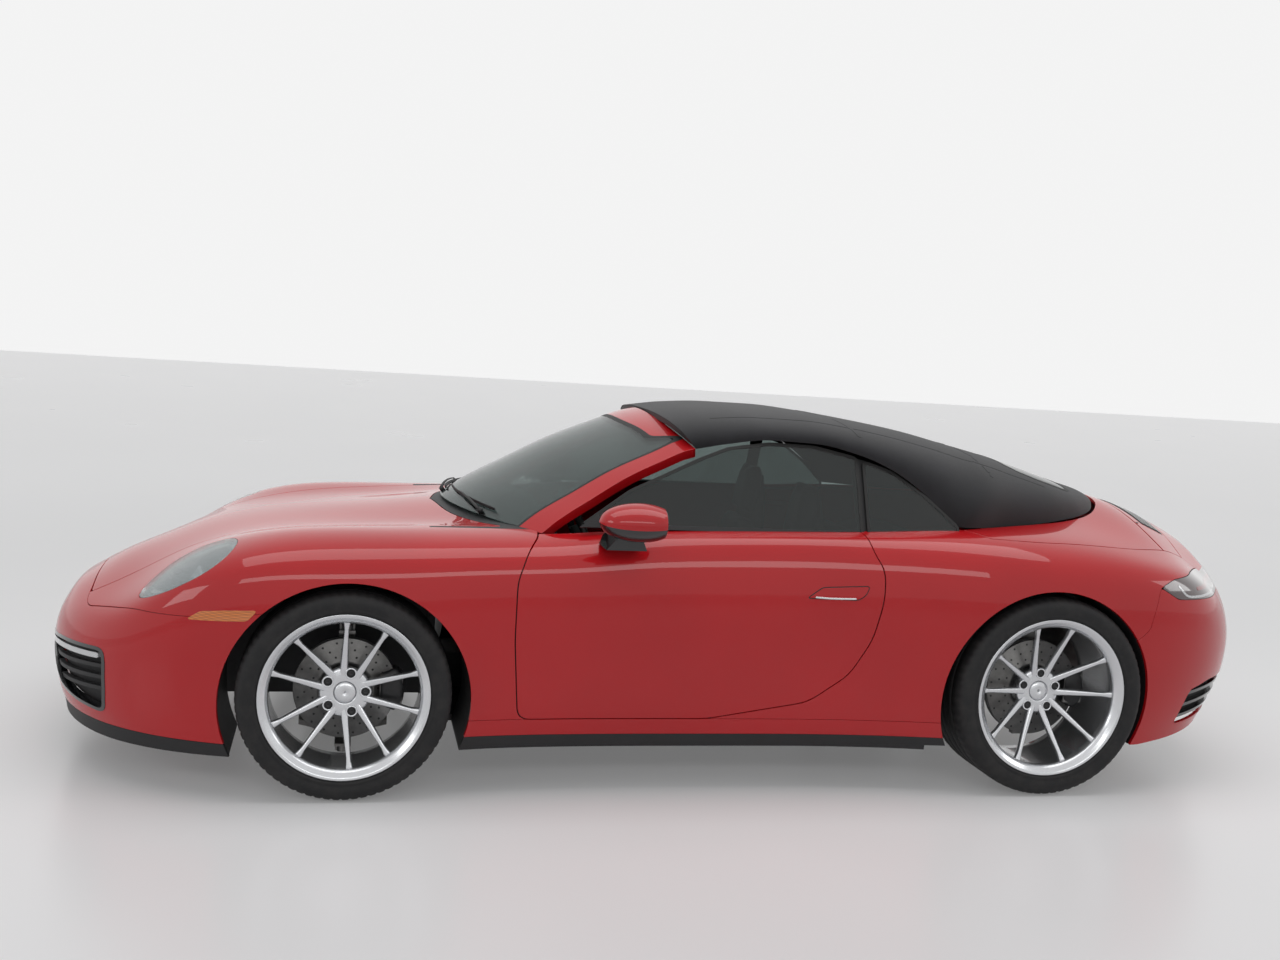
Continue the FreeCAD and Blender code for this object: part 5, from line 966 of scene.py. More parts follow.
def mirrored(shape):
    """The same shape on the passenger's side."""
    points, normals, faces = shape
    return points * ACROSS, normals * ACROSS, faces[:, ::-1]


def both_halves(shape):
    """One shape from a half and its mirror image, which share the points on the middle line."""
    points, normals, faces = shape
    middle = np.abs(points[:, 1]) < 1e-5
    points = np.where(middle[:, None], points * [1.0, 0.0, 1.0], points)
    level = normals * np.where(middle[:, None], [1.0, 0.0, 1.0], 1.0)
    other = np.where(middle, np.arange(len(points)), 0)
    fresh = np.flatnonzero(~middle)
    other[fresh] = len(points) + np.arange(len(fresh))
    all_points = np.concatenate([points, points[fresh] * ACROSS])
    all_normals = np.concatenate([level, level[fresh] * ACROSS])
    return all_points, all_normals, np.concatenate([faces, other[faces][:, ::-1]])


def rim(faces):
    """Directed edges of a surface that belong to one face only."""
    edges = np.concatenate([faces[:, [0, 1]], faces[:, [1, 2]], faces[:, [2, 0]]])
    size = edges.max() + 1
    key = edges[:, 0] * size + edges[:, 1]
    back = edges[:, 1] * size + edges[:, 0]
    return edges[~np.isin(key, back)]


def thick(shape, lift=0.0, depth=None, inner=None):
    """Closed panel: the outer face, an inner face at a depth below it, or at given places, and a wall between.

    The wall's first strip leans in by EDGE_ROUND, which rounds the panel's edge."""
    points, normals, faces = shape
    edges = rim(faces)
    depth = sizes().panel_depth if depth is None else depth
    outer = points + normals * lift
    under = outer - normals * depth if inner is None else inner
    along = outer[edges[:, 1]] - outer[edges[:, 0]]
    along /= np.maximum(np.linalg.norm(along, axis=1, keepdims=True), 1e-9)
    out = np.zeros_like(points)
    for end in (0, 1):
        np.add.at(out, edges[:, end], np.cross(along, normals[edges[:, end]]))
    ring, where = np.unique(edges, return_inverse=True)
    where = where.reshape(-1, 2)
    out = out[ring]
    out /= np.maximum(np.linalg.norm(out, axis=1, keepdims=True), 1e-9)
    count = len(points)
    around = len(ring)
    top = outer[ring]
    down = under[ring] - top
    fall = np.maximum(np.linalg.norm(down, axis=1, keepdims=True), 1e-9)
    shoulder = top + out * EDGE_ROUND * 0.6 + down / fall * np.minimum(EDGE_ROUND, fall * 0.4)
    lip = np.concatenate([top, shoulder, shoulder, under[ring]])
    lip_normals = np.concatenate([normals[ring], out, out, out])
    all_points = np.concatenate([outer, under, lip])
    all_normals = np.concatenate([normals, -normals, lip_normals])
    a, b = where[:, 0], where[:, 1]
    first = 2 * count
    walls = [np.stack([first + b, first + a, first + around + a, first + around + b], 1),
             np.stack([first + 2 * around + b, first + 2 * around + a, first + 3 * around + a,
                       first + 3 * around + b], 1)]
    return all_points, all_normals, [np.concatenate([faces, faces[:, ::-1] + count]), np.concatenate(walls)]


def outline_rules():
    """Signed distances that cut the skin, by name, each from an outline in a flat view."""
    lid_line = np.concatenate([through(plan_places(table)) for table in
                               (LID_FRONT_LINE_SHARES, LID_SIDE_LINE_SHARES, LID_REAR_LINE_SHARES)])
    deck_line = np.concatenate([through(plan_places(table)) for table in
                                (DECK_FRONT_SHARES, DECK_LINE_SHARES, DECK_REAR_SHARES)])
    zone_line = through(plan_places(ENGINE_LID_FRONT_SHARES))
    past = CAR_LENGTH / 2 + BEYOND
    zone = np.concatenate([zone_line, [(zone_line[-1, 0], BEYOND), (past, BEYOND), (past, zone_line[0, 1])]])
    fabric_line = through(plan_places(FABRIC_BASE_SHARES))
    front = NOSE_X + 0.6 * CAR_LENGTH
    fabric = np.concatenate([fabric_line, [(fabric_line[-1, 0], BEYOND), (front, BEYOND), (front, fabric_line[0, 1])]])
    shapes = {
        "body": ("side", rounded(side_places(BODY_SIDE_SHARES))),
        "front_arch": ("side", circle(*FRONT_ARCH)),
        "rear_arch": ("side", circle(*REAR_ARCH)),
        "door": ("side", rounded(side_places(DOOR_SIDE_SHARES), 0.04)),
        "bumper": ("side", rounded(side_places(BUMPER_SIDE_SHARES), 0.03)),
        "lip": ("side", rounded(side_places(LIP_SIDE_SHARES))),
        "sill": ("side", rounded(side_places(SILL_SIDE_SHARES))),
        "fender": ("side", rounded(side_places(FENDER_SIDE_SHARES))),
        "quarter": ("side", rounded(side_places(QUARTER_SIDE_SHARES), 0.01)),
        "rear_bumper": ("side", rounded(side_places(REAR_BUMPER_SIDE_SHARES), 0.01)),
        "tail_lamp": ("side", rounded(side_places(TAIL_LAMP_SIDE_SHARES), 0.02)),
        "lid": ("plan", over_middle(lid_line, lid_line[-1, 0], lid_line[0, 0])),
        "cowl": ("plan", plan_places(COWL_PLAN_SHARES)),
        "cabin": ("plan", rounded(plan_places(CABIN_PLAN_SHARES))),
        "lamp": ("plan", rounded(plan_places(LAMP_PLAN_SHARES), 0.08)),
        "deck": ("plan", over_middle(deck_line, deck_line[-1, 0], deck_line[0, 0])),
        "engine_zone": ("plan", zone),
        "fabric": ("plan", fabric),
        "spoiler": ("plan", rounded(plan_places(SPOILER_PLAN_SHARES))),
        "intake": ("front", rounded(np.array(INTAKE_FRONT), 0.03)),
        "vent": ("side", rounded(np.array(VENT_SIDE), 0.02)),
    }
    rules = {}
    for name, (view, outline) in shapes.items():
        rules[name] = lambda points, outline=outline, axes=VIEW_AXES[view]: flat_distance(outline, points[:, axes])
    rules["spoiler_floor"] = lambda points: SPOILER_FLOOR_SHARE * CAR_HEIGHT - points[:, 2]
    rules["intake_end"] = lambda points: points[:, 0] - INTAKE_END
    rules["door_plane"] = lambda points: np.abs(points[:, 1]) * -1 + DOOR_INNER_PLANE
    rules["strip"] = lambda points: points[:, 2] - STRIP_TOP
    return rules


def cut_skin(skin):
    """The driver's half of the skin cut along every outline, with the triangles of each panel."""
    sheet = Sheet(skin, *SKIN_GRID)
    rules = outline_rules()
    for name, rule in rules.items():
        sheet.measure(name, rule)
        if name in CUT_LEVELS:
            sheet.cut(name, rule, getattr(sizes(), CUT_LEVELS[name]))
        if name in JOINED:
            sheet.cut(name, rule, JOIN)
            sheet.cut(name, rule, -JOIN)
    gap, door_gap, deck_gap = sizes().lid_gap, sizes().door_gap, sizes().deck_gap
    inside_of = sheet.within
    height_share = sheet.centres()[:, 2] / CAR_HEIGHT
    lid_level = height_share > LAMP_FLOOR_SHARE / 2
    upper = height_share > LAMP_FLOOR_SHARE
    top = height_share > 0.5
    body = inside_of("body")
    arches = inside_of("front_arch") | inside_of("rear_arch")
    lid = inside_of("lid") & lid_level
    lid_hole = inside_of("lid", gap) & lid_level
    deck_hole = inside_of("deck", gap) & upper
    door_hole = inside_of("door", door_gap)
    cabin = inside_of("cabin") & (height_share > 0.55)
    cowl = inside_of("cowl", -JOIN) & top
    cowl_wide = inside_of("cowl", JOIN) & top
    lamp = inside_of("lamp", -JOIN) & upper
    lamp_wide = inside_of("lamp", JOIN) & upper
    spoiler = inside_of("spoiler", -JOIN) & inside_of("spoiler_floor")
    spoiler_wide = inside_of("spoiler", JOIN) & inside_of("spoiler_floor")
    fabric = inside_of("fabric") & top
    intake = inside_of("intake") & inside_of("intake_end")
    vent = inside_of("vent")
    strip = inside_of("strip") & inside_of("sill", -JOIN)
    parts = {
        "bumper": inside_of("bumper", -JOIN) & ~inside_of("lip", JOIN) & ~lid_hole & ~intake,
        "lip": inside_of("bumper", -JOIN) & inside_of("lip", -JOIN),
        "intake": intake & inside_of("bumper") & ~inside_of("lip"),
        "fender": (inside_of("fender") & ~inside_of("bumper", JOIN) & ~inside_of("sill", JOIN) & ~lamp_wide & ~lid_hole
                   & ~cowl_wide & ~door_hole & ~cabin),
        "cowl": cowl & ~lid_hole,
        "sill": inside_of("sill", -JOIN) & ~door_hole & ~strip,
        "strip": strip & ~door_hole,
        "lamp": lamp & ~inside_of("bumper", JOIN),
        "lid": lid,
        "door": inside_of("door") & inside_of("door_plane") & ~cabin,
        "tail_lamp": inside_of("tail_lamp", -JOIN) & ~spoiler_wide,
        "rear_bumper": inside_of("rear_bumper", -JOIN) & ~vent,
        "vent": vent & inside_of("rear_bumper"),
        "quarter": (inside_of("quarter") & ~inside_of("tail_lamp", JOIN) & ~inside_of("rear_bumper", JOIN)
                    & ~deck_hole & ~door_hole & ~cabin & ~spoiler_wide & ~inside_of("sill", JOIN)),
        "spoiler": spoiler & ~deck_hole,
        "tonneau": inside_of("deck") & upper & ~inside_of("engine_zone", deck_gap) & ~fabric,
        "engine_lid": inside_of("deck") & upper & inside_of("engine_zone"),
    }
    free = body & ~arches
    taken = np.zeros(len(body), dtype=bool)
    for name, mask in parts.items():
        parts[name] = mask & free & ~taken
        taken |= parts[name]
    parts["seal"] = free & ~taken & ~cabin & ~(deck_hole & (fabric | inside_of("engine_zone", deck_gap)))
    return sheet, parts

# Pieces of the body

CACHE = {}


def skin_parts():
    """The skin, its cut triangles and the mask of each panel, worked out once."""
    if "skin" not in CACHE:
        CACHE["skin"] = Skin()
        CACHE["sheet"], CACHE["parts"] = cut_skin(CACHE["skin"])
    return CACHE["skin"], CACHE["sheet"], CACHE["parts"]


def piece(name, shape, finish, body, slot, *nodes):
    """Smooth object from points, normals and faces, finished and placed on its body."""
    points, normals, faces = shape
    thing = make_object(name, points, faces, material(finish), normals)
    return fit(thing, body, slot, *nodes)


def plain(name, parts, finish, body, slot, *nodes, sharp=40):
    """Object from lists of (points, faces), welded, with smooth shading that breaks at sharp edges."""
    points, faces = joined(parts)
    thing = weld(make_object(name, points, faces, material(finish)))
    thing.data.shade_smooth()
    with bpy.context.temp_override(object=thing, active_object=thing, selected_objects=[thing]):
        bpy.ops.object.shade_smooth_by_angle(angle=math.radians(sharp))
    return fit(thing, body, slot, *nodes)


def flipped(parts):
    """The same (points, faces) parts on the passenger's side."""
    return [(points.reshape(-1, 3) * ACROSS, [group[:, ::-1] for group in faces]) for points, faces in parts]


def add_shapes(*shapes):
    """One shape from several (points, normals, faces)."""
    points, faces = joined([(shape[0], shape[2] if isinstance(shape[2], list) else [shape[2]]) for shape in shapes])
    return points, np.concatenate([shape[1] for shape in shapes]), faces


def closed_pair(shape, **how):
    """Two closed panels, one on each side."""
    return add_shapes(thick(shape, **how), thick(mirrored(shape), **how))


def patch(low, high, rule, lift=0.0015, depth=0.004, columns=120, rows=36):
    """Closed piece that lies on the driver's side of the skin inside a distance rule, within a box of space."""
    skin = skin_parts()[0]
    held = ((skin.points >= low) & (skin.points <= high)).all(-1)
    u, v = np.flatnonzero(held.any(1)), np.flatnonzero(held.any(0))
    window = (max(u[0] - 1, 0), min(u[-1] + 1, skin.count[0] - 1), max(v[0] - 1, 0), min(v[-1] + 1, skin.count[1] - 1))
    sheet = Sheet(skin, columns, rows, window)
    sheet.measure("edge", rule)
    mask = sheet.within("edge")
    centre = sheet.centres()
    mask &= ((centre >= low) & (centre <= high)).all(1)
    return thick(sheet.take(mask), lift=lift, depth=depth)


def by_outline(view, outline):
    """Distance rule of one outline in one flat view."""
    axes = VIEW_AXES[view]
    return lambda points: flat_distance(outline, points[:, axes])


def reflect(shape):
    """A closed shape on the passenger's side."""
    points, normals, faces = shape
    return points * ACROSS, normals * ACROSS, [group[:, ::-1] for group in faces]


def both_sides(*shapes):
    """One shape from closed ones and their mirror images."""
    return add_shapes(*shapes, *[reflect(shape) for shape in shapes])


SIDES = (("left", lambda shape: shape), ("right", mirrored))
LID_PIVOT = (-0.714635, 0.5417, 0.845505)
DECK_PIVOT = (1.699144, 0.3704, 0.924761)
LID_ARM_REACH = 0.09
LID_ARM_RISE = 0.012
DECK_ARM_RADIUS = 0.111
ARM_HALF = 0.005
PIN = 0.005


def hinge_eye(x, y, z):
    """Ring round the pin of a lid's hinge."""
    profile = [(PIN, -ARM_HALF), (2 * PIN, -ARM_HALF), (2 * PIN, ARM_HALF), (PIN, ARM_HALF), (PIN, -ARM_HALF)]
    return lathe(profile, 24, (x, y, z))


def lid_arm(pivot, side):
    """Flat steel arm from a pivot's eye to the underside of the front lid, with a rounded end."""
    x, y, z = pivot
    y *= side
    bar = rounded_block((x - LID_ARM_REACH, y - ARM_HALF, z - PIN), (x, y + ARM_HALF, z + LID_ARM_RISE), 0.002)
    return [hinge_eye(x, y, z), bar]


def gooseneck(pivot, side):
    """Steel arm that drops from a pivot's eye, swings round under the shut line and rises to its lid."""
    x, y, z = pivot
    turn = np.radians(np.linspace(-66, 0, 16))
    leg = np.outer(np.linspace(0.010, 0.092, 6), [math.cos(turn[0]), math.sin(turn[0])])
    ring = DECK_ARM_RADIUS * np.stack([np.cos(turn), np.sin(turn)], -1)
    post = [[DECK_ARM_RADIUS + 0.002, 0.006]]
    flat = np.concatenate([leg, ring, post]) + [x, z]
    path = np.stack([flat[:, 0], np.full(len(flat), side * y), flat[:, 1]], -1)
    return [hinge_eye(x, side * y, z), round_bar(path, ARM_HALF - 0.0005)]


def build_panels():
    """Painted panels: each is the stretch of skin inside its outline, laid 12 mm deep with a rounded edge."""
    _, sheet, parts = skin_parts()
    take = {name: sheet.take(mask) for name, mask in parts.items()}
    for name, part, finish, body, slot, node in (
            ("front_bumper_skin", "bumper", "paint", "body", "body_paint", "front_bumper"),
            ("front_lip_skin", "lip", "black", "body", "black_trim", "front_lip"),
            ("front_lid_skin", "lid", "paint", "front_lid", "body_paint", "front_lid"),
            ("cowl_skin", "cowl", "black", "body", "black_trim", "cowl"),
            ("tonneau_skin", "tonneau", "paint", "body", "body_paint", "tonneau_panel"),
            ("engine_lid_skin", "engine_lid", "paint", "engine_lid", "body_paint", "engine_lid"),
            ("rear_bumper_skin", "rear_bumper", "paint", "body", "body_paint", "rear_bumper"),
            ("spoiler_skin", "spoiler", "paint", "body", "body_paint", "spoiler")):
        piece(name, thick(both_halves(take[part])), finish, body, slot, node)
    piece("sill_skins", closed_pair(take["sill"]), "paint", "body", "body_paint", "sills")
    piece("sill_strips", closed_pair(take["strip"], lift=0.002), "black", "body", "black_trim")
    for word, turn in SIDES:
        piece(f"fender_skin_{word}", thick(turn(take["fender"])), "paint", "body", "body_paint", f"fender_{word}")
        piece(f"rear_quarter_skin_{word}", thick(turn(take["quarter"])), "paint", "body", "body_paint",
              f"rear_quarter_{word}")
        shape = turn(take["door"])
        points = shape[0]
        front, rear = points[:, 0].min(), points[:, 0].max()
        side = np.sign(points[:, 1].mean())
        inner = np.stack([np.clip(points[:, 0], front + 0.012, rear - 0.034),
                          np.full(len(points), side * (DOOR_INNER_PLANE + 0.001)), points[:, 2]], -1)
        piece(f"door_skin_{word}", thick(shape, inner=inner), "paint", f"door_{word}", "body_paint", f"door_{word}")
    piece("panel_seals", closed_pair(take["seal"], lift=-0.0085, depth=0.003), "seal", "body", "black_trim")
    for lid, arm, pivot in (("front_lid", lid_arm, LID_PIVOT), ("engine_lid", gooseneck, DECK_PIVOT)):
        plain(f"{lid}_arms", arm(pivot, -1) + arm(pivot, 1), "steel", lid, "under_steel")


def strip_rule(view, places, width, step=0.006):
    """Distance to a smooth line of one flat view, less half a width."""
    line = through(np.array(places), step)
    axes = VIEW_AXES[view]

    def rule(points):
        flat = points[:, axes]
        result = np.full(len(flat), NEAR_OUTLINE)
        low, high = line.min(0) - NEAR_OUTLINE, line.max(0) + NEAR_OUTLINE
        near = np.flatnonzero(((flat >= low) & (flat <= high)).all(1))
        away = flat[near, None] - line[:-1]
        run = line[1:] - line[:-1]
        share = np.clip((away * run).sum(-1) / (run**2).sum(1), 0, 1)
        result[near] = np.sqrt(((away - share[..., None] * run) ** 2).sum(-1).min(1)) - width / 2
        return result
    return rule


def build_front():
    """Intakes with slats and light bars, the amber side markers and the middle lower slot."""
    _, sheet, parts = skin_parts()
    well = sheet.take(parts["intake"])
    piece("intake_wells", closed_pair(well, lift=-0.034, depth=0.004), "soft_black", "body", "black_trim")
    low, high = np.array([-2.27, -0.72, 0.2]), np.array([INTAKE_END - 0.05, -0.19, 0.46])
    outline = rounded(np.array(INTAKE_FRONT), 0.03)
    rim_rule = by_outline("front", outline)
    ring = patch(low, high, lambda points: np.abs(rim_rule(points) + 0.004) - 0.005, 0.002, 0.030, 110, 60)
    piece("intake_rims", both_sides(ring), "gloss_black", "body", "gloss_black")
    slats = []
    for share in (0.26, 0.50, 0.74):
        line = [(y, 0.235 + share * (0.135 + (-y - 0.22) * 0.11) - (0.40 + y) * 0.10 * (1 - share))
                for y in (-0.24, -0.40, -0.55, -0.68)]
        edge = strip_rule("front", line, 0.012)
        slats.append(patch(low, high, lambda points, edge=edge: np.maximum(edge(points), rim_rule(points)), -0.010,
                           0.016, 110, 60))
    piece("intake_slats", both_sides(*slats), "black", "body", "black_trim")
    bar = strip_rule("front", [(-0.30, 0.386), (-0.45, 0.398), (-0.58, 0.407), (-0.668, 0.414)], 0.016)
    lens = patch(low, high, bar, 0.001, 0.012, 130, 70)
    piece("light_bars", both_sides(lens), "white_lens", "body", "lamp_glass")
    marker = rounded(np.array([(-1.742, 0.578), (-1.700, 0.606), (-1.62, 0.613), (-1.528, 0.617), (-1.558, 0.583),
                               (-1.64, 0.580)]), 0.012, 0.004)
    amber = patch(np.array([-1.76, -0.95, 0.56]), np.array([-1.51, -0.8, 0.63]), by_outline("side", marker), 0.0012,
                  0.006, 60, 30)
    piece("side_markers", both_sides(amber), "amber", "body", "lamp_glass")
    slot = rounded(np.array([(-0.19, 0.205), (-0.17, 0.245), (0.02, 0.252), (0.02, 0.205)]), 0.01, 0.005)
    middle = patch(np.array([-2.27, -0.20, 0.19]), np.array([-2.1, 0.0, 0.27]), by_outline("front", slot), 0.0005,
                   0.003, 50, 26)
    piece("middle_slot", both_sides(middle), "soft_black", "body", "black_trim")


def build_rear():
    """Smoked lamp strip with its bright guides, and the slatted vents."""
    _, sheet, parts = skin_parts()
    lamp = sheet.take(parts["tail_lamp"])
    piece("tail_lamp_lens", thick(both_halves(lamp), depth=0.02), "smoke_lens", "body", "tail_glass", "tail_lamp")
    low, high = np.array([1.55, -0.95, 0.66]), np.array([2.27, 0.0, 0.80])
    guide = strip_rule("side", [(1.69, 0.762), (1.73, 0.728), (1.79, 0.722), (1.90, 0.722), (2.05, 0.718),
                                (2.25, 0.714)], 0.007)
    lens = patch(low, high, guide, 0.0012, 0.004, 160, 60)
    piece("tail_guides", both_sides(lens), "white_lens", "body", "tail_glass")
    band = strip_rule("side", [(1.80, 0.748), (1.95, 0.746), (2.10, 0.741), (2.26, 0.737)], 0.012)
    red = patch(low, high, band, 0.0012, 0.004, 160, 60)
    piece("tail_band", both_sides(red), "red_lens", "body", "tail_glass")
    vent = sheet.take(parts["vent"])
    piece("rear_vent_well", thick(both_halves(vent), lift=-0.026, depth=0.004), "soft_black", "body", "black_trim")
    low, high = np.array([1.7, -0.95, 0.2]), np.array([2.27, 0.0, 0.42])
    inside_vent = by_outline("side", rounded(np.array(VENT_SIDE), 0.02))
    slats = []
    for height in (0.288, 0.330, 0.372):
        edge = strip_rule("side", [(1.74, height - 0.02), (1.95, height - 0.004), (2.28, height)], 0.011)
        slats.append(patch(low, high, lambda points, edge=edge: np.maximum(edge(points), inside_vent(points)), -0.004,
                           0.02, 110, 50))
    piece("rear_vent_slats", both_sides(*slats), "gloss_black", "body", "gloss_black")

# Wheels, brakes and tyres

AXLES = {
    "front": {"x": FRONT_AXLE, "plane": 0.782, "radius": 0.3398, "width": 0.245, "seat": 0.254, "disc": 0.165,
              "first_bolt": 3.0},
    "rear": {"x": REAR_AXLE, "plane": 0.768, "radius": 0.358, "width": 0.298, "seat": 0.267, "disc": 0.175,
             "first_bolt": 16.5},
}
RIM_INSET = 0.008
HUB_RADIUS = 0.078
CAP_RADIUS = 0.034
BOLT_CIRCLE = 0.065
BOLT_COUNT = 5
DISC_INSET = 0.026
DISC_HALF = 0.015
SPOKE_SPREAD = 15.5
SPOKE_WIDTHS = (0.029, 0.0165)
SPOKE_ROWS, SPOKE_COLUMNS = 22, 18
CALIPER_ROWS, CALIPER_COLUMNS = 25, 24
DRILLINGS = 60
SIPES = 72
TYRE_STEPS = 288


def rim_half(axle):
    return axle["width"] / 2 - RIM_INSET


def barrel(axle):
    """Rim: a well between two bead seats, with a double step on the outer edge."""
    seat, half = axle["seat"], rim_half(axle)
    profile = [(seat - 0.009, -half + 0.010), (seat, -half), (seat + 0.016, -half), (seat + 0.016, -half + 0.009),
               (seat, -half + 0.019), (seat - 0.003, -half + 0.05), (seat - 0.003, half - 0.05), (seat, half - 0.019),
               (seat + 0.016, half - 0.009), (seat + 0.0165, half - 0.001), (seat + 0.0135, half),
               (seat + 0.004, half - 0.002), (seat + 0.002, half - 0.006), (seat - 0.006, half - 0.008),
               (seat - 0.009, half - 0.014), (seat - 0.015, half - 0.018), (seat - 0.017, half - 0.030),
               (seat - 0.014, half - 0.060), (seat - 0.012, -half + 0.05), (seat - 0.009, -half + 0.010)]
    return lathe(profile, 144)


def spoke(axle, bolt_angle, side):
    """One spoke from beside a wheel bolt out to the rim: a rounded section that tapers along a dished line."""
    seat, half = axle["seat"], rim_half(axle)
    turn = math.radians(bolt_angle)
    out = np.array([math.cos(turn), math.sin(turn)])
    across = np.array([-out[1], out[0]]) * side
    start = out * (BOLT_CIRCLE - 0.022) + across * 0.0185
    tip = math.radians(bolt_angle + side * SPOKE_SPREAD)
    end = np.array([math.cos(tip), math.sin(tip)]) * (seat - 0.011)
    share = np.linspace(0, 1, SPOKE_ROWS)[:, None]
    middle = start + (end - start) * share
    run = (end - start) / np.linalg.norm(end - start)
    wide = np.array([-run[1], run[0]])
    front = 0.041 + (half - 0.024 - 0.041) * share**1.15
    breadth = SPOKE_WIDTHS[0] + (SPOKE_WIDTHS[1] - SPOKE_WIDTHS[0]) * np.clip(share * 1.25, 0, 1)
    breadth = breadth + 0.010 * np.clip(share - 0.86, 0, 1) / 0.14
    depth = sizes().spoke_depth * (1.25 - 0.35 * share)
    sway, rise = pad_section(np.linspace(0, 2 * np.pi, SPOKE_COLUMNS, endpoint=False)[None], 0.55)
    lateral = sway * (breadth / 2) * (1 - 0.16 * np.clip(rise, 0, 1))
    outward = front + (rise - 1) * depth / 2
    points = np.stack([middle[:, :1] + wide[0] * lateral, outward, middle[:, 1:] + wide[1] * lateral], -1)
    return points.reshape(-1, 3), tube_faces(SPOKE_ROWS, SPOKE_COLUMNS)


def hub():
    """Hub face with a dished middle for the cap and a flange against the disc."""
    profile = [(0.026, -0.062), (HUB_RADIUS - 0.006, -0.062), (HUB_RADIUS - 0.002, -0.010), (HUB_RADIUS, 0.020),
               (HUB_RADIUS + 0.006, 0.026), (HUB_RADIUS + 0.004, 0.036), (HUB_RADIUS - 0.004, 0.0415),
               (CAP_RADIUS + 0.006, 0.0435), (CAP_RADIUS + 0.002, 0.042), (CAP_RADIUS + 0.001, 0.030),
               (0.026, 0.030), (0.026, -0.062)]
    return lathe(profile, 96)


def bolt_places(axle):
    for k in range(BOLT_COUNT):
        turn = math.radians(axle["first_bolt"] + k * 360 / BOLT_COUNT)
        yield BOLT_CIRCLE * math.cos(turn), BOLT_CIRCLE * math.sin(turn), math.degrees(turn)


def disc_parts(axle):
    """Ventilated disc: two faces with a slot between them, and its drillings as shallow dimples, which are coloured
    near black as painted shade of the holes.
    """
    radius = axle["disc"]
    near, far = -DISC_INSET - DISC_HALF, -DISC_INSET + DISC_HALF
    profile = [(HUB_RADIUS + 0.002, near), (radius - 0.001, near), (radius, near + 0.001), (radius, near + 0.009),
               (radius - 0.012, near + 0.010), (radius - 0.012, far - 0.010), (radius, far - 0.009),
               (radius, far - 0.001), (radius - 0.001, far), (HUB_RADIUS + 0.018, far),
               (HUB_RADIUS + 0.016, far + 0.003), (HUB_RADIUS + 0.002, far + 0.003), (HUB_RADIUS + 0.002, near)]
    holes = []
    for k in range(DRILLINGS):
        turn = 2 * math.pi * k / DRILLINGS
        reach = HUB_RADIUS + 0.028 + (k % 3) * (radius - HUB_RADIUS - 0.042) / 2
        centre = (reach * math.cos(turn), far + 0.0002, reach * math.sin(turn))
        holes.append(lathe([(0.0036, 0), (0.0033, 0.0002), (0.0001, 0.0001), (0.0001, -0.001), (0.0036, -0.001),
                            (0.0036, 0)], 12, centre))
    return lathe(profile, 120), holes


def tyre(axle):
    """Tyre: round sidewalls with a rim guard, four grooves round the tread and sipes across its shoulders."""
    half, radius, seat = axle["width"] / 2, axle["radius"], axle["seat"]
    wall = np.array([(seat + 0.0003, rim_half(axle) - 0.021), (seat + 0.016, rim_half(axle) - 0.0115),
                     (seat + 0.019, half - 0.0085), (seat + 0.024, half - 0.0015), (seat + 0.029, half - 0.0045),
                     (seat + 0.036, half - 0.0025), (seat + 0.046, half - 0.0005), (radius - 0.030, half - 0.0005),
                     (radius - 0.020, half - 0.0035), (radius - 0.012, half - 0.009), (radius - 0.0055, half - 0.017),
                     (radius - 0.0025, half - 0.027), (radius - 0.001, half - 0.040)])
    deep, wide = sizes().tread_depth, 0.005
    tread = []
    for centre in (half * 0.50, half * 0.17, -half * 0.17, -half * 0.50):
        for shift, drop in ((wide + 0.001, 0), (wide, 0.0008), (wide - 0.0012, deep), (-wide + 0.0012, deep),
                            (-wide, 0.0008), (-wide - 0.001, 0)):
            tread.append((radius - 0.0006 - drop, centre + shift))
    profile = np.concatenate([wall, tread, wall[::-1] * [1, -1], wall[:1]])
    turn = np.linspace(0, 2 * np.pi, TYRE_STEPS, endpoint=False)
    cut = ((turn * SIPES / (2 * np.pi) + 0.01) % 1) < 0.25
    shoulder = (np.abs(profile[:, 1]) > half * 0.60) & (profile[:, 0] > radius - 0.010)
    reach = profile[:, :1] - 0.0035 * shoulder[:, None] * cut[None]
    points = np.stack([reach * np.cos(turn), np.repeat(profile[:, 1:], TYRE_STEPS, 1), reach * np.sin(turn)], -1)
    return points, [grid_faces(len(profile), TYRE_STEPS, closed=True)]


def caliper(axle):
    """Brake caliper: a rounded section carried round the disc's edge on the side towards the tail."""
    turn = np.radians(np.linspace(-24, 24, CALIPER_ROWS))
    sway, rise = pad_section(np.linspace(0, 2 * np.pi, CALIPER_COLUMNS, endpoint=False), 0.5)
    taper = 1 - 0.35 * np.abs(np.linspace(-1, 1, CALIPER_ROWS)) ** 4
    reach = axle["disc"] - 0.016 + 0.042 * np.outer(taper, rise)
    outward = -DISC_INSET + 0.040 * np.outer(taper, sway)
    points = np.stack([reach * np.cos(turn)[:, None], outward, reach * np.sin(turn)[:, None]], -1)
    return points.reshape(-1, 3), tube_faces(CALIPER_ROWS, CALIPER_COLUMNS)


def at_corner(parts, axle, side):
    """Parts drawn about the origin with their outer side to +Y, moved to one corner of the car."""
    place = np.array([axle["x"], side * axle["plane"], axle["radius"]])
    moved = []
    for points, faces in parts:
        points = points.reshape(-1, 3) * [1, side, 1] + place
        moved.append((points, [group[:, ::-1] for group in faces] if side > 0 else faces))
    return moved


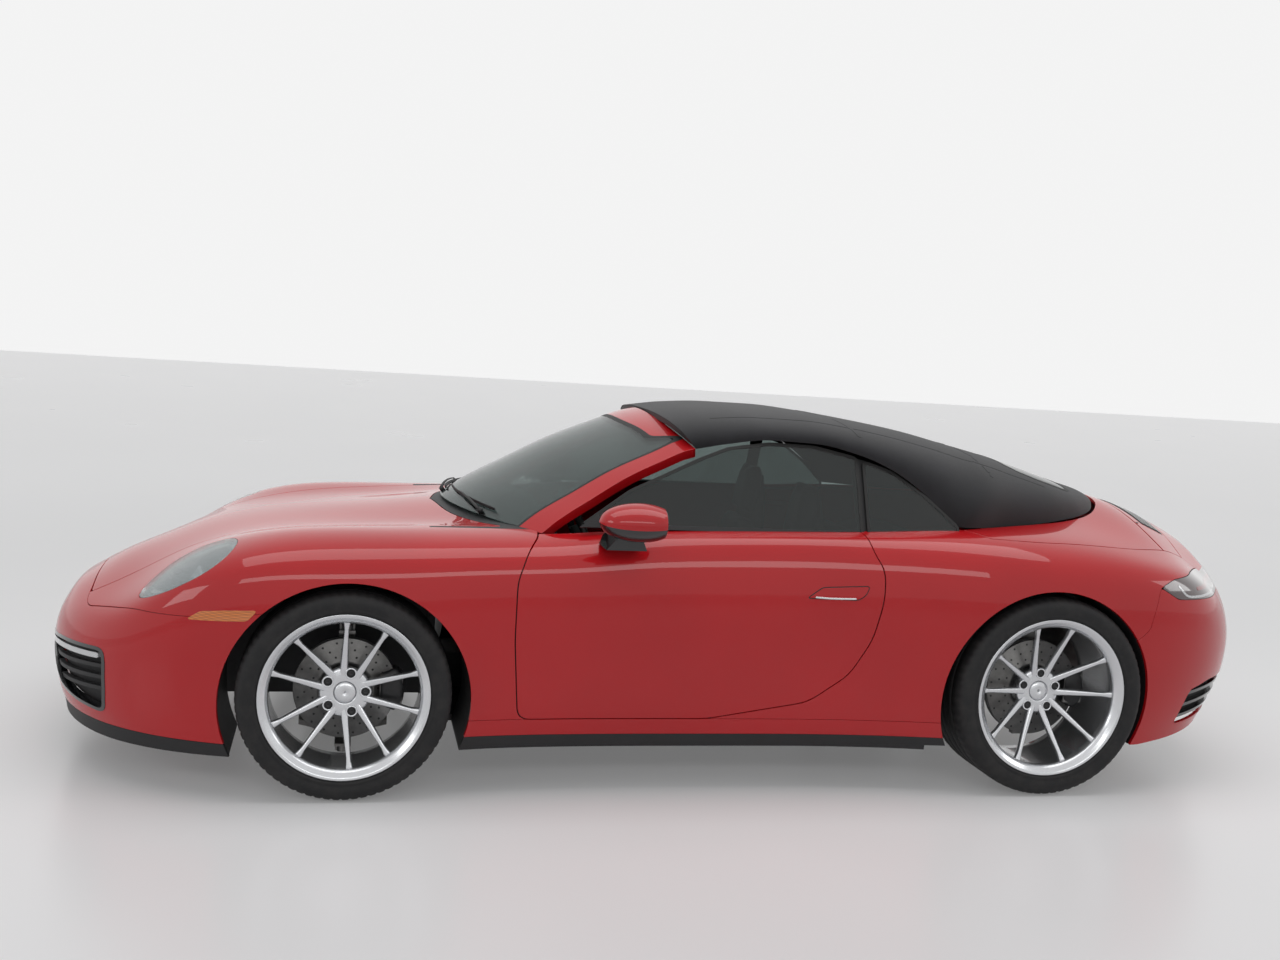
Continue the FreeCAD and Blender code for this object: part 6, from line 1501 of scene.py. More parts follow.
def build_wheels():
    """Slim spokes in five pairs, rims, hubs, drilled discs, calipers and tyres at the four corners."""
    for where, axle in AXLES.items():
        alloy = [barrel(axle), hub()]
        wells = []
        bolts = []
        for x, z, angle in bolt_places(axle):
            alloy += [spoke(axle, angle, 1), spoke(axle, angle, -1)]
            alloy.append(lathe([(0.0192, 0.030), (0.0192, 0.0440), (0.0178, 0.0462), (0.0142, 0.0460), (0.0134, 0.0440),
                                (0.0134, 0.030), (0.0192, 0.030)], 32, (x, 0, z)))
            # Painted shade: a near-black disc fills each bolt bore round the bolt head, in place of the shade deep in
            # the recess.
            wells.append(lathe([(0.0134, 0.0415), (0.0134, 0.0438), (0.0001, 0.0438), (0.0001, 0.0415),
                                (0.0134, 0.0415)], 32, (x, 0, z)))
            bolts.append(lathe([(0.0085, 0.0435), (0.0082, 0.0444), (0.0060, 0.0446), (0.0055, 0.0441),
                                (0.0001, 0.0441), (0.0001, 0.0435), (0.0085, 0.0435)], 6, (x, 0, z)))
        cap = lathe([(CAP_RADIUS, 0.031), (CAP_RADIUS, 0.041), (CAP_RADIUS - 0.002, 0.0435), (0.020, 0.0465),
                     (0.0001, 0.0475), (0.0001, 0.031), (CAP_RADIUS, 0.031)], 64)
        disc, holes = disc_parts(axle)
        for word, side in (("left", -1), ("right", 1)):
            body = f"wheel_{where}_{word}"
            plain(f"{body}_alloy", at_corner(alloy, axle, side), "alloy", body, "wheel_silver", body, sharp=32)
            plain(f"{body}_cap", at_corner([cap], axle, side), "alloy", body, "wheel_silver")
            plain(f"{body}_wells", at_corner(wells, axle, side), "soft_black", body, "black_trim")
            plain(f"{body}_bolts", at_corner(bolts, axle, side), "steel", body, "bright_steel")
            plain(f"{body}_disc", at_corner([disc], axle, side), "iron", body, "bare_iron")
            # Painted shade: the drillings are shallow dimples in a near-black finish, in place of the shade inside real
            # holes.
            plain(f"{body}_drillings", at_corner(holes, axle, side), "soft_black", body, "bare_iron")
            plain(f"tyre_{where}_{word}_rubber", at_corner([tyre(axle)], axle, side), "rubber", body, "tyre_rubber",
                  f"tyre_{where}_{word}", sharp=28)
            carrier = f"knuckle_{word}" if where == "front" else "body"
            plain(f"caliper_{where}_{word}", at_corner([caliper(axle)], axle, side), "caliper", carrier, "bare_iron")

# Windscreen, side glass and fabric top

SCREEN_PROFILE_SHARES = [
    (0, 0.6885), (0.095, 0.7263), (0.302, 0.7926), (0.548, 0.8682), (0.797, 0.9298), (0.923, 0.9591), (1, 0.9722),
]
SCREEN_RUN_SHARES = (0.2964, 0.4610)
SCREEN_WIDTH_SHARES = (0.757, 0.640)
SCREEN_SWEEP_SHARES = (0.0648, 0.0197)
SCREEN_DROP_SHARES = (0.0265, 0.078)
SCREEN_OPENING_SHARES = [
    (-0.700, 0.55), (-0.580, 0.882), (-0.45, 0.912), (-0.27, 0.933), (0, 0.9435), (0.27, 0.933), (0.45, 0.912),
    (0.580, 0.882), (0.700, 0.55),
]
FABRIC_EDGE_SHARES = [
    (0, 0.4815, 0.640, 0.893), (0.08, 0.5051, 0.654, 0.911), (0.18, 0.5405, 0.663, 0.9275),
    (0.28, 0.577, 0.672, 0.9244), (0.38, 0.6144, 0.691, 0.898), (0.46, 0.6403, 0.707, 0.863),
    (0.54, 0.6671, 0.729, 0.802), (0.62, 0.694, 0.769, 0.718), (0.70, 0.7465, 0.668, 0.713),
    (0.78, 0.804, 0.552, 0.725), (0.86, 0.8452, 0.42, 0.737), (0.94, 0.872, 0.26, 0.748), (1, 0.884, 0.13, 0.755),
]
FABRIC_RIDGE_SHARES = [
    (0, 0.4629, 0.9765), (0.08, 0.4956, 0.9923), (0.18, 0.5332, 0.9995), (0.28, 0.573, 0.9992),
    (0.38, 0.6151, 0.9877), (0.46, 0.6527, 0.9715), (0.54, 0.6925, 0.95), (0.62, 0.7324, 0.9198),
    (0.70, 0.77, 0.891), (0.78, 0.8076, 0.8558), (0.86, 0.8408, 0.8219), (0.94, 0.8718, 0.7934), (1, 0.8873, 0.760),
]
FABRIC_ROUND_POWER = 2.5
REAR_WINDOW_SHARES = [
    (0.775, -0.34), (0.775, 0.34), (0.782, 0.39), (0.80, 0.405), (0.83, 0.37), (0.838, 0.33), (0.838, -0.33),
    (0.83, -0.37), (0.80, -0.405), (0.782, -0.39),
]
DOOR_GLASS_SHARES = [
    (0.3735, 0.65), (0.427, 0.777), (0.4835, 0.867), (0.5066, 0.898), (0.5405, 0.915), (0.577, 0.912),
    (0.611, 0.888), (0.611, 0.65),
]
QUARTER_GLASS_SHARES = [
    (0.6175, 0.65), (0.6175, 0.879), (0.6403, 0.855), (0.6671, 0.793), (0.692, 0.718), (0.692, 0.65),
]
GLASS_BELT_SHARE = 0.690
GLASS_TOP_SHARE = 0.9244
GLASS_BELT_WIDTH_SHARE = 0.7937
GLASS_LEAN_SHARES = (0.140, 0.008)
GLASS_DEPTH = 0.006
FRAME_DEPTH = 0.034
FABRIC_DEPTH = 0.024
CLOTH_DEPTH = 0.0025
SAIL_END = -0.44
POST_SHARE = 0.6143
POST_HALF = 0.026
POST_TOP_SHARES = [(0.600, 0.655), (0.600, 0.900), (0.630, 0.878), (0.630, 0.655)]


class Surface(Skin):
    """Smooth surface through the points that place(a, b) gives on a grid, for a sheet to be cut from."""

    def __init__(self, place, columns, rows):
        a, b = np.meshgrid(np.linspace(0, 1, columns), np.linspace(0, 1, rows), indexing="ij")
        self.points = place(a, b)
        self.count = np.array([columns, rows])
        normal = np.cross(np.gradient(self.points, axis=0), np.gradient(self.points, axis=1))
        self.normals = normal / np.maximum(np.linalg.norm(normal, axis=-1, keepdims=True), 1e-12)


def blend(pair, share):
    return pair[0] + (pair[1] - pair[0]) * share


def from_shares(x, y, z):
    """Points from shares of length, half width and height."""
    return np.stack([NOSE_X + CAR_LENGTH * x, HALF_WIDTH * y, CAR_HEIGHT * z], -1)


def screen_place(a, b):
    """Windscreen: its ends sweep back and drop with the square of the distance from the middle."""
    side = 1 - 2 * a
    return from_shares(blend(SCREEN_RUN_SHARES, b) + blend(SCREEN_SWEEP_SHARES, b) * side**2,
                       blend(SCREEN_WIDTH_SHARES, b) * side,
                       curve(SCREEN_PROFILE_SHARES, b) - blend(SCREEN_DROP_SHARES, b) * side**2)


def fabric_place(a, b):
    """Fabric top: each section is a superellipse from the lower edge up to the centre line."""
    side = np.sin((0.5 - a) * np.pi)
    rise = (1 - np.abs(side) ** FABRIC_ROUND_POWER) ** (1 / FABRIC_ROUND_POWER)
    edge = [curve([(row[0], row[k]) for row in FABRIC_EDGE_SHARES], b) for k in (1, 2, 3)]
    ridge = [curve([(row[0], row[k]) for row in FABRIC_RIDGE_SHARES], b) for k in (1, 2)]
    return from_shares(edge[0] + (ridge[0] - edge[0]) * rise, edge[1] * side, edge[2] + (ridge[1] - edge[2]) * rise)


def side_glass_place(a, b):
    """Side glass: it leans in as it rises, a little more towards the top."""
    z = 0.64 + 0.31 * b
    up = (z - GLASS_BELT_SHARE) / (GLASS_TOP_SHARE - GLASS_BELT_SHARE)
    lean = GLASS_LEAN_SHARES[0] * up + GLASS_LEAN_SHARES[1] * up * np.abs(up)
    return from_shares(0.34 + 0.38 * a, lean - GLASS_BELT_WIDTH_SHARE, z)


def cut_out(surface, columns, rows, rule, *levels):
    """Sheet over a surface, cut at a distance rule's zero line and at more of its levels."""
    sheet = Sheet(surface, columns, rows)
    sheet.measure("edge", rule)
    for level in levels:
        sheet.cut("edge", rule, level)
    return sheet


def above_belt(sheet, rise=0.0):
    """True for the triangles over the line where the side glass comes out of the door."""
    return sheet.centres()[:, 2] > (GLASS_BELT_SHARE - 0.006) * CAR_HEIGHT + rise


def build_screen():
    """Windscreen glass with its dark border, the painted frame and the seal between them."""
    surface = Surface(screen_place, 81, 61)
    opening = [(y * HALF_WIDTH, z * CAR_HEIGHT) for y, z in SCREEN_OPENING_SHARES]
    rule = by_outline("front", through(np.array(opening)))
    sheet = cut_out(surface, 80, 54, rule, -0.032, -0.004, 0.004)
    piece("windscreen_glass", thick(sheet.take(sheet.within("edge", -0.004)), depth=GLASS_DEPTH), "window", "body",
          "clear_glass", "windscreen")
    border = sheet.within("edge", -0.004) & ~sheet.within("edge", -0.032)
    piece("windscreen_border", thick(sheet.take(border), lift=-GLASS_DEPTH - 0.0003, depth=0.0008), "gloss_black",
          "body", "black_trim")
    piece("windscreen_frame_skin", thick(sheet.take(~sheet.within("edge", 0.004)), depth=FRAME_DEPTH), "paint", "body",
          "body_paint", "windscreen_frame")
    seal = sheet.within("edge", 0.004) & ~sheet.within("edge", -0.004)
    piece("windscreen_seal", thick(sheet.take(seal), lift=0.0004, depth=0.014), "seal", "body", "black_trim")


def build_side_glass():
    """Door and quarter windows with a dark strip along the belt and a seal round their upper edges."""
    surface = Surface(side_glass_place, 61, 41)
    for name, table, nodes in (("door_glass", DOOR_GLASS_SHARES, ("door_glass_left", "door_glass_right")),
                               ("quarter_glass", QUARTER_GLASS_SHARES, ("quarter_glass", "quarter_glass"))):
        outline = rounded(side_places(table), 0.012)
        sheet = cut_out(surface, 104, 56, by_outline("side", outline), 0.007, -0.003)
        low = above_belt(sheet)
        glass = sheet.take(sheet.within("edge") & low)
        strip = sheet.take(sheet.within("edge") & low & ~above_belt(sheet, 0.014))
        seal = sheet.take(sheet.within("edge", 0.007) & ~sheet.within("edge", -0.003) & above_belt(sheet, 0.014))
        for (word, turn), node in zip(SIDES, nodes):
            body = f"door_{word}" if name == "door_glass" else "body"
            piece(f"{name}_pane_{word}", thick(turn(glass), depth=GLASS_DEPTH), "window", body, "clear_glass", node)
            piece(f"{name}_strip_{word}", thick(turn(strip), lift=0.0035, depth=0.0125), "black", body, "black_trim")
            piece(f"{name}_seal_{word}", thick(turn(seal), lift=0.0012, depth=0.008), "seal", body, "black_trim")
            if name == "door_glass":
                sail = sheet.take(sheet.within("edge") & low & (sheet.centres()[:, 0] < SAIL_END))
                piece(f"door_sail_{word}", thick(turn(sail), lift=0.002, depth=0.010), "black", body, "black_trim")
    sheet = Sheet(surface, 104, 56)
    sheet.measure("post", lambda points: np.abs(points[:, 0] - (NOSE_X + CAR_LENGTH * POST_SHARE)) - POST_HALF)
    sheet.measure("top", by_outline("side", rounded(side_places(POST_TOP_SHARES), 0.005)))
    post = sheet.take(sheet.within("post") & sheet.within("top"))
    piece("window_posts", closed_pair(post, lift=-GLASS_DEPTH - 0.003, depth=0.012), "black", "body", "black_trim")


def build_fabric():
    """Fabric top with its stitched seams, a dark lining under it and the glass rear window in its frame."""
    surface = Surface(fabric_place, 121, 111)
    outline = rounded(plan_places(REAR_WINDOW_SHARES))
    rule = by_outline("plan", outline)
    sheet = cut_out(surface, 111, 99, rule, 0.010, -0.006)
    cover = sheet.take(~sheet.within("edge", 0.010))
    cloth = piece("fabric_cover", thick(cover, depth=CLOTH_DEPTH), "cloth", "body", "top_fabric", "soft_top")
    points, faces = cover[0], cover[2]
    corners = points[faces]
    area = np.linalg.norm(np.cross(corners[:, 1] - corners[:, 0], corners[:, 2] - corners[:, 0]), axis=1).sum() / 2
    coarse = cut_out(surface, 67, 61, rule, 0.010)
    lining = coarse.take(~coarse.within("edge", 0.010))
    piece("fabric_lining", thick(lining, lift=-CLOTH_DEPTH - 0.0005, depth=FABRIC_DEPTH - 2 * CLOTH_DEPTH), "black",
          "body", "black_trim")
    piece("rear_window_pane", thick(sheet.take(sheet.within("edge", -0.006)), depth=GLASS_DEPTH), "privacy", "body",
          "clear_glass", "rear_window")
    frame_ring = sheet.within("edge", 0.010) & ~sheet.within("edge", -0.006)
    piece("rear_window_frame", thick(sheet.take(frame_ring), lift=0.0012, depth=0.018), "seal", "body", "black_trim")
    seams = []
    for share_x, share_y in ((0.615, 0.62), (0.735, 0.60)):
        line = [(NOSE_X + CAR_LENGTH * (share_x + 0.004 * y * y), y * HALF_WIDTH) for y in
                np.linspace(-share_y, share_y, 9)]
        seams.append(strip_rule("plan", line, 0.013))
    for side in (-1, 1):
        line = [(NOSE_X + CAR_LENGTH * x, side * y * HALF_WIDTH) for x, y in
                ((0.50, 0.50), (0.60, 0.52), (0.70, 0.52), (0.80, 0.46))]
        seams.append(strip_rule("plan", line, 0.011))
    seam_sheet = cut_out(surface, 151, 139, lambda points: np.min([seam(points) for seam in seams], axis=0))
    mask = seam_sheet.within("edge") & (seam_sheet.centres()[:, 2] > 0.80)
    piece("fabric_seams", thick(seam_sheet.take(mask), lift=0.0011, depth=0.002), "cloth", "body", "top_fabric")


def build_glass_and_top():
    build_screen()
    build_side_glass()
    build_fabric()

# Headlamps, mirrors, door handles, wipers and deck slats

LAMP_DISH_DEPTH = 0.050
MIRROR_CENTRE = (-0.350238, 0.946372, 0.937083)
MIRROR_HALF = (0.128, 0.080, 0.062)
MIRROR_GLASS_X = 0.08192


def aimed(parts, place, direction):
    """Parts drawn about the Y axis, turned so that their outer side faces a direction, and moved to a place."""
    turn = np.array(Vector((0, 1, 0)).rotation_difference(Vector(direction)).to_matrix())
    return [(points.reshape(-1, 3) @ turn.T + np.asarray(place), faces) for points, faces in parts]


def dome(radius, height, base=0.004):
    """Glass dome on a short round base."""
    turn = np.linspace(0, np.pi / 2, 9)
    profile = [(0.0001, -base), (radius, -base)]
    profile += [(max(radius * math.cos(a), 0.0001), height * math.sin(a)) for a in turn] + [(0.0001, -base)]
    return lathe(profile, 40)


def build_headlamps():
    """Clear cover over a dark dish that deepens from its edge, with a round lens and four small ones around it."""
    _, sheet, parts = skin_parts()
    points, normals, faces = sheet.take(parts["lamp"])
    piece("headlamp_covers", closed_pair((points, normals, faces), depth=0.003), "lamp_cover", "body", "lamp_glass",
          "headlamps")
    edge_rule = outline_rules()["lamp"]
    inside_edge = np.maximum(-edge_rule(points), 0)[:, None]
    dish = points - normals * (0.005 + LAMP_DISH_DEPTH * (1 - np.exp(-inside_edge / 0.018)))
    plain("headlamp_dishes", [(dish, [faces]), (dish * ACROSS, [faces[:, ::-1]])], "black", "body", "black_trim")
    low, high = points.min(0) - 0.01, points.max(0) + 0.01
    rim_ring = patch(low, high, lambda spots: np.abs(edge_rule(spots) + 0.006) - 0.0035, -0.006, 0.003, 120, 72)
    piece("headlamp_rims", both_sides(rim_ring), "gloss_black", "body", "gloss_black")
    bar = strip_rule("side", [(-1.885, 0.640), (-1.850, 0.646), (-1.815, 0.654), (-1.795, 0.668)], 0.009)
    low_bar = patch(low, high, lambda spots: np.maximum(bar(spots), edge_rule(spots) + 0.010), -0.018, 0.004, 120, 72)
    top_bar = patch(low, high, lambda spots: np.maximum.reduce([
        np.abs(edge_rule(spots) + 0.017) - 0.0045, -1.76 - spots[:, 0], -0.735 - spots[:, 1]]), -0.014, 0.004, 120, 72)
    piece("headlamp_light_bars", both_sides(low_bar, top_bar), "white_lens", "body", "lamp_glass")
    nearest = np.linalg.norm(points - [-1.742, -0.725, 0.722], axis=1).argmin()
    middle, out = points[nearest], normals[nearest]
    facing = out * 0.8 + np.array([-0.6, 0, 0])
    facing /= np.linalg.norm(facing)
    across = np.cross(facing, [0, 0, 1])
    across /= np.linalg.norm(across)
    rise = np.cross(across, facing)
    rings = []
    lenses = []
    for radius, shift_across, shift_up in ((0.026, 0, 0), (0.010, 0.036, 0.018), (0.010, 0.036, -0.018),
                                           (0.010, -0.036, 0.018), (0.010, -0.036, -0.018)):
        spot = middle - out * 0.040 + across * shift_across + rise * shift_up
        ring = lathe([(radius, -0.006), (radius + 0.004, -0.006), (radius + 0.004, 0.001), (radius + 0.002, 0.003),
                      (radius, 0.002), (radius, -0.006)], 40)
        rings += aimed([ring], spot, facing)
        lenses += aimed([dome(radius - 0.0005, radius * 0.45)], spot, facing)
    plain("headlamp_lens_rings", rings + flipped(rings), "reflector", "body", "bright_steel")
    plain("headlamp_lenses", lenses + flipped(lenses), "lamp_cover", "body", "lamp_glass")


def build_mirrors():
    """Painted upper shell on each mirror and the mirror glass in its rim."""
    grow = np.array(MIRROR_HALF) + 0.0008
    centre = np.array(MIRROR_CENTRE) * [1, -1, 1]

    def shell(a, b):
        angle = np.radians(-12 + 204 * a)
        run = -0.998 + (0.998 + MIRROR_GLASS_X / MIRROR_HALF[0] - 0.012) * b
        size = np.sqrt(1 - run**2)
        return np.stack([grow[0] * run, grow[1] * size * np.cos(angle), grow[2] * size * np.sin(angle)], -1) + centre

    sheet = Sheet(Surface(shell, 61, 41), 40, 30)
    shape = sheet.take(np.ones(len(sheet.centres()), dtype=bool))
    radius = math.sqrt(1 - (MIRROR_GLASS_X / MIRROR_HALF[0]) ** 2)
    rim_profile = [(0.0001, 0.0), (0.90, 0.0), (0.92, 0.0022), (0.90, 0.0030), (0.885, 0.0012), (0.885, 0.0),
                   (0.0001, 0.0)]
    glass_profile = [(0.0001, 0.0003), (0.884, 0.0003), (0.884, 0.0016), (0.0001, 0.0016), (0.0001, 0.0003)]
    for (word, turn), side in zip(SIDES, (-1, 1)):
        body = f"mirror_{word}"
        piece(f"mirror_shell_{word}", thick(turn(shape), lift=0.0016, depth=0.0022), "paint", body, "body_paint")
        place = [centre[0] + MIRROR_GLASS_X, side * -centre[1], centre[2] + 0.003]
        for name, profile, finish, slot in (("rim", rim_profile, "gloss_black", "gloss_black"),
                                            ("glass", glass_profile, "chrome", "bright_steel")):
            points, faces = lathe(profile, 64)
            across, out, up = (points.reshape(-1, 3) * [MIRROR_HALF[1] * radius, 1, MIRROR_HALF[2] * radius]).T
            plain(f"mirror_{name}_{word}", [(np.stack([out, across, up], -1) + place, faces)], finish, body, slot)


def build_handles():
    """Flush door handles: a thin outline, a raised pad and a bright strip under it."""
    outline = rounded(np.array([(0.269, 0.690), (0.322, 0.728), (0.490, 0.737), (0.478, 0.706), (0.451, 0.688)]),
                      0.012, 0.003)
    low, high = np.array([0.24, -0.95, 0.66]), np.array([0.52, -0.8, 0.76])
    rule = by_outline("side", outline)
    line = patch(low, high, lambda points: np.abs(rule(points)) - 0.0013, 0.0005, 0.0022, 140, 62)
    pad = patch(low, high, lambda points: rule(points) + 0.0022, 0.0018, 0.004, 70, 36)
    strip = patch(low, high, strip_rule("side", [(0.300, 0.694), (0.36, 0.6915), (0.440, 0.6925)], 0.0045), 0.0026,
                  0.003, 140, 62)
    for word, turn in (("left", lambda shape: shape), ("right", reflect)):
        body = f"door_{word}"
        piece(f"handle_line_{word}", turn(line), "seal", body, "black_trim")
        piece(f"handle_pad_{word}", turn(pad), "paint", body, "body_paint")
        piece(f"handle_strip_{word}", turn(strip), "chrome", body, "bright_steel")


def build_wipers():
    """Two wipers at rest along the foot of the windscreen."""
    surface = Surface(screen_place, 81, 61)
    grid = surface.count - 1
    arms = []
    blades = []
    for start, end, lift in ((0.155, 0.475, 0.0), (0.515, 0.835, 0.010)):
        share = np.linspace(0, 1, 15)
        spots = np.stack([start + (end - start) * share, 0.050 + lift - 0.018 * share], -1)
        place = surface.at(spots * grid)
        away = surface.normal(spots * grid)
        blades.append(round_bar(place + away * 0.0065, 0.0038, 10, squash=1.3))
        blades.append(round_bar(place + away * 0.0125, 0.0026, 8))
        middle = place[6] + away[6] * 0.020
        foot_spot = np.array([[end - 0.035, 0.012]]) * grid
        foot = surface.at(foot_spot)[0] + surface.normal(foot_spot)[0] * 0.012
        share = np.linspace(0, 1, 9)[:, None]
        path = foot + (middle - foot) * share + away[6] * 0.010 * np.sin(np.pi * share)
        arms.append(round_bar(path, np.linspace(0.0065, 0.0035, 9), 12, squash=0.7))
        arms.append(round_bar([middle, place[6] + away[6] * 0.012], 0.0034, 10))
        down = surface.normal(foot_spot)[0] * 0.016
        arms.append(round_bar([foot - down, foot + down * 0.15], 0.009, 20))
    plain("wiper_blades", blades, "soft_black", "body", "black_trim")
    plain("wiper_arms", arms, "black", "body", "black_trim")


def build_deck_slats():
    """Dark vent with cross slats on the engine lid."""
    low, high = np.array([1.79, -0.45, 0.85]), np.array([2.05, 0.0, 1.02])
    outline = rounded(np.array([(1.842, 0.08), (1.846, -0.34), (1.862, -0.352), (1.958, -0.335), (1.965, 0.08)]),
                      0.012, 0.004)
    rule = by_outline("plan", outline)
    well = patch(low, high, rule, 0.0008, 0.003, 70, 50)
    slats = []
    for x in (1.860, 1.880, 1.900, 1.920, 1.940):
        edge = strip_rule("plan", [(x, 0.06), (x, -0.15), (x, -0.345)], 0.008)
        slats.append(patch(low, high, lambda points, edge=edge: np.maximum(edge(points), rule(points) + 0.006), 0.0034,
                           0.003, 100, 50))
    piece("deck_vent_well", both_sides(well), "soft_black", "engine_lid", "black_trim")
    piece("deck_vent_slats", both_sides(*slats), "gloss_black", "engine_lid", "gloss_black")


def build_trim():
    build_headlamps()
    build_mirrors()
    build_handles()
    build_wipers()
    build_deck_slats()

# Cabin

SEAT_Y = 0.355
PAD_VOXEL = 0.006
PAD_SHARE_KEPT = 0.08
STUFFING_PRESSURE = 4.0
STUFFING_FRAMES = 20
FLOOR_TOP = 0.172
WHEEL_CENTRE = (-0.4325, -0.355, 0.8)
WHEEL_LEAN = 24.0
WHEEL_RADIUS = 0.180
DASH_FRONT = -0.9525
DASH_PROFILE = [
    (0.012, 0.43), (0.012, 0.605), (0.10, 0.628), (0.25, 0.640), (0.36, 0.622), (0.412, 0.596), (0.420, 0.545),
    (0.405, 0.49), (0.325, 0.425), (0.20, 0.315), (0.17, 0.33), (0.10, 0.40),
]


def sweep_pad(spine, widths, depths, bolster=0.0, middle=-SEAT_Y, rows=28, columns=48):
    """Closed pad: a rounded section is carried along a bent line, with its front edges raised at both sides."""
    share = np.linspace(0, 1, rows)
    knots = np.linspace(0, 1, len(spine))
    line = np.stack([curve(list(zip(knots, [place[k] for place in spine])), share) for k in (0, 1)], -1)
    wide = curve(list(zip(np.linspace(0, 1, len(widths)), widths)), share)
    deep = curve(list(zip(np.linspace(0, 1, len(depths)), depths)), share)
    run = np.gradient(line, axis=0)
    run /= np.linalg.norm(run, axis=1, keepdims=True)
    front = np.stack([-run[:, 1], run[:, 0]], -1)
    sway, rise = pad_section(np.linspace(0, 2 * np.pi, columns, endpoint=False), 0.55)
    out = deep[:, None] * rise + bolster * (np.abs(sway) ** 5 * np.clip(rise, 0, 1))
    points = np.stack([line[:, :1] + front[:, :1] * out, middle + wide[:, None] * sway,
                       line[:, 1:] + front[:, 1:] * out], -1)
    return points.reshape(-1, 3), tube_faces(rows, columns)


def places_of(thing):
    flat = np.empty(len(thing.data.vertices) * 3, dtype=np.float32)
    thing.data.vertices.foreach_get("co", flat)
    return flat.reshape(-1, 3)


def swell(thing, limit):
    """Stuffs a pad: it is remeshed finely and blown up by simulation, no point moving further than the limit."""
    bake_modifier(thing, "REMESH", mode="VOXEL", voxel_size=PAD_VOXEL)
    start = places_of(thing)
    cloth = thing.modifiers.new("Stuffing", "CLOTH")
    cloth.settings.use_pressure = True
    cloth.settings.uniform_pressure_force = STUFFING_PRESSURE
    cloth.settings.effector_weights.gravity = 0.0
    scene = bpy.context.scene
    for step in range(1, STUFFING_FRAMES + 1):
        scene.frame_set(step)
    held = places_of(thing.evaluated_get(bpy.context.evaluated_depsgraph_get()))
    thing.modifiers.remove(cloth)
    scene.frame_set(1)
    move = held - start
    far = np.linalg.norm(move, axis=1, keepdims=True)
    thing.data.vertices.foreach_set("co", (start + move * np.minimum(1, limit / np.maximum(far, 1e-9))).ravel())
    thing.data.update()
    bake_modifier(thing, "SUBSURF", levels=1, render_levels=1)
    bake_modifier(thing, "DECIMATE", ratio=PAD_SHARE_KEPT)
    thing.data.shade_smooth()
    return thing


def pads(name, shape, limit, node):
    """A stuffed leather pad on the driver's side and its twin on the passenger's."""
    thing = swell(make_object(f"{name}_left", *shape, material("leather")), limit)
    twin = thing.copy()
    twin.data = thing.data.copy()
    twin.name = f"{name}_right"
    bpy.context.scene.collection.objects.link(twin)
    twin.data.transform(Matrix.Scale(-1, 4, (0, 1, 0)))
    twin.data.flip_normals()
    for word, part in (("left", thing), ("right", twin)):
        fit(part, "body", "seat_leather", *([node.format(word)] if node else []))


def build_seats():
    """Front seats with bolsters and high backs, the small rear seats and their shells."""
    pads("seat_cushion", sweep_pad([(0.225, 0.268), (0.02, 0.272), (-0.17, 0.292)], [0.195, 0.205, 0.200, 0.175],
                                   [0.040, 0.042, 0.036], bolster=0.022), 0.016, "seat_{}")
    pads("seat_back", sweep_pad([(0.300, 0.345), (0.345, 0.60), (0.388, 0.815)], [0.185, 0.200, 0.195, 0.135],
                                [0.030, 0.030, 0.028], bolster=0.020), 0.014, None)
    pads("seat_headrest", sweep_pad([(0.392, 0.838), (0.412, 0.93), (0.421, 1.028)], [0.120, 0.118, 0.090],
                                    [0.026, 0.028, 0.018]), 0.012, None)
    pads("rear_cushion", sweep_pad([(0.625, 0.335), (0.50, 0.348)], [0.185, 0.185], [0.026, 0.028]), 0.014, None)
    pads("rear_back", sweep_pad([(0.648, 0.400), (0.672, 0.55), (0.678, 0.685)], [0.185, 0.180, 0.160],
                                [0.014, 0.014, 0.012]), 0.010, None)
    shells = []
    benches = []
    for side in (-1, 1):
        middle = side * SEAT_Y
        shells += [sweep_pad([(0.30, 0.205), (0.0, 0.205), (-0.175, 0.215)], [0.20, 0.21, 0.19], [0.026, 0.030, 0.026],
                             middle=middle),
                   sweep_pad([(0.345, 0.33), (0.395, 0.60), (0.432, 0.84), (0.446, 0.99)], [0.20, 0.21, 0.17, 0.085],
                             [0.016, 0.018, 0.016, 0.008], middle=middle)]
        benches += [rounded_block((0.482, middle - 0.21, 0.176), (0.66, middle + 0.21, 0.320), 0.02),
                    rounded_block((0.672, middle - 0.21, 0.30), (0.698, middle + 0.21, 0.705), 0.012)]
    plain("seat_shells", shells, "soft_black", "body", "cabin_plastic")
    plain("rear_seat_shells", benches, "soft_black", "body", "cabin_plastic", "rear_seats")


def build_steering_wheel():
    """Leather rim, three slim spokes and a round boss, drawn flat and then leaned back."""
    lean = math.radians(WHEEL_LEAN)
    toward = np.array([math.cos(lean), 0, math.sin(lean)])
    up = np.array([-math.sin(lean), 0, math.cos(lean)])
    turn = np.stack([[0, -1, 0], toward, up])

    def place(parts):
        return [(points.reshape(-1, 3) @ turn + WHEEL_CENTRE, faces) for points, faces in parts]

    angles = np.linspace(0, 2 * np.pi, 25)
    tube = [(WHEEL_RADIUS + 0.0148 * math.cos(a), 0.0135 * math.sin(a)) for a in angles]
    plain("steering_rim", place([lathe(tube, 96)]), "leather", "steering_wheel", "seat_leather",
          "steering_wheel")
    boss = lathe([(0.0001, -0.022), (0.044, -0.022), (0.047, -0.004), (0.046, 0.010), (0.038, 0.0165), (0.0001, 0.019),
                  (0.0001, -0.022)], 48)
    plain("steering_boss", place([boss]), "soft_black", "steering_wheel", "cabin_plastic")
    spokes = []
    for angle in (math.radians(4), math.radians(176), math.radians(-90)):
        reach = np.linspace(0.038, WHEEL_RADIUS - 0.006, 7)
        path = np.stack([reach * math.cos(angle), -0.004 + 0.004 * np.sin(reach * 17), reach * math.sin(angle)], -1)
        spokes.append(round_bar(path, np.linspace(0.015, 0.010, 7), 16, squash=0.45))
    plain("steering_spokes", place(spokes), "barrel", "steering_wheel", "bright_steel")


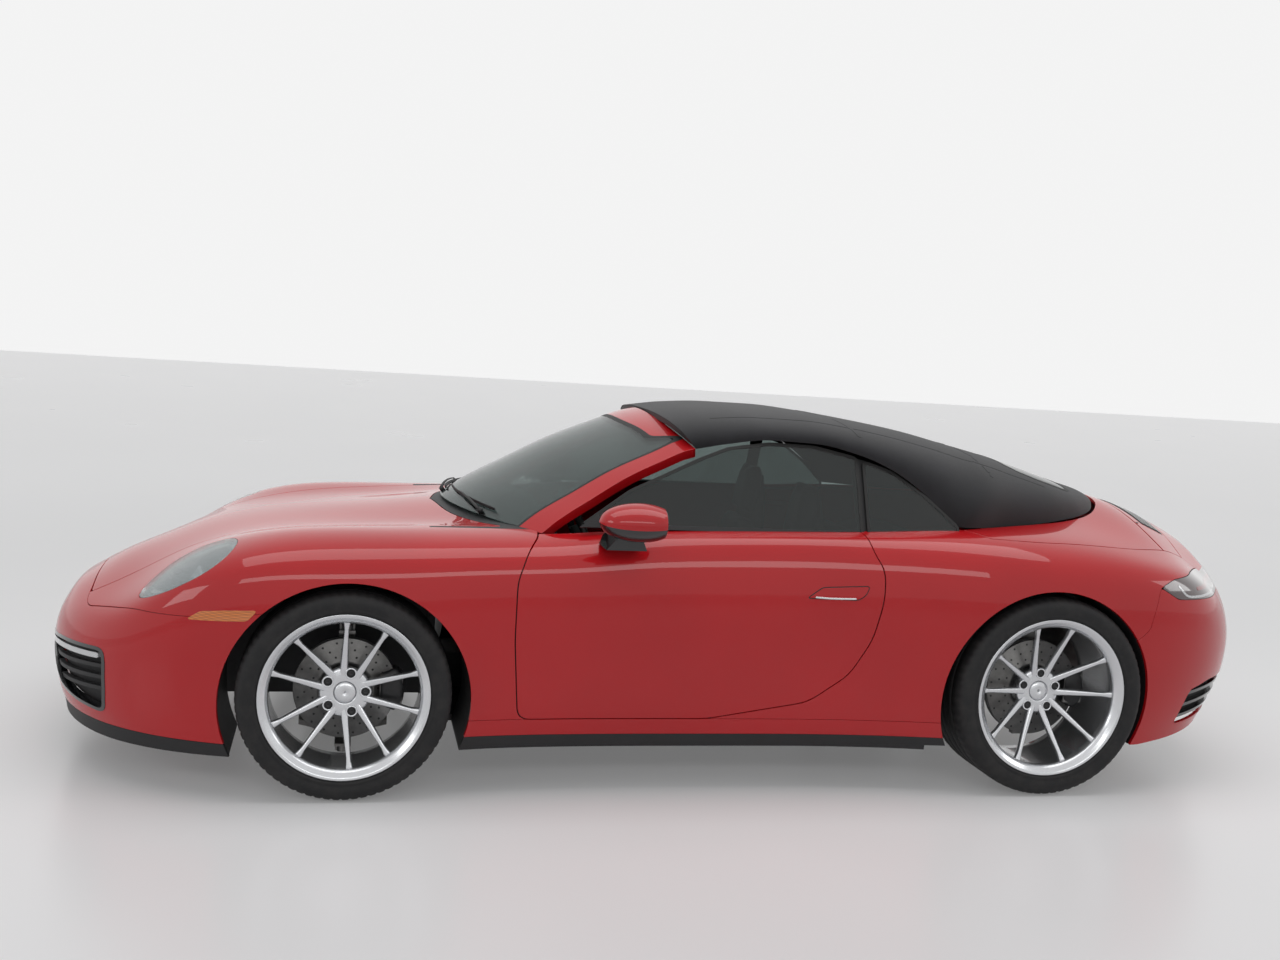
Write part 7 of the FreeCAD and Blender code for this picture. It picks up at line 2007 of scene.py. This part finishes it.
def across_piece(profile, low, high):
    """Closed piece whose rounded side profile is carried straight across the car, drawn in at both ends."""
    outline = rounded(np.array(profile), 0.02, 0.006)
    middle = outline.mean(0)
    stations = [(low, 0.965), (low + 0.006, 0.99), (low + 0.016, 1.0)]
    stations += [(high - (y - low), scale) for y, scale in stations[::-1]]
    rows = [np.stack([middle[0] + (outline[:, 0] - middle[0]) * scale, np.full(len(outline), y),
                      middle[1] + (outline[:, 1] - middle[1]) * scale], -1) for y, scale in stations]
    return np.concatenate(rows), tube_faces(len(rows), len(outline))


def build_dash():
    """Dashboard with its instrument hood, screen, dials and vents, and the console with its lever and armrest."""
    profile = [(DASH_FRONT + x, FLOOR_TOP + z) for x, z in DASH_PROFILE]
    plain("dash_body", [across_piece(profile, -0.612, 0.612)], "soft_black", "body", "cabin_plastic", "dashboard")
    rear = DASH_FRONT + 0.424
    panel = rounded_block((rear - 0.006, -0.12, 0.688), (rear + 0.004, 0.16, 0.768), 0.004)
    plain("dash_screen", [panel], "gloss_black", "body", "gloss_black")
    vents = [rounded_block((rear - 0.008, y - 0.055, 0.718), (rear + 0.003, y + 0.055, 0.744), 0.004)
             for y in (-0.535, -0.175, 0.215, 0.535)]
    plain("dash_vents", vents, "barrel", "body", "cabin_plastic")
    dials = []
    faces = []
    for y, radius in ((-0.355, 0.040), (-0.272, 0.032), (-0.438, 0.032), (-0.500, 0.024), (-0.210, 0.024)):
        bore = radius - 0.003
        ring = [(bore, 0.0), (radius, 0.0), (radius, 0.006), (bore, 0.006), (bore, 0.0)]
        face = [(0.0001, 0), (bore, 0), (bore, 0.002), (0.0001, 0.002), (0.0001, 0)]
        for profile, group in ((ring, dials), (face, faces)):
            points, quads = lathe(profile, 40)
            group.append((points[..., [1, 0, 2]] + [rear + 0.002, y, 0.742], quads))
    plain("dial_rings", dials, "chrome", "body", "bright_steel")
    plain("dial_faces", faces, "gloss_black", "body", "gloss_black")
    console = [rounded_block((-0.50, -0.083, 0.302), (0.348, 0.083, 0.492), 0.022)]
    plain("console_body", console, "soft_black", "body", "cabin_plastic", "centre_console")
    plain("console_armrest", [rounded_block((0.02, -0.074, 0.488), (0.335, 0.074, 0.530), 0.02)], "leather", "body",
          "seat_leather")
    plain("console_panel", [rounded_block((-0.42, -0.066, 0.488), (-0.03, 0.066, 0.497), 0.004)], "gloss_black",
          "body", "gloss_black")
    lever = [round_bar([(-0.20, 0, 0.492), (-0.202, 0, 0.52), (-0.207, 0, 0.545)], [0.009, 0.008, 0.008], 16),
             rounded_block((-0.232, -0.021, 0.538), (-0.186, 0.021, 0.578), 0.018)]
    plain("gear_lever", lever, "leather", "body", "seat_leather")


def build_door_cards():
    """Padded armrest, pull and pocket on the inner side of each door."""
    for side, word in ((-1, "left"), (1, "right")):
        near, far = side * (DOOR_INNER_PLANE + 0.001), side * (DOOR_INNER_PLANE - 0.042)
        low, high = min(near, far), max(near, far)
        rest = rounded_block((-0.36, low, 0.545), (0.20, high, 0.590), 0.016)
        pocket = rounded_block((-0.40, side * DOOR_INNER_PLANE - 0.018, 0.300),
                               (0.16, side * DOOR_INNER_PLANE + 0.018, 0.405), 0.016)
        plain(f"door_armrest_{word}", [rest], "leather", f"door_{word}", "seat_leather")
        plain(f"door_pocket_{word}", [pocket], "soft_black", f"door_{word}", "cabin_plastic")
        pull = round_bar([(-0.05, far, 0.640), (-0.045, side * (DOOR_INNER_PLANE - 0.026), 0.645),
                          (0.06, side * (DOOR_INNER_PLANE - 0.026), 0.650), (0.066, near, 0.648)], 0.0065, 12)
        plain(f"door_pull_{word}", [pull], "chrome", f"door_{word}", "bright_steel")


def build_cabin():
    build_seats()
    build_steering_wheel()
    build_dash()
    build_door_cards()



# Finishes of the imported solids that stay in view

NODE_FINISHES = {
    "under_steel": "steel", "bare_iron": "iron", "bright_steel": "exhaust", "black_trim": "soft_black",
    "body_paint": "paint", "cabin_plastic": "soft_black", "seat_leather": "leather", "gloss_black": "gloss_black",
    "clear_glass": "window", "lamp_glass": "white_lens", "tail_glass": "smoke_lens", "wheel_silver": "alloy",
    "tyre_rubber": "rubber", "top_fabric": "cloth",
}
NODE_OWN_FINISHES = {"mirror_left": "gloss_black", "mirror_right": "gloss_black"}


def build_packed():
    """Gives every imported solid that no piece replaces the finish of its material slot."""
    slots = {part["node"]: part["material_slot"] for part in frame["record"]["subparts"]}
    for node, thing in frame["nodes"].items():
        if not thing.hide_render:
            for place in range(max(1, len(thing.material_slots))):
                if not thing.material_slots:
                    thing.data.materials.append(None)
                thing.material_slots[place].link = "OBJECT"
                finish = NODE_OWN_FINISHES.get(node) or NODE_FINISHES[slots[node]]
                thing.material_slots[place].material = material(finish)



# Floor, camera and lights

CAMERA_PLACE = (-1.286409, -5.114380, 1.515643)
CAMERA_YAW = 0.219562
CAMERA_PITCH = 0.102215
CAMERA_ROLL = -0.064522
CAMERA_LENS = 37.612
FLOOR_HALF = 40.0
WORLD_LIGHT = 0.28
BACKGROUND_LIGHT = 0.90
LIGHTS = (
    ("ceiling_light", (0.0, -0.6, 4.6), (0.0, 0.0, 0.5), 7.0, 2.6, 115),
    ("near_side_light", (-0.5, -6.2, 3.4), (0.0, 0.0, 0.5), 8.0, 0.9, 60),
    ("front_light", (-6.5, -3.0, 2.6), (-1.0, 0.0, 0.6), 2.5, 1.6, 38),
    ("rear_light", (6.5, -2.0, 3.0), (1.5, 0.0, 0.6), 2.5, 1.6, 30),
)


def camera_turn():
    """Rotation whose columns are the camera's right, up and backward directions."""
    forward = Vector((math.sin(CAMERA_YAW) * math.cos(CAMERA_PITCH), math.cos(CAMERA_YAW) * math.cos(CAMERA_PITCH),
                      -math.sin(CAMERA_PITCH)))
    right = Vector((math.cos(CAMERA_YAW), -math.sin(CAMERA_YAW), 0))
    down = forward.cross(right)
    leaned_right = right * math.cos(CAMERA_ROLL) + down * math.sin(CAMERA_ROLL)
    leaned_down = down * math.cos(CAMERA_ROLL) - right * math.sin(CAMERA_ROLL)
    return Matrix((leaned_right, -leaned_down, -forward)).transposed()


def area_light(name, place, aim, width, height, power):
    """Soft light of one size and power that stands at a place and looks at another."""
    light = bpy.data.lights.new(name, "AREA")
    light.shape = "RECTANGLE"
    light.size = width
    light.size_y = height
    light.energy = power
    thing = bpy.data.objects.new(name, light)
    bpy.context.scene.collection.objects.link(thing)
    thing.location = place
    thing.rotation_euler = (Vector(aim) - Vector(place)).to_track_quat("-Z", "Y").to_euler()


def floor_material():
    shader = Shader("studio_floor", specular_ior_level=0.35)
    base = tuple(colours().floor)
    cloud = shader.noise(0.6, 2.0)
    shader.feed("Base Color", shader.mix(cloud.between(0.3, 0.7), shade(base, 0.97), base))
    shader.feed("Roughness", cloud * 0.05 + 0.26)
    x, y, _ = shader.axes(shader.place())
    away = (x * x + y * y) ** 0.5
    # Painted light: the floor glows faintly for every ray, and for the camera more and more from 1.5 m to 9 m out from
    # the middle, in place of lamp light falling on it.
    seen = shader.add("ShaderNodeLightPath", {}, out="Is Camera Ray")
    shader.feed("Emission Color", shader.mix(seen * away.between(1.5, 9.0), (0.14, 0.14, 0.14), (0.22, 0.22, 0.222)))
    shader.feed("Emission Strength", 1.0)
    return shader.material


def build_stage():
    """Pale floor, white surroundings, the photograph's camera and soft studio lights."""
    scene = bpy.context.scene
    corners = np.array([(-1, -1, 0), (1, -1, 0), (1, 1, 0), (-1, 1, 0)]) * FLOOR_HALF
    floor = make_object("studio_floor", corners, np.array([[0, 1, 2, 3]]), floor_material())
    camera = bpy.data.cameras.new("camera")
    camera.sensor_fit = "HORIZONTAL"
    camera.sensor_width = 36
    camera.lens = CAMERA_LENS
    camera.clip_end = 200
    holder = bpy.data.objects.new("camera", camera)
    scene.collection.objects.link(holder)
    holder.matrix_world = Matrix.Translation(CAMERA_PLACE) @ camera_turn().to_4x4()
    scene.camera = holder
    world = bpy.data.worlds.new("studio")
    scene.world = world
    world.use_nodes = True
    tree = world.node_tree
    surface = tree.nodes["Background"]
    path = tree.nodes.new("ShaderNodeLightPath")
    shown = path.outputs["Is Camera Ray"]
    for ray in ("Is Glossy Ray", "Is Transmission Ray"):
        either = tree.nodes.new("ShaderNodeMath")
        either.operation = "MAXIMUM"
        tree.links.new(shown, either.inputs[0])
        tree.links.new(path.outputs[ray], either.inputs[1])
        shown = either.outputs[0]
    level = tree.nodes.new("ShaderNodeMapRange")
    level.inputs["To Min"].default_value = WORLD_LIGHT
    level.inputs["To Max"].default_value = BACKGROUND_LIGHT
    tree.links.new(shown, level.inputs["Value"])
    surface.inputs["Color"].default_value = (1, 1, 1, 1)
    tree.links.new(level.outputs[0], surface.inputs["Strength"])
    for light in LIGHTS:
        area_light(*light)
    scene.view_settings.view_transform = "Standard"


# The add-on


class CAR_OT_panels(bpy.types.Operator):
    """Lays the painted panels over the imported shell"""

    bl_idname = "car.panels"
    bl_label = "Body panels"

    def execute(self, context):
        build_panels()
        return {"FINISHED"}


class CAR_OT_nose(bpy.types.Operator):
    """Adds the intakes, light bars and side markers"""

    bl_idname = "car.nose"
    bl_label = "Nose trim"

    def execute(self, context):
        build_front()
        return {"FINISHED"}


class CAR_OT_tail(bpy.types.Operator):
    """Adds the tail lamps and the vents"""

    bl_idname = "car.tail"
    bl_label = "Tail trim"

    def execute(self, context):
        build_rear()
        return {"FINISHED"}


class CAR_OT_wheels(bpy.types.Operator):
    """Adds the spoked wheels, discs, calipers and tyres"""

    bl_idname = "car.wheels"
    bl_label = "Wheels"

    def execute(self, context):
        build_wheels()
        return {"FINISHED"}


class CAR_OT_glass(bpy.types.Operator):
    """Adds the windscreen, side glass, fabric top and their seals"""

    bl_idname = "car.glass"
    bl_label = "Glass and top"

    def execute(self, context):
        build_glass_and_top()
        return {"FINISHED"}


class CAR_OT_lamps(bpy.types.Operator):
    """Adds the headlamps, mirrors, handles and wipers"""

    bl_idname = "car.lamps"
    bl_label = "Headlamps and trim"

    def execute(self, context):
        build_trim()
        return {"FINISHED"}


class CAR_OT_cabin(bpy.types.Operator):
    """Adds the seats, dashboard, console and steering wheel"""

    bl_idname = "car.cabin"
    bl_label = "Cabin"

    def execute(self, context):
        build_cabin()
        return {"FINISHED"}


class CAR_OT_packed(bpy.types.Operator):
    """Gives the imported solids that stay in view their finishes"""

    bl_idname = "car.packed"
    bl_label = "Packed solids"

    def execute(self, context):
        build_packed()
        return {"FINISHED"}


class CAR_OT_stage(bpy.types.Operator):
    """Adds the floor, the camera and the lights"""

    bl_idname = "car.stage"
    bl_label = "Studio"

    def execute(self, context):
        build_stage()
        return {"FINISHED"}


OPERATORS = (
    CAR_OT_panels,
    CAR_OT_nose,
    CAR_OT_tail,
    CAR_OT_wheels,
    CAR_OT_glass,
    CAR_OT_lamps,
    CAR_OT_cabin,
    CAR_OT_packed,
    CAR_OT_stage,
)


class CAR_PT_sidebar(bpy.types.Panel):
    """Sizes, colours and build steps of the convertible"""

    bl_idname = "CAR_PT_sidebar"
    bl_label = "Convertible"
    bl_space_type = "VIEW_3D"
    bl_region_type = "UI"
    bl_category = "Convertible"

    def draw(self, context):
        for group in (context.scene.car_sizes, context.scene.car_colours):
            column = self.layout.column()
            for key in group.__annotations__:
                column.prop(group, key)
        for operator in OPERATORS:
            self.layout.operator(operator.bl_idname)


CLASSES = (CarSizes, CarColours, *OPERATORS, CAR_PT_sidebar)


def register():
    for entry in CLASSES:
        bpy.utils.register_class(entry)
    bpy.types.Scene.car_sizes = bpy.props.PointerProperty(type=CarSizes)
    bpy.types.Scene.car_colours = bpy.props.PointerProperty(type=CarColours)


def unregister():
    del bpy.types.Scene.car_colours
    del bpy.types.Scene.car_sizes
    for entry in reversed(CLASSES):
        bpy.utils.unregister_class(entry)


def main():
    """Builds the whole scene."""
    register()
    for operator in OPERATORS:
        name = operator.bl_idname.split(".")[1]
        getattr(bpy.ops.car, name)()


if __name__ == "__main__":
    main()
